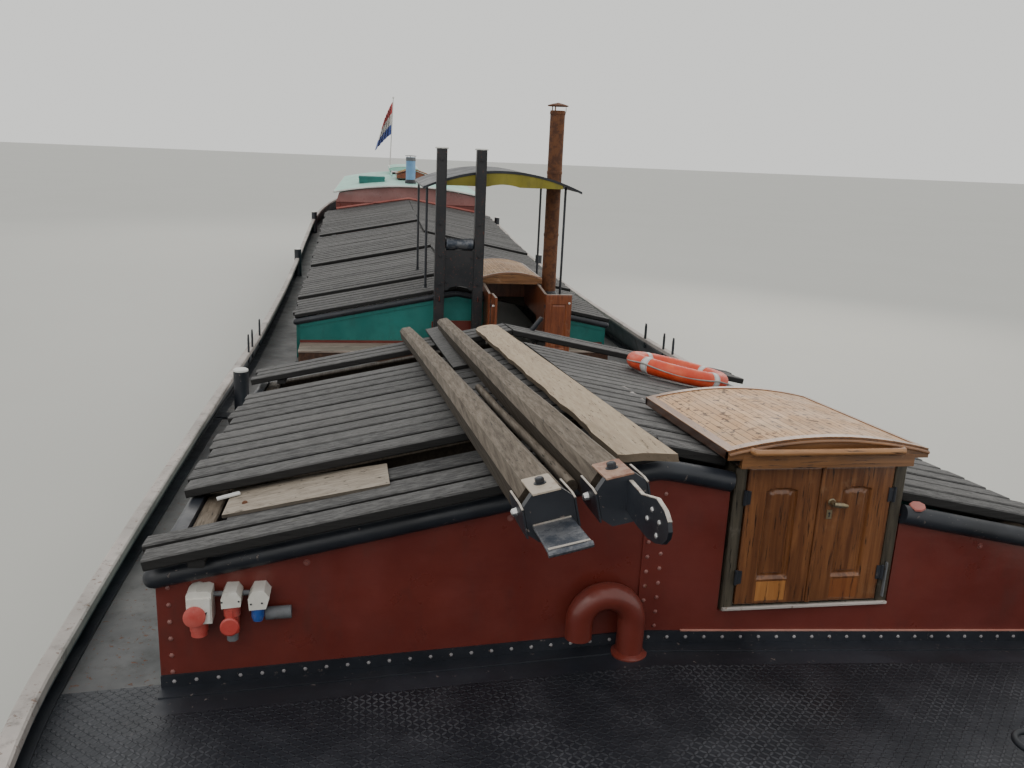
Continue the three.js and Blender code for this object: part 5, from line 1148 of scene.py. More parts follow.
def door_leaf(stock, left, right, low, high, face, thick, middle, half, arch, insert):
    """A leaf with one sunk, fielded panel under an arch: the depth is a step of the distance inside it."""
    def depth(x, z):
        """How far a point of the leaf lies behind its face."""
        inside = arch_distance(x, z, middle, half, low + 0.118, high - 0.105, arch)
        rim = eased(np.minimum(np.minimum(x - left, right - x), np.minimum(z - low, high - z)), 0, 0.005)
        block = arch_distance(x, z, middle, half, low + 0.012, low + 0.106, 0)
        return (0.004 * (1 - rim) + 0.014 * eased(inside, -0.001, 0.005)
                - 0.008 * eased(inside, 0.016, 0.026) + 0.003 * eased(block, 0, 0.003))
    across = np.linspace(left, right, 60)
    up = np.linspace(low, high, 104)
    stock.add(*relief(across, up, face, depth, face + thick), 0)
    patch = [(middle - half + 0.002, low + 0.015), (middle + half - 0.002, low + 0.015),
             (middle + half - 0.002, low + 0.104), (middle - half + 0.002, low + 0.104)]
    stock.plate(insert, patch, face + 0.0006, face + 0.004)


def fore_doors():
    """Two leaves with pale and brown inserts, hinges of turned pins and flat flaps, a lock and its lever."""
    low, high, face = 2.615, 3.233, -10.312
    starboard = Stock()
    door_leaf(starboard, 0.376, 0.697, low, high, face, 0.035, 0.53, 0.068, 0.012, 3)
    port = Stock()
    door_leaf(port, 0.703, 1.024, low, high, face, 0.035, 0.866, 0.066, 0.012, 4)
    port.bar(0, [(0.7025, face - 0.003, low + 0.004), (0.7025, face - 0.003, high - 0.004)], 0.012, 0.018,
             0.004, PORTWARD)
    for stock, hinge, toward in ((starboard, 0.366, 1), (port, 1.034, -1)):
        for z in (low + 0.13, high - 0.13):
            pin = (hinge, face - 0.005, z - 0.034)
            stock.turn(1, pin, UP, [(0, 0.004), (0.002, 0.0068), (0.066, 0.0068), (0.068, 0.004)], 10)
            flap = sorted((hinge + toward * 0.004, hinge + toward * 0.026))
            stock.plate(1, [(flap[0], z - 0.032), (flap[1], z - 0.028), (flap[1], z + 0.028),
                            (flap[0], z + 0.032)], face - 0.005, face + 0.001)
    lock = (0.755, face, 3.074)
    port.turn(2, lock, AHEAD, [(-0.001, 0.017), (0.004, 0.017), (0.006, 0.013), (0.03, 0.011)], 16)
    lever = [(0.75, face - 0.034, 3.076), (0.765, face - 0.036, 3.075), (0.79, face - 0.034, 3.071),
             (0.812, face - 0.03, 3.066)]
    port.sweep(2, lever, round_profile(0.0095, 10, 1.25), UP, [0.85, 1, 0.95, 0.6])
    port.box(2, 0.738, 0.762, 3.0, 3.04, face - 0.003, face + 0.001)
    port.turn(1, (0.75, face - 0.0025, 3.025), AHEAD, [(0, 0.005), (0.002, 0.0045)], 8)
    port.box(1, 0.7478, 0.7522, 3.008, 3.024, face - 0.0045, face - 0.001)
    for stock, node in ((starboard, "fore_door_starboard"), (port, "fore_door_port")):
        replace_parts(stock.piece(node + "_leaf", (VARNISH, BLACK, WORN_BRASS, INSERT_PALE, INSERT_BROWN),
                                node), node)


def hood(name, node, left, right, top, crown, skirt, wall, front, end, fall, drop, inset, paints, bar=None):
    """An arched hood: z = top + crown (1 - ((x - middle) / half)^2) less a steady fall aft."""
    middle, half = (left + right) / 2, (right - left) / 2
    arch = lambda x: top + crown * (1 - ((x - middle) / half) ** 2)
    outer = np.linspace(left, right, 33)
    inner = np.linspace(right - wall, left + wall, 33)
    x = np.concatenate([[left], outer, [right, right - wall], inner, [left + wall]])
    z = np.concatenate([[top - skirt], arch(outer), [top - skirt, top - skirt], arch(inner) - wall,
                        [top - skirt]])
    y = np.linspace(front + 0.002, end, 16)
    lower = (y[:, None] - front) * fall
    stock = Stock()
    count = len(x)
    faces = ring_faces(16, count)
    on_top = [i < 15 * count and 1 <= i % count < 33 for i in range(len(faces))]
    stock.add(xyz(x, y[:, None], z - lower), faces, [0 if seen else 1 for seen in on_top])
    for low_x, high_x in ((left - 0.001, left + 0.035), (right - 0.035, right + 0.001)):
        xs = np.linspace(low_x, high_x, 5)
        z_top = arch(np.clip(xs, left, right))
        pz = np.concatenate([z_top + 0.0045, z_top[::-1] + HAIR])
        stock.loft(2, xyz(np.concatenate([xs, xs[::-1]]), y[:, None], pz - lower))
    for start, stop in ((front + 0.002, front + 0.045), (end - 0.04, end)):
        xs = np.linspace(left + 0.03, right - 0.03, 31)
        rows = [xyz(xs, at, arch(xs) + lift - (at - front) * fall)
                for at, lift in ((start, HAIR), (start, 0.0048), (stop, 0.0048), (stop, HAIR))]
        stock.loft(2, np.stack(rows, 1))
    board = [(left, top - skirt)] + [(a, arch(a) - 0.003) for a in outer] + [(right, top - skirt)]
    stock.plate(3, board, front - 0.003, front + wall)
    stock.plate(1, [(a, b - (end - front) * fall) for a, b in board], end - wall, end + 0.001)
    low = [(left + inset, top - drop), (right - inset, top - drop),
           (right - inset - 0.002, top - skirt + 0.012), (left + inset + 0.002, top - skirt + 0.012)]
    stock.plate(3, low, front - 0.006, front + wall * 0.8)
    bead = np.linspace(left + 0.002, right - 0.002, 33)
    stock.rod(3, xyz(bead, front - 0.006, arch(bead) - 0.012), 0.007, 8)
    if bar:
        x0, x1, y1, z1 = bar
        bend = [(0, front + 0.012), (0, y1 + 0.012), (0.006, y1 + 0.003), (0.02, y1)]
        path = [(x0 + d, b, z1) for d, b in bend] + [(a, y1, z1)
                                                     for a in np.linspace(x0 + 0.05, x1 - 0.05, 9)]
        stock.rod(4, path + [(x1 - d, b, z1) for d, b in bend[::-1]], 0.014, 14)
    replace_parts(stock.piece(name, paints, node), node)


front_bulkhead()
fore_frame()
fore_doors()
hood("fore_hood_shell", "fore_hood", 0.25, 1.122, 3.32, 0.055, 0.034, 0.024, -10.366, -9.31, SHEER_FALL,
     0.07, 0.06, (HOOD, DARK_WOOD, HOOD_EDGE, FASCIA, GRAB_BAR), (0.35, 0.995, -10.398, 3.326))
hood("mid_hood_shell", "mid_hood", 0.313, 1.097, 2.82, 0.07, 0.06, 0.02, -2.4, -1.0, 0.0, 0.072, 0.062,
     (HOOD, RED_BROWN, HOOD_EDGE, FASCIA))


# Gear lying on the fore hatch
ROLL = math.atan(0.404 / HOLD_HALF)
ROOF_UP = (-math.sin(ROLL), 0, math.cos(ROLL))
LYING = SEAT + BOARD + 0.04
LEG_FINISHES = (TIMBER, LEG_PLATE, LEG_RUST, BLACK, BRIGHT, WORN_METAL, DARK_STEEL)
PALE, RUSTED, DARK, GLEAM, EDGE, TONGUE = 1, 2, 3, 4, 5, 6  # places in that list


def on_roof(x, y, lift=0.0):
    """A point above the bare carriers, which climbs on ahead of the bulkhead."""
    return np.array([x, y, roof_z(x, y) + max(0.0, HOLD_FRONT - y) * 0.085 + LYING + lift])


def own_axes(near, far, up=ROOF_UP):
    """Across, along and upward unit vectors of a member that runs from near to far."""
    along = (far - near) / np.linalg.norm(far - near)
    across = np.cross(along, up)
    across /= np.linalg.norm(across)
    return np.stack([across, along, np.cross(across, along)])


def placed(stock, origin, axes):
    """A function that takes in a solid made in a member's own axes, turned into the barge's."""
    def put(kind, solid):
        """Takes in one solid."""
        points, faces = solid
        stock.add(origin + np.asarray(points, float) @ axes, faces, kind)
    return put


def timber_leg(stock, near, far, bow):
    """An eight-sided timber: its section carried along a slightly bowed line and shrunk steadily aft."""
    t = np.append(np.linspace(0, 1, 30), 1.003)
    path = near + (far - near) * t[:, None]
    path[:, 0] += bow * np.sin(np.pi * t)
    sizes = 1 - 0.26 * t + 0.008 * np.sin(23 * t + 9 * near[0])
    sizes[-1] *= 0.93
    stock.sweep(0, path, bevelled(0.145, 0.145, 0.03) + (0, 0.0725), ROOF_UP, sizes)


def leg_shoe(put, plate):
    """The steel end of a leg: an eight-sided cap, a bolted top plate and two side plates standing proud."""
    put(DARK, swept([(0, 0, 0), (0, 0.01, 0), (0, 0.03, 0)], bevelled(0.155, 0.15, 0.03) + (0, 0.074)))
    top = [(-0.044, -0.002), (0.044, -0.002), (0.045, 0.158), (0.04, 0.163), (-0.041, 0.163),
           (-0.045, 0.158)]
    put(plate, slab(top, 0.147, 0.1525, "z"))
    put(DARK, turned((0, 0.085, 0.151), UP, [(0, 0.021), (0.004, 0.02)], 16))
    put(DARK, turned((0, 0.085, 0.155), UP, [(0, 0.0155), (0.014, 0.0155), (0.017, 0.012)], 6))
    cheek = [(-0.002, 0.02), (-0.002, 0.112), (0.03, 0.119), (0.165, 0.121), (0.19, 0.1), (0.19, 0.03)]
    bolt = [(0, 0.014), (0.004, 0.013), (0.016, 0.011), (0.02, 0.006)]
    for side in (-1, 1):
        x = side * 0.082
        put(DARK, slab(cheek, x - 0.003, x + 0.003, "x"))
        put(EDGE, swept([(x, -0.003, 0.113), (x, 0.03, 0.1205), (x, 0.165, 0.1225)],
                        bevelled(0.007, 0.004, 0.001)))
        put(GLEAM, turned((x + side * 0.002, 0.1, 0.075), (side, 0, 0), bolt, 10))


def legs():
    """The two sheer legs: one with a steel tongue ahead of its shoe, one with an upright fin."""
    near, far = on_roof(-0.612, -11.01, 0.012), on_roof(-0.79, -6.2)
    one = Stock()
    timber_leg(one, near, far, 0.012)
    put = placed(one, near - 0.02 * (far - near), own_axes(near, far))
    leg_shoe(put, PALE)
    path = [(0, 0.06, 0.051), (0, -0.02, 0.051), (0, -0.08, 0.05), (0, -0.15, 0.047), (0, -0.2, 0.044)]
    put(TONGUE, swept(path, bevelled(0.128, 0.013, 0.003), UP, [0.97, 0.97, 0.98, 1, 1.02]))
    roll = [(-0.066, -0.206, 0.042), (0, -0.208, 0.042), (0.066, -0.206, 0.042)]
    put(TONGUE, swept(roll, round_profile(0.0095, 10)))
    tip = [(-0.061, -0.196), (0.063, -0.199), (0.062, -0.188), (-0.06, -0.183)]
    put(EDGE, slab(tip, 0.0495, 0.0522, "z"))
    root = [(-0.06, -0.008), (0.06, -0.008), (0.06, -0.002), (-0.06, -0.002)]
    put(EDGE, slab(root, 0.057, 0.0605, "z"))
    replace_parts(one.piece("sheer_leg_with_tongue", LEG_FINISHES), "sheer_leg_one")

    near, far = on_roof(-0.388, -11.01, 0.012), on_roof(-0.475, -6.1)
    two = Stock()
    timber_leg(two, near, far, -0.01)
    end = near - 0.02 * (far - near)
    leg_shoe(placed(two, end, own_axes(near, far)), RUSTED)
    put = placed(two, end, np.eye(3))
    fin = [(0.06, 0.04), (-0.09, 0.036), (-0.2, 0.042), (-0.27, 0.058), (-0.325, 0.08), (-0.355, 0.108),
           (-0.362, 0.132), (-0.351, 0.155), (-0.318, 0.172), (-0.25, 0.179), (-0.122, 0.14), (0.06, 0.134)]
    put(DARK, slab(fin, -0.006, 0.006, "x"))
    edge = [(-0.002, 0.136), (-0.122, 0.1405), (-0.25, 0.1795), (-0.318, 0.1725), (-0.352, 0.155)]
    put(EDGE, swept([(0, a, b + 0.0012) for a, b in edge], bevelled(0.0125, 0.004, 0.001)))
    for a, b in ((-0.224, 0.138), (-0.19, 0.097), (-0.289, 0.127), (-0.273, 0.082)):
        put(GLEAM, turned((-0.005, a, b), (-1, 0, 0), [(0, 0.009), (0.004, 0.0075), (0.006, 0.004)], 8))
    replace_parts(two.piece("sheer_leg_with_fin", LEG_FINISHES), "sheer_leg_two")


def loose_timber():
    """A round pole and a short board between the legs."""
    stock = Stock()
    t = np.linspace(0, 1, 14)
    near, far = on_roof(-0.499, -10.84, 0.074), on_roof(-0.532, -8.7, 0.012)
    path = near + (far - near) * t[:, None]
    path[:, 0] += 0.004 * np.sin(7 * t)
    stock.rod(0, path, 0.021, 12, UP, 1 + 0.05 * np.sin(17 * t))
    board = [on_roof(-0.5, -7.77, -0.036), on_roof(-0.53, -6.9, -0.009), on_roof(-0.56, -6.03, 0.018)]
    stock.sweep(1, board, bevelled(0.15, 0.02, 0.003) + (0, 0.01), ROOF_UP, tone=0.8)
    stock.piece("pole_and_short_board", (TIMBER, BOARDS))


def gangplank():
    """A long plank seen as a flat outline with a wavy edge, a slanting near end and a rounded far one, and a
    black disc near the far end as painted shade in a hole.
    """
    near, far = on_roof(-0.143, -10.64, 0.002), on_roof(-0.18, -6.4, 0.002)
    length = float(np.linalg.norm(far - near))
    left = np.linspace(length - 0.13, 0.15, 34)
    wave = 0.004 * np.sin(9 * left) + 0.003 * np.sin(31 * left + 1) - 0.010 * eased(left, 0.7, 0.3)
    round_end = [(0.078 * math.cos(a), length - 0.12 + 0.12 * math.sin(a))
                 for a in np.linspace(0.05, math.pi - 0.05, 12)]
    outline = [(0.088, 0.0)] + [(0.0865, float(s)) for s in np.linspace(0.4, length - 0.14, 6)] + round_end
    outline += [(-0.086 + float(w), float(s)) for s, w in zip(left, wave)] + [(-0.07, 0.125), (-0.01, 0.1),
                                                                              (0.03, 0.062)]
    stock = Stock()
    put = placed(stock, near, own_axes(near, far))
    put(0, slab(outline, 0.0, 0.03, "z"))
    # A black disc on the top face: painted shade where a hole goes through the plank.
    hole = turned((-0.01, length - 0.12, 0.028), UP, [(0, 0.017), (0.0025, 0.016)], 14)
    put(1, hole)
    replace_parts(stock.piece("gangplank_board", (PLANK, BLACK)), "gangplank")


def cover_board():
    """A thin board let into the gap between the hatch boards: four edges over the roof's slope."""
    corners = [(-1.785, -9.735), (-1.43, -9.759), (-1.057, -9.79), (-1.06, -9.45), (-1.4, -9.378),
               (-1.785, -9.3)]
    base = np.array([(x, y, roof_z(x, y) + 0.003) for x, y in corners])
    stock = Stock()
    stock.add(np.concatenate([base, base + (0, 0, 0.015)]), ring_faces(2, 6), 0)
    at = on_roof(-1.7, -9.62, 0.018 - LYING)
    stock.turn(1, at, ROOF_UP, [(-0.001, 0.014), (0.003, 0.013), (0.009, 0.008)], 12)
    clip = [on_roof(-1.84, -9.50, 0.03 - LYING), on_roof(-1.8, -9.49, 0.03 - LYING),
            on_roof(-1.74, -9.47, 0.028 - LYING)]
    stock.bar(2, clip, 0.03, 0.012, 0.003, ROOF_UP)
    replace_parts(stock.piece("let_in_board", (COVER_PLY, RUSTY, WHITE)), "cover_sheet")


# Lifebuoy
def torus(centre, axes, ring, tube, start=0.0, stop=2 * math.pi, steps=72, sides=20, flat=1.0):
    """A tube bent round a circle: centre + (ring + tube cos v) (cos u, sin u) + tube sin v."""
    whole = abs(stop - start - 2 * math.pi) < 1e-6
    u = np.linspace(start, stop, steps, endpoint=not whole)
    v = np.arange(sides) * 2 * np.pi / sides
    out = ring + tube * np.cos(v)[None, :]
    local = xyz(np.cos(u)[:, None] * out, np.sin(u)[:, None] * out, flat * tube * np.sin(v))
    points = np.asarray(centre) + local.reshape(-1, 3) @ axes
    faces = ring_faces(steps, sides, closed_ends=not whole)
    if whole:
        last = (steps - 1) * sides
        faces += [(last + j, last + (j + 1) % sides, (j + 1) % sides, j) for j in range(sides)]
    return points, faces


def lifebuoy():
    """A torus lying on the roof under four bands, and a line round it that sags by 12 mm |sin 2u|."""
    tilt = Matrix.Rotation(ROLL, 3, "Y") @ Matrix.Rotation(-0.085, 3, "X")
    axes = np.array(tilt.transposed())
    centre = np.array([1.06, -7.56, roof_z(1.06, -7.56) + SEAT + BOARD + 0.058 / math.cos(ROLL) + 0.014])
    ring, cord = 0.312, 0.376
    stock = Stock()
    stock.add(*torus(centre, axes, ring, 0.057), 0)
    for turn in np.arange(4) * math.pi / 2 + 0.5:
        stock.add(*torus(centre, axes, ring, 0.0582, turn - 0.085, turn + 0.085, 8), 1)
        stock.add(*torus(centre, axes, ring, 0.0588, turn - 0.07, turn - 0.06, 3), 2)
        stock.add(*torus(centre, axes, ring, 0.0588, turn + 0.06, turn + 0.07, 3), 2)
    u = np.linspace(0, 2 * np.pi, 121)
    sag = 0.012 * np.abs(np.sin(2 * (u - 0.5)))
    line = xyz((cord - sag) * np.cos(u), (cord - sag) * np.sin(u), 0.012 - 1.6 * sag)
    stock.rod(2, centre + line @ axes, 0.005, 8, axes[2])
    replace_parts(stock.piece("lifebuoy_ring", (BUOY_RED, BUOY_BAND, ROPE), smooth=True), "lifebuoy")


# The dog that locks the last run of boards
def hatch_dog():
    """A short round bar bent at three points and thinner at its tip."""
    stock = Stock()
    x, y = 0.21, -6.33
    low = roof_z(x, y) + 0.08
    path = [(x, y, low), (x + 0.02, y, low + 0.05), (x + 0.095, y, low + 0.15)]
    stock.rod(0, path, 0.021, 12, AFT, [1, 1, 0.85])
    stock.piece("hatch_dog", (BLACK,))


# Shore power sockets on the front bulkhead
def sockets():
    """Three inlets with hinged lids: outlines given a thickness, and turned collars and plugs under them."""
    front, wall = -10.3685, FACE - 0.001
    stock = Stock()
    box_top = [(-1.828, 2.662), (-1.736, 2.665), (-1.736, 2.792), (-1.752, 2.8), (-1.775, 2.798),
               (-1.79, 2.803), (-1.815, 2.796), (-1.828, 2.782)]
    stock.plate(0, box_top, front, wall)
    stock.plate(0, [(-1.824, 2.668), (-1.741, 2.671), (-1.741, 2.772), (-1.824, 2.77)], front - 0.008,
                front + 0.001)
    stock.turn(1, (-1.798, front - 0.006, 2.703), (0.1, -1, 0.12),
               [(0, 0.03), (0.004, 0.04), (0.014, 0.041), (0.017, 0.036)], 24)
    stock.turn(1, (-1.79, front + 0.034, 2.67), (0, -0.1, -1),
               [(0, 0.034), (0.045, 0.034), (0.047, 0.03), (0.066, 0.03)], 18)
    stock.plate(4, [(-1.763, 2.715), (-1.752, 2.718), (-1.758, 2.7)], front - 0.0095, front - 0.006)
    cover = [(-1.70, 2.73), (-1.63, 2.736), (-1.628, 2.772), (-1.644, 2.797), (-1.688, 2.797),
             (-1.701, 2.77)]
    stock.plate(0, cover, front - 0.012, wall)
    stock.turn(1, (-1.667, front + 0.03, 2.735), (0, -0.08, -1),
               [(0, 0.031), (0.05, 0.031), (0.055, 0.027), (0.12, 0.026)], 18)
    stock.turn(1, (-1.672, front - 0.002, 2.655), (0, -1, 0.1),
               [(0, 0.028), (0.004, 0.035), (0.016, 0.036), (0.02, 0.03)], 20)
    stock.plate(1, [(-1.685, 2.67), (-1.659, 2.67), (-1.662, 2.715), (-1.682, 2.715)], front - 0.008,
                front + 0.02)
    stock.turn(3, (-1.667, front + 0.02, 2.615), (0, -0.08, -1),
               [(0, 0.022), (0.03, 0.021), (0.034, 0.016)], 14)
    cover = [(-1.6, 2.718), (-1.538, 2.722), (-1.534, 2.735), (-1.524, 2.768), (-1.543, 2.797),
             (-1.586, 2.796), (-1.603, 2.765)]
    stock.plate(0, cover, front - 0.01, wall)
    stock.turn(2, (-1.571, front + 0.02, 2.72), (0, -0.08, -1),
               [(0, 0.024), (0.042, 0.024), (0.05, 0.02), (0.056, 0.019)], 18)
    for x, z in ((-1.697, 2.757), (-1.636, 2.759), (-1.592, 2.745), (-1.552, 2.748)):
        stock.turn(4, (x, front - 0.0115, z), AHEAD, [(0, 0.004), (0.002, 0.0035)], 8)
    tube = [(-1.545, front + 0.045, 2.674), (-1.5, front + 0.045, 2.676), (-1.449, front + 0.045, 2.678)]
    stock.rod(3, tube, 0.025, 18)
    for x0, x1 in ((-1.738, -1.699), (-1.631, -1.601)):
        stock.rod(3, [(x0, front + 0.055, 2.76), (x1, front + 0.055, 2.76)], 0.01, 10)
    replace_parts(stock.piece("socket_housings", (SOCKET_WHITE, SOCKET_RED, SOCKET_BLUE, GREY_INSIDE,
                                                BLACK)), "shore_sockets")


legs()
loose_timber()
gangplank()
cover_board()
lifebuoy()
hatch_dog()
sockets()


# Mid deck, bulkhead and companionway
TRUNK_LEFT, TRUNK_RIGHT = 0.345, 1.065


def mast_deck_z(x, y):
    """Height of the cambered cross deck: the side deck's height and a straight slope up to the middle."""
    return np.interp(y, HULL[:, 0], HULL[:, 5]) + 0.06 * (1 - abs(x) / HOLD_HALF)


def mast_deck():
    """The cambered cross deck, the wall that closes the fore hatch, and a low bench before the bulkhead."""
    stock = Stock()
    half = HOLD_HALF - COAMING_THICK - HAIR
    y = np.linspace(FORE_HATCH_END - 0.2, MID_WALL + 0.2, 24)
    corners = [(-half, -0.04), (half, -0.04), (half, 0.0), (half / 2, 0.0), (0.0, 0.0), (-half / 2, 0.0),
               (-half, 0.0)]
    ring = np.stack([xyz(x, y, mast_deck_z(x if d == 0 else half, y) + d) for x, d in corners], 1)
    stock.loft(0, ring)
    base = mast_deck_z(half, FORE_HATCH_END) - 0.15
    edge, ridge = (roof_z(x, FORE_HATCH_END) - 0.01 for x in (half, 0.0))
    wall = [(-half, base), (half, base), (half, edge), (0.0, ridge), (-half, edge)]
    stock.plate(1, wall, FORE_HATCH_END - 0.04, FORE_HATCH_END)
    for x in np.arange(-1.8, 1.85, 0.12):
        spot = (x, FORE_HATCH_END + 0.001, mast_deck_z(x, FORE_HATCH_END) + 0.035)
        rivet_heads(stock, [spot], AFT, 0.01, 1)
    side, back = 1.905, MID_WALL - 0.001
    low = mast_deck_z(side, MID_WALL) - 0.01
    for x0, x1, front in ((-side, -0.345, -2.94), (1.072, side, -2.86)):
        stock.box(2, x0 + 0.004, x1 - 0.004, front + 0.012, back, low, 1.967, "z")
        joint = (front + MID_WALL) / 2
        for y0, y1 in ((front, joint - 0.003), (joint + 0.003, back)):
            seat = ((x0, 1.9775), ((x0 + x1) / 2, 1.9785), (x1, 1.9775))
            stock.bar(3, [(x, (y0 + y1) / 2, z) for x, z in seat], y1 - y0, 0.024, 0.004, tone=0.9)
    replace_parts(stock.piece("mid_deck_plates", (GREY_DECK, TEAL, DARK_WOOD, PALE_WOOD)), "mast_deck")


def mid_bulkhead():
    """Peaked plate round the trunk's opening, a board along its top, a red foot and a round rail."""
    stock = Stock()
    inner = HOLD_HALF - COAMING_THICK - HAIR
    left, right = TRUNK_LEFT - 0.002, TRUNK_RIGHT + 0.002
    front, back = MID_WALL - 0.0002, MID_WALL + 0.04
    for x in ((-inner, 0.0, left), (right, inner)):
        foot = [(a, mast_deck_z(a, MID_WALL) + 0.003) for a in x]
        top = [(a, roof_z(a, MID_WALL)) for a in reversed(x)]
        stock.plate(0, foot + top, MID_WALL, back)
        band = [(a, roof_z(a, MID_WALL) - 0.075) for a in x] + [(a, b - 0.012) for a, b in top]
        stock.plate(0, band, MID_WALL - 0.012, front)
        stock.box(1, x[0], x[-1], 1.992, 2.022, MID_WALL - 0.009, front)
        rivets = np.arange(x[0] + 0.06, x[-1] - 0.04, 0.105)
        rivet_heads(stock, xyz(rivets, MID_WALL - 0.001, 2.052), AHEAD, 0.009, 0)
    foot = [(x, mast_deck_z(x, MID_WALL) + 0.003) for x in (left, right)]
    stock.plate(0, foot + [(right, 1.919), (left, 1.919)], MID_WALL, back)
    stock.plate(1, [(-0.3, 1.9), (0.29, 1.9), (0.29, 2.27), (0.2, 2.285), (-0.2, 2.285), (-0.3, 2.27)],
                MID_WALL - 0.014, MID_WALL - 0.0003)
    rail_along(stock, MID_WALL - 0.008, -HOLD_HALF, 0.341, 0.037, 2, (True, False))
    rail_along(stock, MID_WALL - 0.008, 1.069, HOLD_HALF, 0.037, 2, (False, True))
    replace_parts(stock.piece("mid_bulkhead_plating", (TEAL, OXIDE, BLACK)), "mid_bulkhead")


def mid_trunk():
    """Two side boards with sloping tops under pale caps, a back, a step, a tread and a short cover."""
    stock = Stock()
    front, end, top, front_top, behind = -2.9, -1.5, 2.74, 2.70, MID_WALL + 0.06
    left, right = TRUNK_LEFT + 0.001, TRUNK_RIGHT - 0.001
    deck = mast_deck_z(TRUNK_LEFT, front) + 0.014
    roof = min(roof_z(TRUNK_RIGHT, end), roof_z(TRUNK_RIGHT, MID_WALL)) - 0.06
    shape = [(front, deck), (MID_WALL - 0.001, deck), (MID_WALL - 0.001, 1.925), (behind, 1.925),
             (behind, roof), (end, roof), (end, top), (behind, top), (front, front_top)]
    for x0, x1 in ((TRUNK_LEFT, 0.37), (1.04, TRUNK_RIGHT)):
        stock.plate(0, shape, x0, x1, "x")
        cap = [(front - 0.002, front_top), (behind, top), (end, top)]
        stock.bar(1, [((x0 + x1) / 2, y, z + 0.0035) for y, z in cap], 0.03, 0.008, 0.002)
    stock.box(0, left, right, roof_z(TRUNK_LEFT, end) - 0.12, top - 0.001, end - 0.025, end - HAIR)
    stock.box(0, left, right, deck, 1.924, front + HAIR, front + 0.03)
    tread = [(x, (front + MID_WALL) / 2, 1.911) for x in (0.3462, 1.0638)]
    stock.bar(2, tread, MID_WALL - front - 0.002, 0.028, 0.004)
    stock.box(0, left, right, -1.98, end - 0.026, top - 0.025, top - HAIR, "z")
    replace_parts(stock.piece("mid_trunk_joinery", (RED_BROWN, PALE_WOOD, DARK_WOOD)), "mid_trunk")


def mid_leaf(name, node, hinge, open_back):
    """A leaf made flat along x with a fielded panel on its seen side, then swung about its hinge pin:
    folded back against the bulkhead's line, or turned a quarter to stand along the trunk's side."""
    low, high, wide, thick, shift = 1.933, 2.707, 0.321, 0.03, 0.01
    middle = wide / 2

    def depth(a, u):
        """How far a point of the leaf lies behind its face: a sunk panel with a raised field."""
        inside = arch_distance(a, u, middle, 0.092, low + 0.105, high - 0.12, 0.0)
        rim = eased(np.minimum(np.minimum(a, wide - a), np.minimum(u - low, high - u)), 0, 0.004)
        return 0.003 * (1 - rim) + 0.009 * eased(inside, -0.001, 0.003) - 0.004 * eased(inside, 0.014, 0.02)

    face = -0.035 if open_back else 0.005
    angle = math.radians(0 if open_back else -90)
    c, s = math.cos(angle), math.sin(angle)
    swing = np.array([[c, s, 0], [-s, c, 0], [0, 0, 1]])
    pin = np.array([hinge, -2.91, 0.0])

    def swung(points):
        """Points of the flat leaf, turned about the pin."""
        return (np.asarray(points, float) + (shift, 0, 0)) @ swing + pin

    stock = Stock()
    points, faces = relief(np.linspace(0, wide, 44), np.linspace(low, high, 90), face, depth, face + thick)
    stock.add(swung(points), faces, 0)
    top = [(x, face + thick / 2, high + 0.001) for x in (0.0, wide)]
    stock.bar(1, swung(top), thick * 0.92, 0.006, 0.002)
    barrel = [(0, 0.003), (0.002, 0.005), (0.042, 0.005), (0.044, 0.003)]
    seen = face + (thick if open_back else 0)
    for z in (low + 0.15, high - 0.15):
        stock.turn(2, pin + (0, 0, z - 0.022), UP, barrel, 12)
        stock.bar(2, swung([(-0.004, seen, z), (0.034, seen, z)]), 0.04, 0.004, 0.001,
                  np.array(AFT) @ swing)
    knob = [(-0.002, 0.007), (0.008, 0.006), (0.012, 0.013), (0.02, 0.014), (0.026, 0.008)]
    stock.turn(3, swung([(wide - 0.035, face, high - 0.1)])[0], np.array(AHEAD) @ swing, knob, 14)
    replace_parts(stock.piece(name, (RED_BROWN, PALE_WOOD, BLACK, WHITE), node), node)


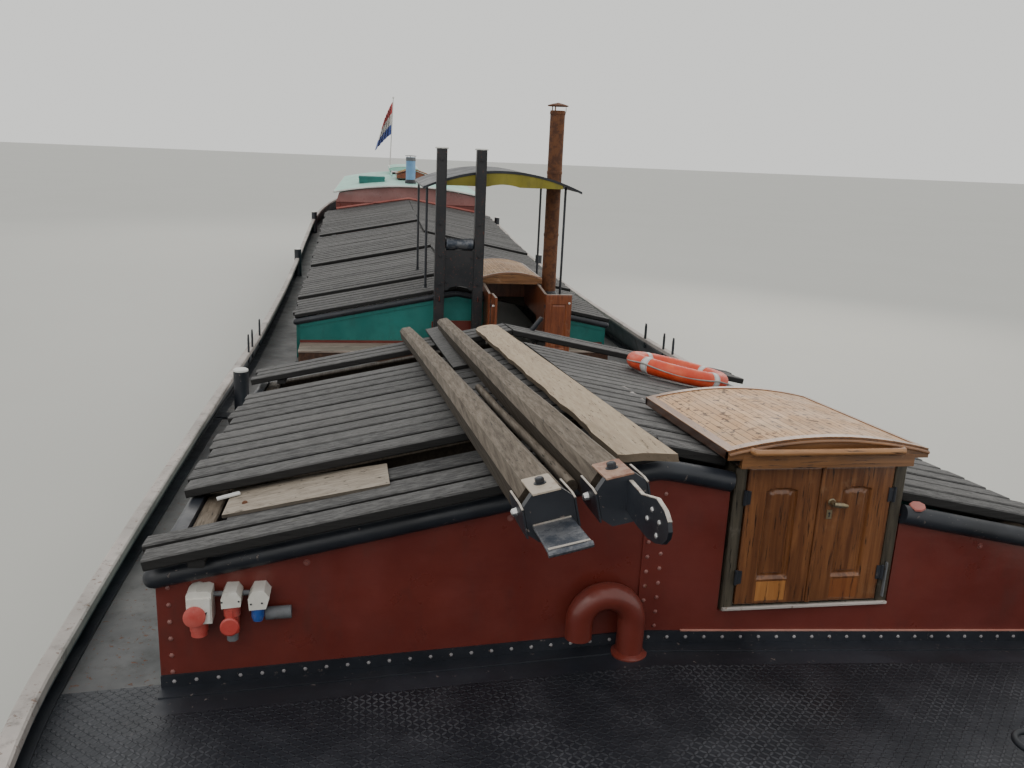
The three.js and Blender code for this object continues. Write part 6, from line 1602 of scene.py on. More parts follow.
# Mast tabernacle
def tabernacle():
    """Two posts with cut corners, a cross plate with a hollowed foot, a turned roller and caps."""
    stock = Stock()
    y, top, apart, low, high = -2.68, 4.38, 0.235, 2.71, 3.19
    face = y - 0.0605
    foot = mast_deck_z(0, y - 0.15) + 0.002
    for side in (-1, 1):
        x = side * apart
        z = np.concatenate([[foot], np.linspace(foot + 0.3, top - 0.012, 8)])
        stock.bar(0, xyz(x, y, z), 0.12, 0.12, 0.012, AFT)
        for edge in (-0.052, 0.052):
            rim = [(x + edge, face, foot + 0.05), (x + edge, face, top - 0.03)]
            stock.bar(0, rim, 0.014, 0.006, 0.002, AFT)
        stock.turn(1, (x, y, top - 0.012), UP, [(0, 0.075), (0.004, 0.082), (0.012, 0.082), (0.018, 0.07)],
                   4)
        for z0 in (2.3, 2.62, 2.78, 3.12, 3.5, 4.25):
            bolt_head(stock, (x, face, z0), AHEAD, 0.016, 0)
        clip = [(x, y - out, z) for out, z in ((0.062, 2.58), (0.07, 2.583), (0.07, 2.62), (0.062, 2.623))]
        stock.bar(2, clip, 0.03, 0.008, 0.002, PORTWARD)
    stock.box(2, -0.34, 0.309, y - 0.15, y + 0.15, foot, foot + 0.03, "z")
    for x in (-0.32, -0.14, 0.14, 0.29):
        bolt_head(stock, (x, y - 0.13, foot + 0.03), UP, 0.012, 2)
    hollow = [(0.13 * math.cos(a), low + 0.05 * math.sin(a)) for a in np.linspace(math.pi, 0, 15)]
    plate = [(-apart, low)] + hollow + [(apart, low), (apart, high), (-apart, high)]
    stock.plate(0, plate, y - 0.05, y + 0.03)
    for x in (-0.15, 0.15):
        for z in (2.8, 3.1):
            bolt_head(stock, (x, y - 0.05, z), AHEAD, 0.013, 0)
    roller = [(0, 0.05), (0.01, 0.075), (0.1, 0.07), (0.17, 0.062), (0.24, 0.07), (0.33, 0.075),
              (0.34, 0.05)]
    stock.turn(3, (-0.17, y, 3.26), PORTWARD, roller, 24)
    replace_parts(stock.piece("mast_posts", (POST_BLACK, WHITE, OXIDE, DARK_STEEL)), "tabernacle")


def canopy():
    """An arched sheet, z = edge + crown * (1 - ((x - middle) / half)^2), over end boards, beams and poles."""
    stock = Stock()
    middle, half, front, end, edge, crown = 0.535, 0.975, -2.56, -0.7, 3.89, 0.215
    arch = lambda x: edge + crown * (1 - ((x - middle) / half) ** 2)
    x = np.linspace(middle - half, middle + half, 41)
    sheet = np.concatenate([np.stack([x, arch(x) + 0.03], 1), np.stack([x, arch(x) + 0.012], 1)[::-1]])
    stock.plate(0, sheet, front, end)
    lip = np.concatenate([np.stack([x, arch(x) + 0.031], 1), np.stack([x, arch(x) + 0.002], 1)[::-1]])
    for y0 in (front - 0.001, end - 0.02):
        stock.plate(0, lip, y0, y0 + 0.021)
    span = np.linspace(middle - 0.75 * half, middle + 0.75 * half, 31)
    low = arch(span[0]) - 0.04
    board = np.concatenate([np.stack([span, arch(span) + 0.004], 1),
                            np.stack([span, low + 0.03 * (1 - ((span - middle) / span[0]) ** 2).clip(0)],
                                     1)[::-1]])
    for y0 in (front + 0.008, end - 0.032):
        stock.plate(1, board, y0, y0 + 0.024)
    for side in (-0.6, 0.6):
        z = float(arch(middle + side)) - 0.015
        stock.bar(2, [(middle + side, front + 0.03, z), (middle + side, end - 0.03, z)], 0.04, 0.05, 0.005)
    for px, py in ((-0.38, -2.38), (1.34, -2.38), (-0.38, -0.8), (1.34, -0.8)):
        foot = roof_z(px, py) + SEAT + BOARD + 0.036
        z = np.linspace(foot, float(arch(px)) + 0.008, 8)
        stock.rod(0, xyz(px, py, z), 0.0155, 14, AFT)
        stock.turn(0, (px, py, foot - 0.002), UP, [(0, 0.035), (0.008, 0.033), (0.012, 0.02),
                                                   (0.05, 0.019)], 16)
    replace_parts(stock.piece("mid_canopy", (BLACK, OLIVE, DARK_WOOD)), "canopy")


def flue():
    """Stove pipe in two lengths with bands, on a square base, under a shallow cone on three stays."""
    stock = Stock()
    x, y, radius, top = 1.31, -1.8, 0.095, 4.89
    low = roof_z(x, y) - 0.06
    stock.bar(1, [(x, y, low), (x, y, low + 0.17), (x, y, low + 0.19)], 0.3, 0.3, 0.02, AFT, [1, 1, 0.97])
    stock.turn(1, (x, y, low + 0.17), UP, [(0, 0.135), (0.05, 0.13), (0.1, radius + 0.004)], 28)
    stock.turn(0, (x, y, low + 0.1), UP, [(0, radius), (top - low - 0.1, radius),
                                          (top - low - 0.1, radius - 0.01),
                                          (top - low - 0.6, radius - 0.01)], 28)
    for z in (3.3, 4.1, top - 0.05):
        stock.turn(0, (x, y, z), UP, [(0, radius + 0.001), (0.003, radius + 0.005),
                                      (0.035, radius + 0.005), (0.038, radius + 0.001)], 28)
    for turn in (0, 120, 240):
        c, s = math.cos(math.radians(turn)), math.sin(math.radians(turn))
        stay = [(x + radius * c, y + radius * s, top - 0.06),
                (x + (radius + 0.012) * c, y + (radius + 0.012) * s, top + 0.0),
                (x + (radius + 0.01) * c, y + (radius + 0.01) * s, top + 0.058)]
        stock.bar(0, stay, 0.016, 0.004, 0.001, (c, s, 0))
    hat = [(0, radius + 0.03), (0.004, radius + 0.04), (0.014, radius + 0.038), (0.03, 0.08),
           (0.045, 0.014), (0.047, 0.004)]
    stock.turn(0, (x, y, top + 0.05), UP, hat, 28)
    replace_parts(stock.piece("flue_pipe", (RUSTY, BLACK)), "flue")


mast_deck()
mid_bulkhead()
mid_trunk()
mid_leaf("mid_door_port_leaf", "mid_door_port", 1.039, True)
mid_leaf("mid_door_starboard_leaf", "mid_door_starboard", 0.371, False)
tabernacle()
canopy()
flue()


# Aft cabin: walls, windows, roof, skylight, hood and stove pipe
CABIN_WALL = 0.04
LEAN_FROM = 2.92
LEAN_BACK = 0.09
ROOF_RISE = 0.19
ROOF_SHEET = 0.045
OVERHANG = 0.05
SIDE_TOP = 3.12
WALL_FOOT = 1.9
WINDOW_FOOT, WINDOW_TOP = 2.56, 2.93
AFT_DOOR_HALF = 0.29
WINDOWS = [(9.55, 10.15), (10.5, 11.1), (11.45, 12.05)]


def cabin_half(y):
    """Half the cabin's width, narrowing straight toward the stern."""
    return np.interp(y, [CABIN_FRONT, CABIN_END], [1.75, 1.54])


def cabin_top(y):
    """Height of the cabin's sides, rising 6 cm a metre."""
    return SIDE_TOP + 0.06 * (np.asarray(y, float) - CABIN_FRONT)


def roof_arch(x, y, half):
    """Roof underside: the height of the sides plus ROOF_RISE (1 - (x / half)^2)."""
    return cabin_top(y) + ROOF_RISE * (1 - (np.asarray(x, float) / half) ** 2)


def wall_shift(y, z):
    """How far the upper part of the walls has leaned inward at a height."""
    return LEAN_BACK * np.clip((z - LEAN_FROM) / (cabin_top(y) + 0.06 - LEAN_FROM), 0, 1)


def side_wall(stock, side):
    """A side wall in strips between and around the windows, each a sheet carried along y."""
    rise = [cabin_top(a) - SIDE_TOP for a, _ in WINDOWS]
    cuts = [CABIN_FRONT + LEAN_BACK] + [v for w in WINDOWS for v in w] + [CABIN_END]
    for k, (y0, y1) in enumerate(zip(cuts[:-1], cuts[1:])):
        lift = rise[(k - 1) // 2] if k % 2 else 0
        spans = [(WALL_FOOT, WINDOW_FOOT + lift),
                 (WINDOW_TOP + lift, None)] if k % 2 else [(WALL_FOOT, None)]
        for bottom, top in spans:
            y = np.linspace(y0, y1, 6)
            z_top = cabin_top(y) if top is None else np.full(6, top)
            rows = [np.full(6, bottom), np.clip(LEAN_FROM, bottom, z_top) * np.ones(6), z_top]
            out = [xyz(side * (cabin_half(y) - wall_shift(y, z)), y, z) for z in rows]
            far = [xyz(side * (cabin_half(y) - wall_shift(y, z) - CABIN_WALL), y, z) for z in rows[::-1]]
            if np.allclose(rows[1], rows[0]) or np.allclose(rows[1], rows[2]):
                out, far = [out[0], out[2]], [far[0], far[2]]
            stock.loft(0, np.stack(out + far, 1))
    for (y0, y1), lift in zip(WINDOWS, rise):
        middle = (y0 + y1) / 2
        x = side * (cabin_half(middle) - 0.004)
        loop = [(x, y0 - 0.01, 2.55 + lift), (x, y0 - 0.01, 2.94 + lift), (x, y1 + 0.01, 2.94 + lift),
                (x, y1 + 0.01, 2.55 + lift)]
        for a, b in zip(loop, loop[1:] + loop[:1]):
            stock.bar(2, [a, b], 0.03, 0.045, 0.006, (side, 0, 0))
        glass = [(y0 - 0.006, 2.554 + lift), (y1 + 0.006, 2.554 + lift), (y1 + 0.006, 2.936 + lift),
                 (y0 - 0.006, 2.936 + lift)]
        stock.plate(3, glass, x - side * 0.026, x - side * 0.02, "x")
        stock.bar(2, [(x, middle, WINDOW_FOOT + lift), (x, middle, WINDOW_TOP + lift)], 0.022, 0.02, 0.004,
                  (side, 0, 0))


def cabin_walls():
    """Side walls, a front whose upper band leans back under the arched roof, and a back round the doorway."""
    stock = Stock()
    for side in (-1, 1):
        side_wall(stock, side)
    half = cabin_half(CABIN_FRONT)
    x = np.linspace(-half, half, 31)
    front_top = cabin_top(CABIN_FRONT + LEAN_BACK)
    arch = roof_arch(x, CABIN_FRONT + LEAN_BACK, half + 0.05) - 0.008
    stock.box(0, -half, half, WALL_FOOT, LEAN_FROM, CABIN_FRONT, CABIN_FRONT + CABIN_WALL)
    rows = [(LEAN_FROM + 0.006, 0.004, 1.0), (front_top, LEAN_BACK, 0.95)]
    near = [xyz(x * w, CABIN_FRONT + d, z) for z, d, w in rows]
    near.append(xyz(x * 0.95, CABIN_FRONT + LEAN_BACK + 0.002, np.maximum(arch, front_top + 0.002)))
    far = [row + (0, CABIN_WALL, 0) for row in near[::-1]]
    stock.loft(1, np.stack(near + far, 1))
    trim = [(-1.752, CABIN_FRONT - 0.005, LEAN_FROM - 0.004), (0, CABIN_FRONT - 0.005, LEAN_FROM - 0.003),
            (1.752, CABIN_FRONT - 0.005, LEAN_FROM - 0.004)]
    stock.rod(0, trim, 0.011, 10)
    foot = [(a, roof_z(a, CABIN_FRONT) + 0.115) for a in (-1.74, 0, 1.74)]
    stock.plate(4, [(a, b) for a, b in foot] + [(a, b + 0.035) for a, b in foot[::-1]],
                CABIN_FRONT - 0.012, CABIN_FRONT - 0.0002)
    handle = [(0.62, CABIN_FRONT - 0.002, 2.86), (0.62, CABIN_FRONT - 0.035, 2.855),
              (0.62, CABIN_FRONT - 0.038, 2.8), (0.62, CABIN_FRONT - 0.035, 2.75),
              (0.62, CABIN_FRONT - 0.002, 2.745)]
    stock.rod(5, handle, 0.012, 10, PORTWARD)
    back = cabin_half(CABIN_END)
    for x0, x1 in ((-back, -AFT_DOOR_HALF), (AFT_DOOR_HALF, back)):
        xs = np.linspace(x0, x1, 14)
        top = roof_arch(xs, CABIN_END, back + 0.05) - 0.008
        stock.plate(0, [(x0, WALL_FOOT), (x1, WALL_FOOT)] + list(zip(xs[::-1], top[::-1])),
                    CABIN_END - CABIN_WALL, CABIN_END)
        edge = -AFT_DOOR_HALF if x0 < 0 else AFT_DOOR_HALF
        jamb = [(edge, CABIN_END + 0.006, 2.49), (edge, CABIN_END + 0.006, 3.5)]
        stock.bar(2, jamb, 0.012, 0.05, 0.003, PORTWARD)
    stock.box(0, -AFT_DOOR_HALF, AFT_DOOR_HALF, WALL_FOOT, 2.478, CABIN_END - CABIN_WALL, CABIN_END)
    paints = (OXIDE, CABIN_BAND, VARNISH, PANE, PINK_CAP, BLACK)
    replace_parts(stock.piece("cabin_sides", paints), "cabin_walls")


def cabin_roof():
    """Strips of the arched roof round the skylight's well and the hatchway, with a rounded white edge."""
    stock = Stock()
    front, end = CABIN_FRONT + 0.04, CABIN_END + OVERHANG
    strips = [(-1, -0.33, front, end), (0.51, 1, front, end), (-0.33, -0.21, front, 11.75),
              (-0.21, 0.33, front, 10.19), (0.33, 0.51, front, 10.19), (-0.21, 0.33, 10.86, 11.75),
              (0.33, 0.51, 10.86, end)]
    for x0, x1, y0, y1 in strips:
        y = np.linspace(y0, y1, 14)
        half = cabin_half(y) + OVERHANG
        low = -half if x0 == -1 else np.full(14, x0)
        high = half if x1 == 1 else np.full(14, x1)
        t = np.linspace(0, 1, 12)
        xs = low[:, None] + (high - low)[:, None] * t[None, :]
        under = cabin_top(y)[:, None] + ROOF_RISE * (1 - (xs / half[:, None]) ** 2)
        top = xyz(xs, y[:, None], under + ROOF_SHEET)
        stock.loft(0, np.concatenate([top, xyz(xs, y[:, None], under)[:, ::-1]], 1))
    for side in (-1, 1):
        y = np.linspace(front, end, 16)
        half = cabin_half(y) + OVERHANG
        rub = xyz(side * (half + 0.001), y, roof_arch(half, y, half) + 0.022)
        stock.rod(1, rub, 0.02, 10)
        y = np.linspace(11.13, CABIN_END + 0.04, 8)
        runner = xyz(side * 0.345, y, cabin_top(y) + ROOF_RISE + 0.0425)
        stock.bar(0, runner, 0.03, 0.085, 0.004)
    xs = np.linspace(-1.78, 1.78, 31)
    lip = xyz(xs, front - 0.001, roof_arch(xs, front, 1.8) + 0.022)
    stock.rod(1, lip, 0.02, 10)
    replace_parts(stock.piece("cabin_roof_sheets", (MINT, WHITE)), "cabin_roof")


def skylight():
    """A frame with gables and a ridge under two glazed leaves."""
    x, half, y0, y1 = 0.15, 0.4, 10.15, 10.9
    seat = roof_arch(x + half, y1, cabin_half(y1)) + 0.01
    low, high = seat + 0.06, seat + 0.15
    base = Stock()
    for a in (x - half + 0.02, x + half - 0.02):
        base.bar(0, [(a, y0, (low + high) / 2), (a, y1, (low + high) / 2)], 0.04, high - low, 0.005)
    for b in (y0 + 0.02, y1 - 0.02):
        run = [(x - half + 0.0405, b, (low + high) / 2), (x + half - 0.0405, b, (low + high) / 2)]
        base.bar(0, run, 0.04, high - low - 0.002, 0.005)
        base.plate(0, [(x - half, high - 0.002), (x + half, high - 0.002), (x, high + 0.12)], b - 0.015,
                   b + 0.015)
    base.bar(0, [(x, y0, high + 0.089), (x, y1, high + 0.089)], 0.04, 0.038, 0.008)
    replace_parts(base.piece("skylight_frame", (RED_BROWN,)), "skylight_base")
    for side, node in ((-1, "skylight_lid_starboard"), (1, "skylight_lid_port")):
        lid = Stock()
        slope = np.array([(half + 0.018, high + 0.01), (0.032, high + 0.134)])

        def rail(t0, t1, b0, b1, wide):
            """A flat bar between two shares of the slope and two places along the ridge."""
            a = slope[0] + (slope[1] - slope[0]) * t0
            b = slope[0] + (slope[1] - slope[0]) * t1
            run = [(x + side * a[0], b0, a[1] + 0.013), (x + side * b[0], b1, b[1] + 0.013)]
            up = (side * 0.31, 0, 0.95)
            lid.bar(0, run, wide, 0.025, 0.004, up)
        for b in (y0 + 0.02, y1 - 0.02):
            rail(0, 1, b, b, 0.065)
        for t in (0.09, 0.91):
            rail(t, t, y0 + 0.05, y1 - 0.05, 0.06)
        glass = [slope[0] + (slope[1] - slope[0]) * t for t in (0.03, 0.97)]
        sheet = [(x + side * g[0], g[1] + 0.006) for g in glass]
        sheet += [(x + side * g[0], g[1] + 0.011) for g in glass[::-1]]
        lid.plate(1, sheet, y0 + 0.02, y1 - 0.02)
        for b in np.linspace(y0 + 0.13, y1 - 0.13, 5):
            a, c = slope[0] * 0.93 + slope[1] * 0.07, slope[0] * 0.07 + slope[1] * 0.93
            lid.rod(2, [(x + side * a[0], b, a[1] + 0.022), (x + side * c[0], b, c[1] + 0.022)], 0.005, 8,
                    AFT)
        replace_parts(lid.piece(node + "_leaf", (RED_BROWN, PANE, BRONZE), node), node)


def cabin_door():
    """The aft door: a board with two sunk, fielded panels, hinges of turned pins, and a turned knob."""
    door = Stock()
    low, high, face = 2.488, 3.54, CABIN_END + 0.004

    def depth(x, z):
        """How far a point of the leaf lies behind its face: two sunk panels with raised fields."""
        upper = arch_distance(x, z, -0.01, 0.18, 2.98, 3.42, 0.03)
        lower = arch_distance(x, z, -0.01, 0.18, 2.6, 2.88, 0.0)
        inside = np.maximum(upper, lower)
        return 0.008 * eased(inside, -0.001, 0.004) - 0.005 * eased(inside, 0.025, 0.034)
    points, faces = relief(np.linspace(-0.284, 0.284, 44), np.linspace(low, high, 80), -face, depth,
                           0.034 - face)
    door.add(points * (1, -1, 1), faces, 0)
    for z in (low + 0.2 * (high - low), low + 0.8 * (high - low)):
        door.turn(1, (-0.294, face + 0.005, z - 0.022), UP, [(0, 0.003), (0.003, 0.005), (0.041, 0.005),
                                                             (0.044, 0.003)], 12)
        door.bar(1, [(-0.293, face + 0.002, z), (-0.2, face + 0.002, z)], 0.04, 0.006, 0.002, AFT)
    door.turn(1, (0.24, face - 0.001, 3.0), AFT, [(0, 0.02), (0.006, 0.018), (0.02, 0.009), (0.03, 0.02),
                                                  (0.045, 0.016)], 18)
    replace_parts(door.piece("cabin_door_leaf", (VARNISH, WORN_BRASS), "cabin_door"), "cabin_door")


def stove_chimney():
    """A turned, hollow pipe on a skirt, with a band and a collar, and a lid on three stays."""
    pipe = Stock()
    x, y, radius, top = 0.07, 9.56, 0.118, 4.02
    roof = roof_arch(x, y, cabin_half(y))
    pipe.turn(1, (x, y, roof + 0.04), UP, [(0, 0.14), (0.05, 0.138), (0.08, 0.13), (0.095, radius)], 28)
    height = top - roof + 0.08
    pipe.turn(0, (x, y, roof - 0.08), UP, [(0, radius), (height, radius), (height, radius - 0.008),
                                           (height - 0.35, radius - 0.008)], 28)
    for z, tall, kind in ((roof + 0.3, 0.02, 0), (top - 0.09, 0.085, 2)):
        band = [(0, radius + HAIR), (0.002, radius + 0.004), (tall - 0.002, radius + 0.004),
                (tall, radius + HAIR)]
        pipe.turn(kind, (x, y, z), UP, band, 28)
    pipe.turn(2, (x, y, top + 0.026), UP, [(0, 0.136), (0.004, 0.144), (0.012, 0.144), (0.02, 0.02)], 28)
    for turn in (0.4, 2.5, 4.6):
        c, s = 0.112 * math.cos(turn), 0.112 * math.sin(turn)
        pipe.bar(2, [(x + c, y + s, top - 0.05), (x + c, y + s, top + 0.028)], 0.014, 0.004, 0.001,
                 (c, s, 0))
    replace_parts(pipe.piece("stove_chimney", (BLUE, BLACK, GREY_INSIDE)), "stove_pipe")


def roof_locker():
    """A low box with a chamfered lid, its outline given a thickness."""
    box = Stock()
    base = roof_arch(-0.88, 10.0, cabin_half(10.0) + OVERHANG) + 0.02
    body = [(-1.2, base), (-0.56, base), (-0.56, base + 0.14), (-0.58, base + 0.16), (-1.18, base + 0.16),
            (-1.2, base + 0.14)]
    box.plate(0, body, 9.85, 10.2)
    box.plate(0, [(-1.215, base + 0.12), (-0.545, base + 0.12), (-0.56, base + 0.165),
                  (-1.2, base + 0.165)], 9.835, 10.215)
    box.piece("roof_locker", (TEAL,))


# Steering gear and engine
def wheel_stand():
    """The wheel's pedestal: a tapering outline given a thickness, under a bevelled top."""
    stand = Stock()
    foot = foredeck_z(0, 13.98) + 0.012
    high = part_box("pedestal")[1][2] - foot - 0.03
    half = (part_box("pedestal")[1][0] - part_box("pedestal")[0][0]) / 2 - 0.025
    shape = [(-half, foot), (half, foot), (half * 0.96, foot + high), (-half * 0.96, foot + high)]
    stand.plate(0, shape, 13.583, 13.98)
    stand.bar(0, [(-half - 0.025, 13.7825, foot + high + 0.015),
                  (half + 0.025, 13.7825, foot + high + 0.015)], 0.44, 0.03, 0.008)
    stand.turn(1, (0, 13.552, 3.08), AFT, [(0, 0.05), (0.006, 0.062), (0.033, 0.062)], 24)
    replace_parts(stand.piece("wheel_stand", (VARNISH, WORN_BRASS)), "pedestal")


def spoked_wheel():
    """A torus on eight turned spokes that reach past it, and a turned hub."""
    wheel = Stock()
    centre = np.array([0, 13.47, 3.08])
    axes = np.array([PORTWARD, UP, AHEAD], float)
    wheel.add(*torus(centre, axes, 0.325, 0.02, steps=64, sides=12), 0)
    for turn in np.arange(8) * math.pi / 4:
        out = np.array([math.sin(turn), 0, math.cos(turn)])
        profile = [(0.0, 0.015), (0.07, 0.012), (0.13, 0.016), (0.24, 0.012), (0.29, 0.011), (0.31, 0.016),
                   (0.345, 0.017), (0.36, 0.01)]
        wheel.turn(0, centre + out * 0.04, out, profile, 14)
    hub = [(-0.045, 0.045), (-0.04, 0.056), (0.04, 0.056), (0.045, 0.045)]
    wheel.turn(1, centre, AFT, hub, 24)
    wheel.turn(1, centre, AFT, [(0.0, 0.022), (0.076, 0.022)], 16)
    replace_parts(wheel.piece("spoked_wheel", (VARNISH, WORN_BRASS), "steering_wheel"), "steering_wheel")


def rudder_blade():
    """A blade tapering aft, an outline given its height, with straps, on a turned stock."""
    rudder = Stock()
    low, top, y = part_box("rudder")[0][2], 1.12, 13.8
    shape = [(-0.012, y - 0.07), (0.012, y - 0.07), (0.034, y), (0.03, y + 0.26), (0.011, y + 0.64),
             (-0.009, y + 0.64), (-0.03, y + 0.26), (-0.034, y)]
    rudder.plate(0, shape, low, top, "z")
    for z in np.linspace(low + 0.12, top - 0.1, 4):
        for side in (-1, 1):
            strap = [(side * 0.033, y + 0.03, z), (side * 0.032, y + 0.26, z), (side * 0.02, y + 0.5, z)]
            rudder.bar(0, strap, 0.05, 0.012, 0.003, (side, 0, 0))
    radius = 0.045
    rudder.turn(1, (0, y, 0.4), UP, [(0, radius), (2.09, radius)], 20)
    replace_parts(rudder.piece("rudder_blade", (HULL_BLACK, STEEL), "rudder"), "rudder")


def propeller():
    """A turned hub and four blades: half-chord 0.05 + 0.072 sin(pi s^0.8), twisted from 46 to 22 degrees."""
    stock = Stock()
    y, z = 13.3, 0.52
    hub = [(-0.075, 0.07), (0.0, 0.076), (0.05, 0.068), (0.075, 0.05)]
    stock.turn(0, (0, y, z), AFT, hub, 24)
    stock.turn(1, (0, 13.099, z), AFT, [(0, 0.048), (0.18, 0.048)], 20)
    s = np.linspace(0, 1, 14)
    chord = 0.05 + 0.072 * np.sin(np.pi * s ** 0.8)
    chord[-1] = 0.02
    pitch = np.radians(46 - 24 * s)
    for turn in np.arange(4) * math.pi / 2:
        outline = [(-1, 0), (-0.5, 0.07), (0.2, 0.08), (1, 0), (0.2, -0.05), (-0.5, -0.05)]
        u = chord[:, None] * np.array([a for a, _ in outline])
        v = chord[:, None] * np.array([b for _, b in outline])
        across = u * np.cos(pitch)[:, None] - v * np.sin(pitch)[:, None]
        along = u * np.sin(pitch)[:, None] + v * np.cos(pitch)[:, None]
        out = np.broadcast_to((0.05 + 0.284 * s)[:, None], u.shape)
        points = xyz(across * math.cos(turn) + out * math.sin(turn), y + along,
                     z - across * math.sin(turn) + out * math.cos(turn))
        stock.loft(0, points)
    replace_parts(stock.piece("screw", (BRONZE, STEEL), "propeller"), "propeller")


# Bow gear
def holed_plate(outline, centre, radius, low, high):
    """A convex plate in the y-z plane with a round hole: rays run from the circle to the nearest edge."""
    corners = np.array(outline) - centre
    edges = np.roll(corners, -1, 0) - corners
    normals = np.stack([edges[:, 1], -edges[:, 0]], 1)
    angles = np.sort(np.concatenate([np.arctan2(corners[:, 1], corners[:, 0]), np.linspace(-3.1, 3.1, 32)]))
    rays = np.stack([np.cos(angles), np.sin(angles)], 1)
    toward, tiny = rays @ normals.T, 1e-9
    reach = (normals * corners).sum(1) / np.where(toward > tiny, toward, tiny)
    far = rays * np.where(toward > tiny, reach, np.inf).min(1)[:, None] + centre
    near = rays * radius + centre
    loops = [(far, low), (far, high), (near, high), (near, low)]
    points = np.stack([np.column_stack([np.full(len(p), x), p]) for p, x in loops], 1)
    faces = ring_faces(len(angles), 4, False)
    last = (len(angles) - 1) * 4
    faces = list(faces) + [(last + k, last + (k + 1) % 4, (k + 1) % 4, k) for k in range(4)]
    return points.reshape(-1, 3), faces


def windlass():
    """Cheeks, bed and tie of the frame; a drum with flanges, a toothed wheel, warping heads and a crank."""
    half, outer, y, length = 0.43, 0.464, -13.25, 0.3
    deck = foredeck_z(0.47, y + length) + 0.002
    axle = deck + 0.64
    frame = Stock()
    for side in (-1, 1):
        cheek = [(y - length, deck + 0.03), (y + length, deck + 0.03), (y + 0.2, deck + 0.3),
                 (y + 0.12, deck + 0.72), (y + 0.1, deck + 0.758), (y - 0.1, deck + 0.758),
                 (y - 0.12, deck + 0.72), (y - 0.2, deck + 0.3)]
        frame.add(*holed_plate(cheek, (y, axle), 0.044, side * half, side * (half + 0.034)), 0)
        frame.add(*torus((side * (half + 0.034), y, axle), np.eye(3)[[1, 2, 0]], 0.06, 0.011, steps=28,
                         sides=10), 0)
    ridge = foredeck_z(0, y - length) + 0.004
    frame.box(0, -outer, outer, y - length, y + length, ridge, ridge + 0.046, "z")
    frame.turn(0, (-half - 0.04, y - 0.17, deck + 0.42), PORTWARD,
               [(0, 0.024), (0.01, 0.024), (0.011, 0.018), (0.929, 0.018), (0.93, 0.024), (0.94, 0.024)],
               16)
    for x, b in ((-0.3, -0.25), (-0.3, 0.25), (0.3, -0.25), (0.3, 0.25)):
        bolt_head(frame, (x, y + b, ridge + 0.046), UP, 0.014, 0)
    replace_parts(frame.piece("windlass_cheeks", (BLACK,)), "windlass_frame")
    drum = Stock()
    at = (0, y, axle)
    drum.turn(0, at, PORTWARD, [(-0.69, 0.03), (-0.686, 0.034), (0.686, 0.034), (0.69, 0.03)], 20)
    r = 0.19
    for x0, x1 in ((-0.41, -0.38), (0.23, 0.26)):
        drum.turn(0, at, PORTWARD, [(x0, r - 0.01), (x0 + 0.005, r), (x1 - 0.005, r), (x1, r - 0.01)], 28)
    drum.turn(0, at, PORTWARD, [(-0.378, 0.12), (0.228, 0.12)], 28)
    rounds, lay = 22, 0.131
    turns = np.linspace(0, rounds * 2 * np.pi, rounds * 20)
    coil = xyz(-0.33 + 0.48 * turns / turns[-1], y + lay * np.cos(turns), axle + lay * np.sin(turns))
    drum.rod(1, coil, 0.0105, 8, PORTWARD)
    teeth = 24
    corner = np.arange(4 * teeth)
    r = 0.222 + 0.013 * np.array([0, 1, 1, 0])[corner % 4]
    a = corner * 2 * np.pi / (4 * teeth)
    drum.plate(0, np.stack([y + r * np.cos(a), axle + r * np.sin(a)], 1), 0.3, 0.37, "x")
    for side in (-1, 1):
        head = [(0.49, 0.1), (0.5, 0.11), (0.53, 0.085), (0.56, 0.073), (0.59, 0.085), (0.62, 0.11),
                (0.63, 0.1)]
        drum.turn(0, at, (side, 0, 0), head, 28)
    arm = [(0.64, y - 0.02, axle), (0.64, y + 0.15, axle), (0.64, y + 0.328, axle)]
    drum.bar(0, arm, 0.03, 0.044, 0.006)
    drum.turn(2, (0.64, y + 0.305, axle), PORTWARD, [(0, 0.014), (0.03, 0.013), (0.04, 0.017),
                                                     (0.15, 0.017), (0.16, 0.012)], 16)
    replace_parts(drum.piece("windlass_barrel", (STEEL, ROPE, TIMBER), "windlass_drum"), "windlass_drum")


def anchor():
    """A lying anchor: tapered shank and arms, pointed palms and a ring, on two chocks."""
    stock = Stock()
    x, crown = 1.13, -12.28
    z = foredeck_z(x, -11.7) + 0.06
    shank = [(x, crown, z + 0.02), (x, crown + 0.5, z + 0.02), (x, crown + 1.05, z + 0.02)]
    stock.bar(0, shank, 0.05, 0.05, 0.012, UP, [1.05, 0.9, 0.72])
    for side in (-1, 1):
        arm = [(x, crown + 0.01, z + 0.02), (x + side * 0.16, crown + 0.08, z + 0.02),
               (x + side * 0.3, crown + 0.24, z + 0.02)]
        stock.rod(0, arm, 0.028, 14, UP, [1, 0.85, 0.6])
        palm = [(x + side * 0.21, crown + 0.12), (x + side * 0.34, crown + 0.18),
                (x + side * 0.35, crown + 0.37), (x + side * 0.24, crown + 0.3)]
        stock.plate(0, palm, z + 0.01, z + 0.028, "z")
    stock.add(*torus((x, crown + 1.1, z + 0.02), np.eye(3), 0.062, 0.0115, steps=36, sides=12), 0)
    for y in (crown + 0.1, crown + 0.86):
        low = foredeck_z(x - 0.06, y) + 0.003
        stock.bar(1, [(x - 0.06, y, (low + z + 0.004) / 2), (x + 0.06, y, (low + z + 0.004) / 2)], 0.06,
                  z + 0.004 - low, 0.006)
    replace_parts(stock.piece("bow_anchor", (BLACK, TIMBER)), "anchor")


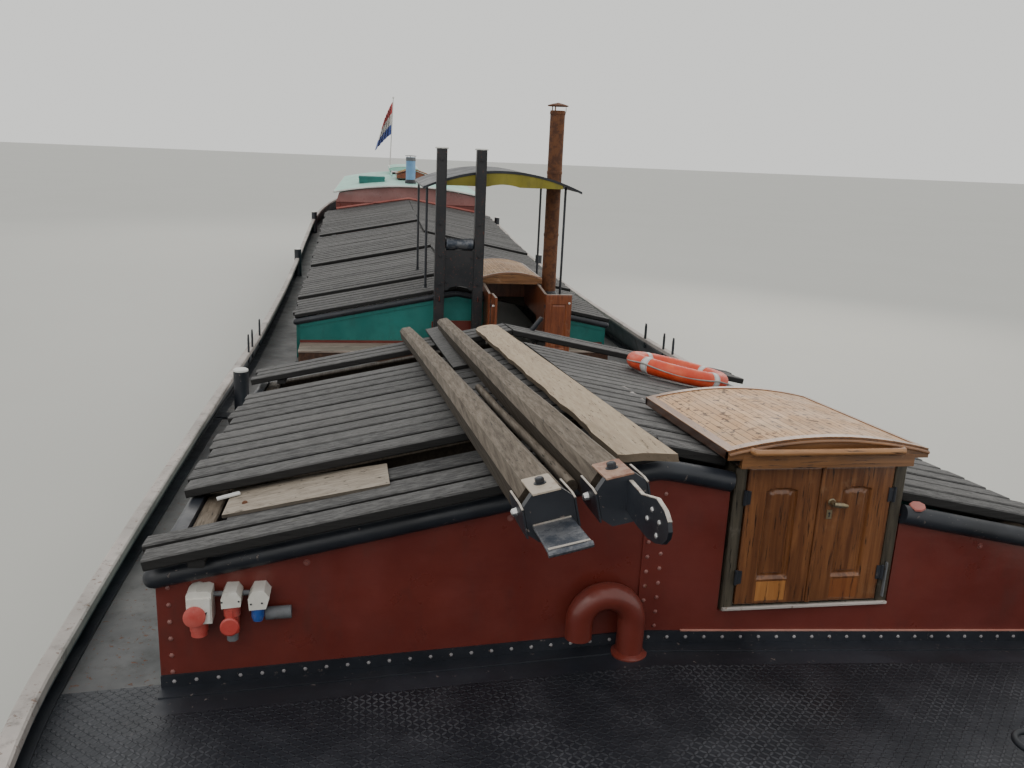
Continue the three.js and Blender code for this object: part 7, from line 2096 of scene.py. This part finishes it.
# Ensign
def ensign():
    """Rows of s from the staff outward and t down it: z falls by 0.5 s^1.2, y adds folds of
    0.05 sin(2 pi (5 s + 0.3 t s)) that start at the staff and grow over its first sixth."""
    rows, cols = 30, 101
    long, tall = 1.3, 0.94
    t, s = np.meshgrid(np.linspace(0, 1, rows), np.linspace(0, 1, cols), indexing="ij")
    z0 = 5.5 - tall * t
    foot = foredeck_z(-0.33, 14.6) + 0.03
    up = (z0 - foot) / (5.62 - foot)
    x = -0.346 + 0.14 * up - (0.24 + 0.24 * t) * s
    y = (14.592 + 0.19 * up) * (1 - s) ** 2 + 14.62 * (1 - (1 - s) ** 2)
    y += 0.05 * np.minimum(1, 6 * s) * np.sin(2 * math.pi * (5 * s + 0.3 * t * s))
    z = z0 - 0.5 * s ** 1.2 + 0.012 * s * np.sin(2 * math.pi * (5 * s + 0.25))
    points = xyz(x, y, z)
    grid = np.arange(rows * cols).reshape(rows, cols)
    quads = np.stack([grid[:-1, :-1], grid[1:, :-1], grid[1:, 1:], grid[:-1, 1:]], 2).reshape(-1, 4)
    mesh = bpy.data.meshes.new("flag_cloth")
    mesh.from_pydata(points.reshape(-1, 3).tolist(), [], quads.tolist())
    mesh.polygons.foreach_set("use_smooth", np.ones(len(mesh.polygons), bool))
    for finish in (CLOTH_RED, CLOTH_WHITE, CLOTH_BLUE):
        mesh.materials.append(finish)
    band = (t[:-1, :-1] * 3).astype(np.int32)
    mesh.polygons.foreach_set("material_index", band.reshape(-1))
    mesh.update()
    flag = bpy.data.objects.new("flag_cloth", mesh)
    bpy.context.scene.collection.objects.link(flag)
    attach(flag, "hull")
    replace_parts(flag, "ensign")


cabin_walls()
cabin_roof()
skylight()
hood("cabin_hood_shell", "cabin_hood", -0.395, 0.395, 3.672, 0.05, 0.07, 0.022, 11.7, CABIN_END + 0.07,
     -0.06, 0.071, 0.03, (MINT, MINT, WHITE, MINT))
cabin_door()
stove_chimney()
roof_locker()
wheel_stand()
spoked_wheel()
rudder_blade()
propeller()
windlass()
anchor()
ensign()


def dress(finish, *names):
    """One finish on carried-over nodes."""
    for name in names:
        NODES[name].data.materials.clear()
        NODES[name].data.materials.append(finish)


dress(HULL_BLACK, "stern", "bottom")
dress(WHITE, "ensign_staff")
dress(STEEL, "engine")


# Camera at the photograph's viewing place
CAMERA_AT = (-1.189, -13.54, 4.462)
CAMERA_YAW = 0.174
CAMERA_DIP = 0.2613
CAMERA_ROLL = 0.045
CAMERA_LENS = 31.61


def photo_camera():
    """Looks aft and down from the foredeck: forward, right and up vectors from yaw, dip and roll."""
    level = Vector((math.sin(CAMERA_YAW), math.cos(CAMERA_YAW), 0))
    right = Vector((math.cos(CAMERA_YAW), -math.sin(CAMERA_YAW), 0))
    up = Vector(UP)
    forward = level * math.cos(CAMERA_DIP) - up * math.sin(CAMERA_DIP)
    above = level * math.sin(CAMERA_DIP) + up * math.cos(CAMERA_DIP)
    rolled = right * math.cos(CAMERA_ROLL) + above * math.sin(CAMERA_ROLL)
    tall = above * math.cos(CAMERA_ROLL) - right * math.sin(CAMERA_ROLL)
    data = bpy.data.cameras.new("photo camera")
    data.lens = CAMERA_LENS
    data.sensor_width = 36
    data.clip_start = 0.05
    data.clip_end = 400
    camera = bpy.data.objects.new("photo camera", data)
    turn = Matrix((rolled, tall, -forward)).transposed().to_4x4()
    camera.matrix_world = Matrix.Translation(CAMERA_AT) @ turn
    bpy.context.scene.collection.objects.link(camera)
    bpy.context.scene.camera = camera


def studio():
    """A pale floor at the waterline, a pale sky and soft lamps."""
    reach = 160
    floor = bpy.data.meshes.new("floor")
    floor.from_pydata([(-reach, -reach, WATERLINE), (reach, -reach, WATERLINE), (reach, reach, WATERLINE),
                       (-reach, reach, WATERLINE)], [], [(0, 1, 2, 3)])
    f = Finish("pale floor")
    floor.materials.append(f.made(f.blend(f.noise(0.3, 3, 0.5), (0.49, 0.49, 0.46), (0.53, 0.53, 0.5)),
                                  0.55))
    stage = bpy.data.objects.new("floor", floor)
    bpy.context.scene.collection.objects.link(stage)
    world = bpy.data.worlds.new("pale sky")
    world.use_nodes = True
    sky = world.node_tree.nodes["Background"]
    sky.inputs[0].default_value = (0.98, 0.98, 0.95, 1)
    sky.inputs[1].default_value = 1.0
    bpy.context.scene.world = world
    lamps = [
        ("lamp over the bow", (-5, -16, 11), (0, -8, 2.5), 9, 330, (1.0, 0.97, 0.93)),
        ("lamp ahead", (9, 6, 9), (0, -4, 2.5), 10, 480, (1.0, 0.93, 0.85)),
        ("lamp over the stern", (-7, 20, 12), (0, 11, 2.5), 10, 420, (1.0, 0.95, 0.9)),
    ]
    for name, at, to, size, power, color in lamps:
        data = bpy.data.lights.new(name, "AREA")
        data.size = size
        data.energy = power
        data.color = color
        lamp = bpy.data.objects.new(name, data)
        lamp.location = at
        lamp.rotation_euler = (Vector(to) - Vector(at)).to_track_quat("-Z", "Y").to_euler()
        bpy.context.scene.collection.objects.link(lamp)


photo_camera()
studio()
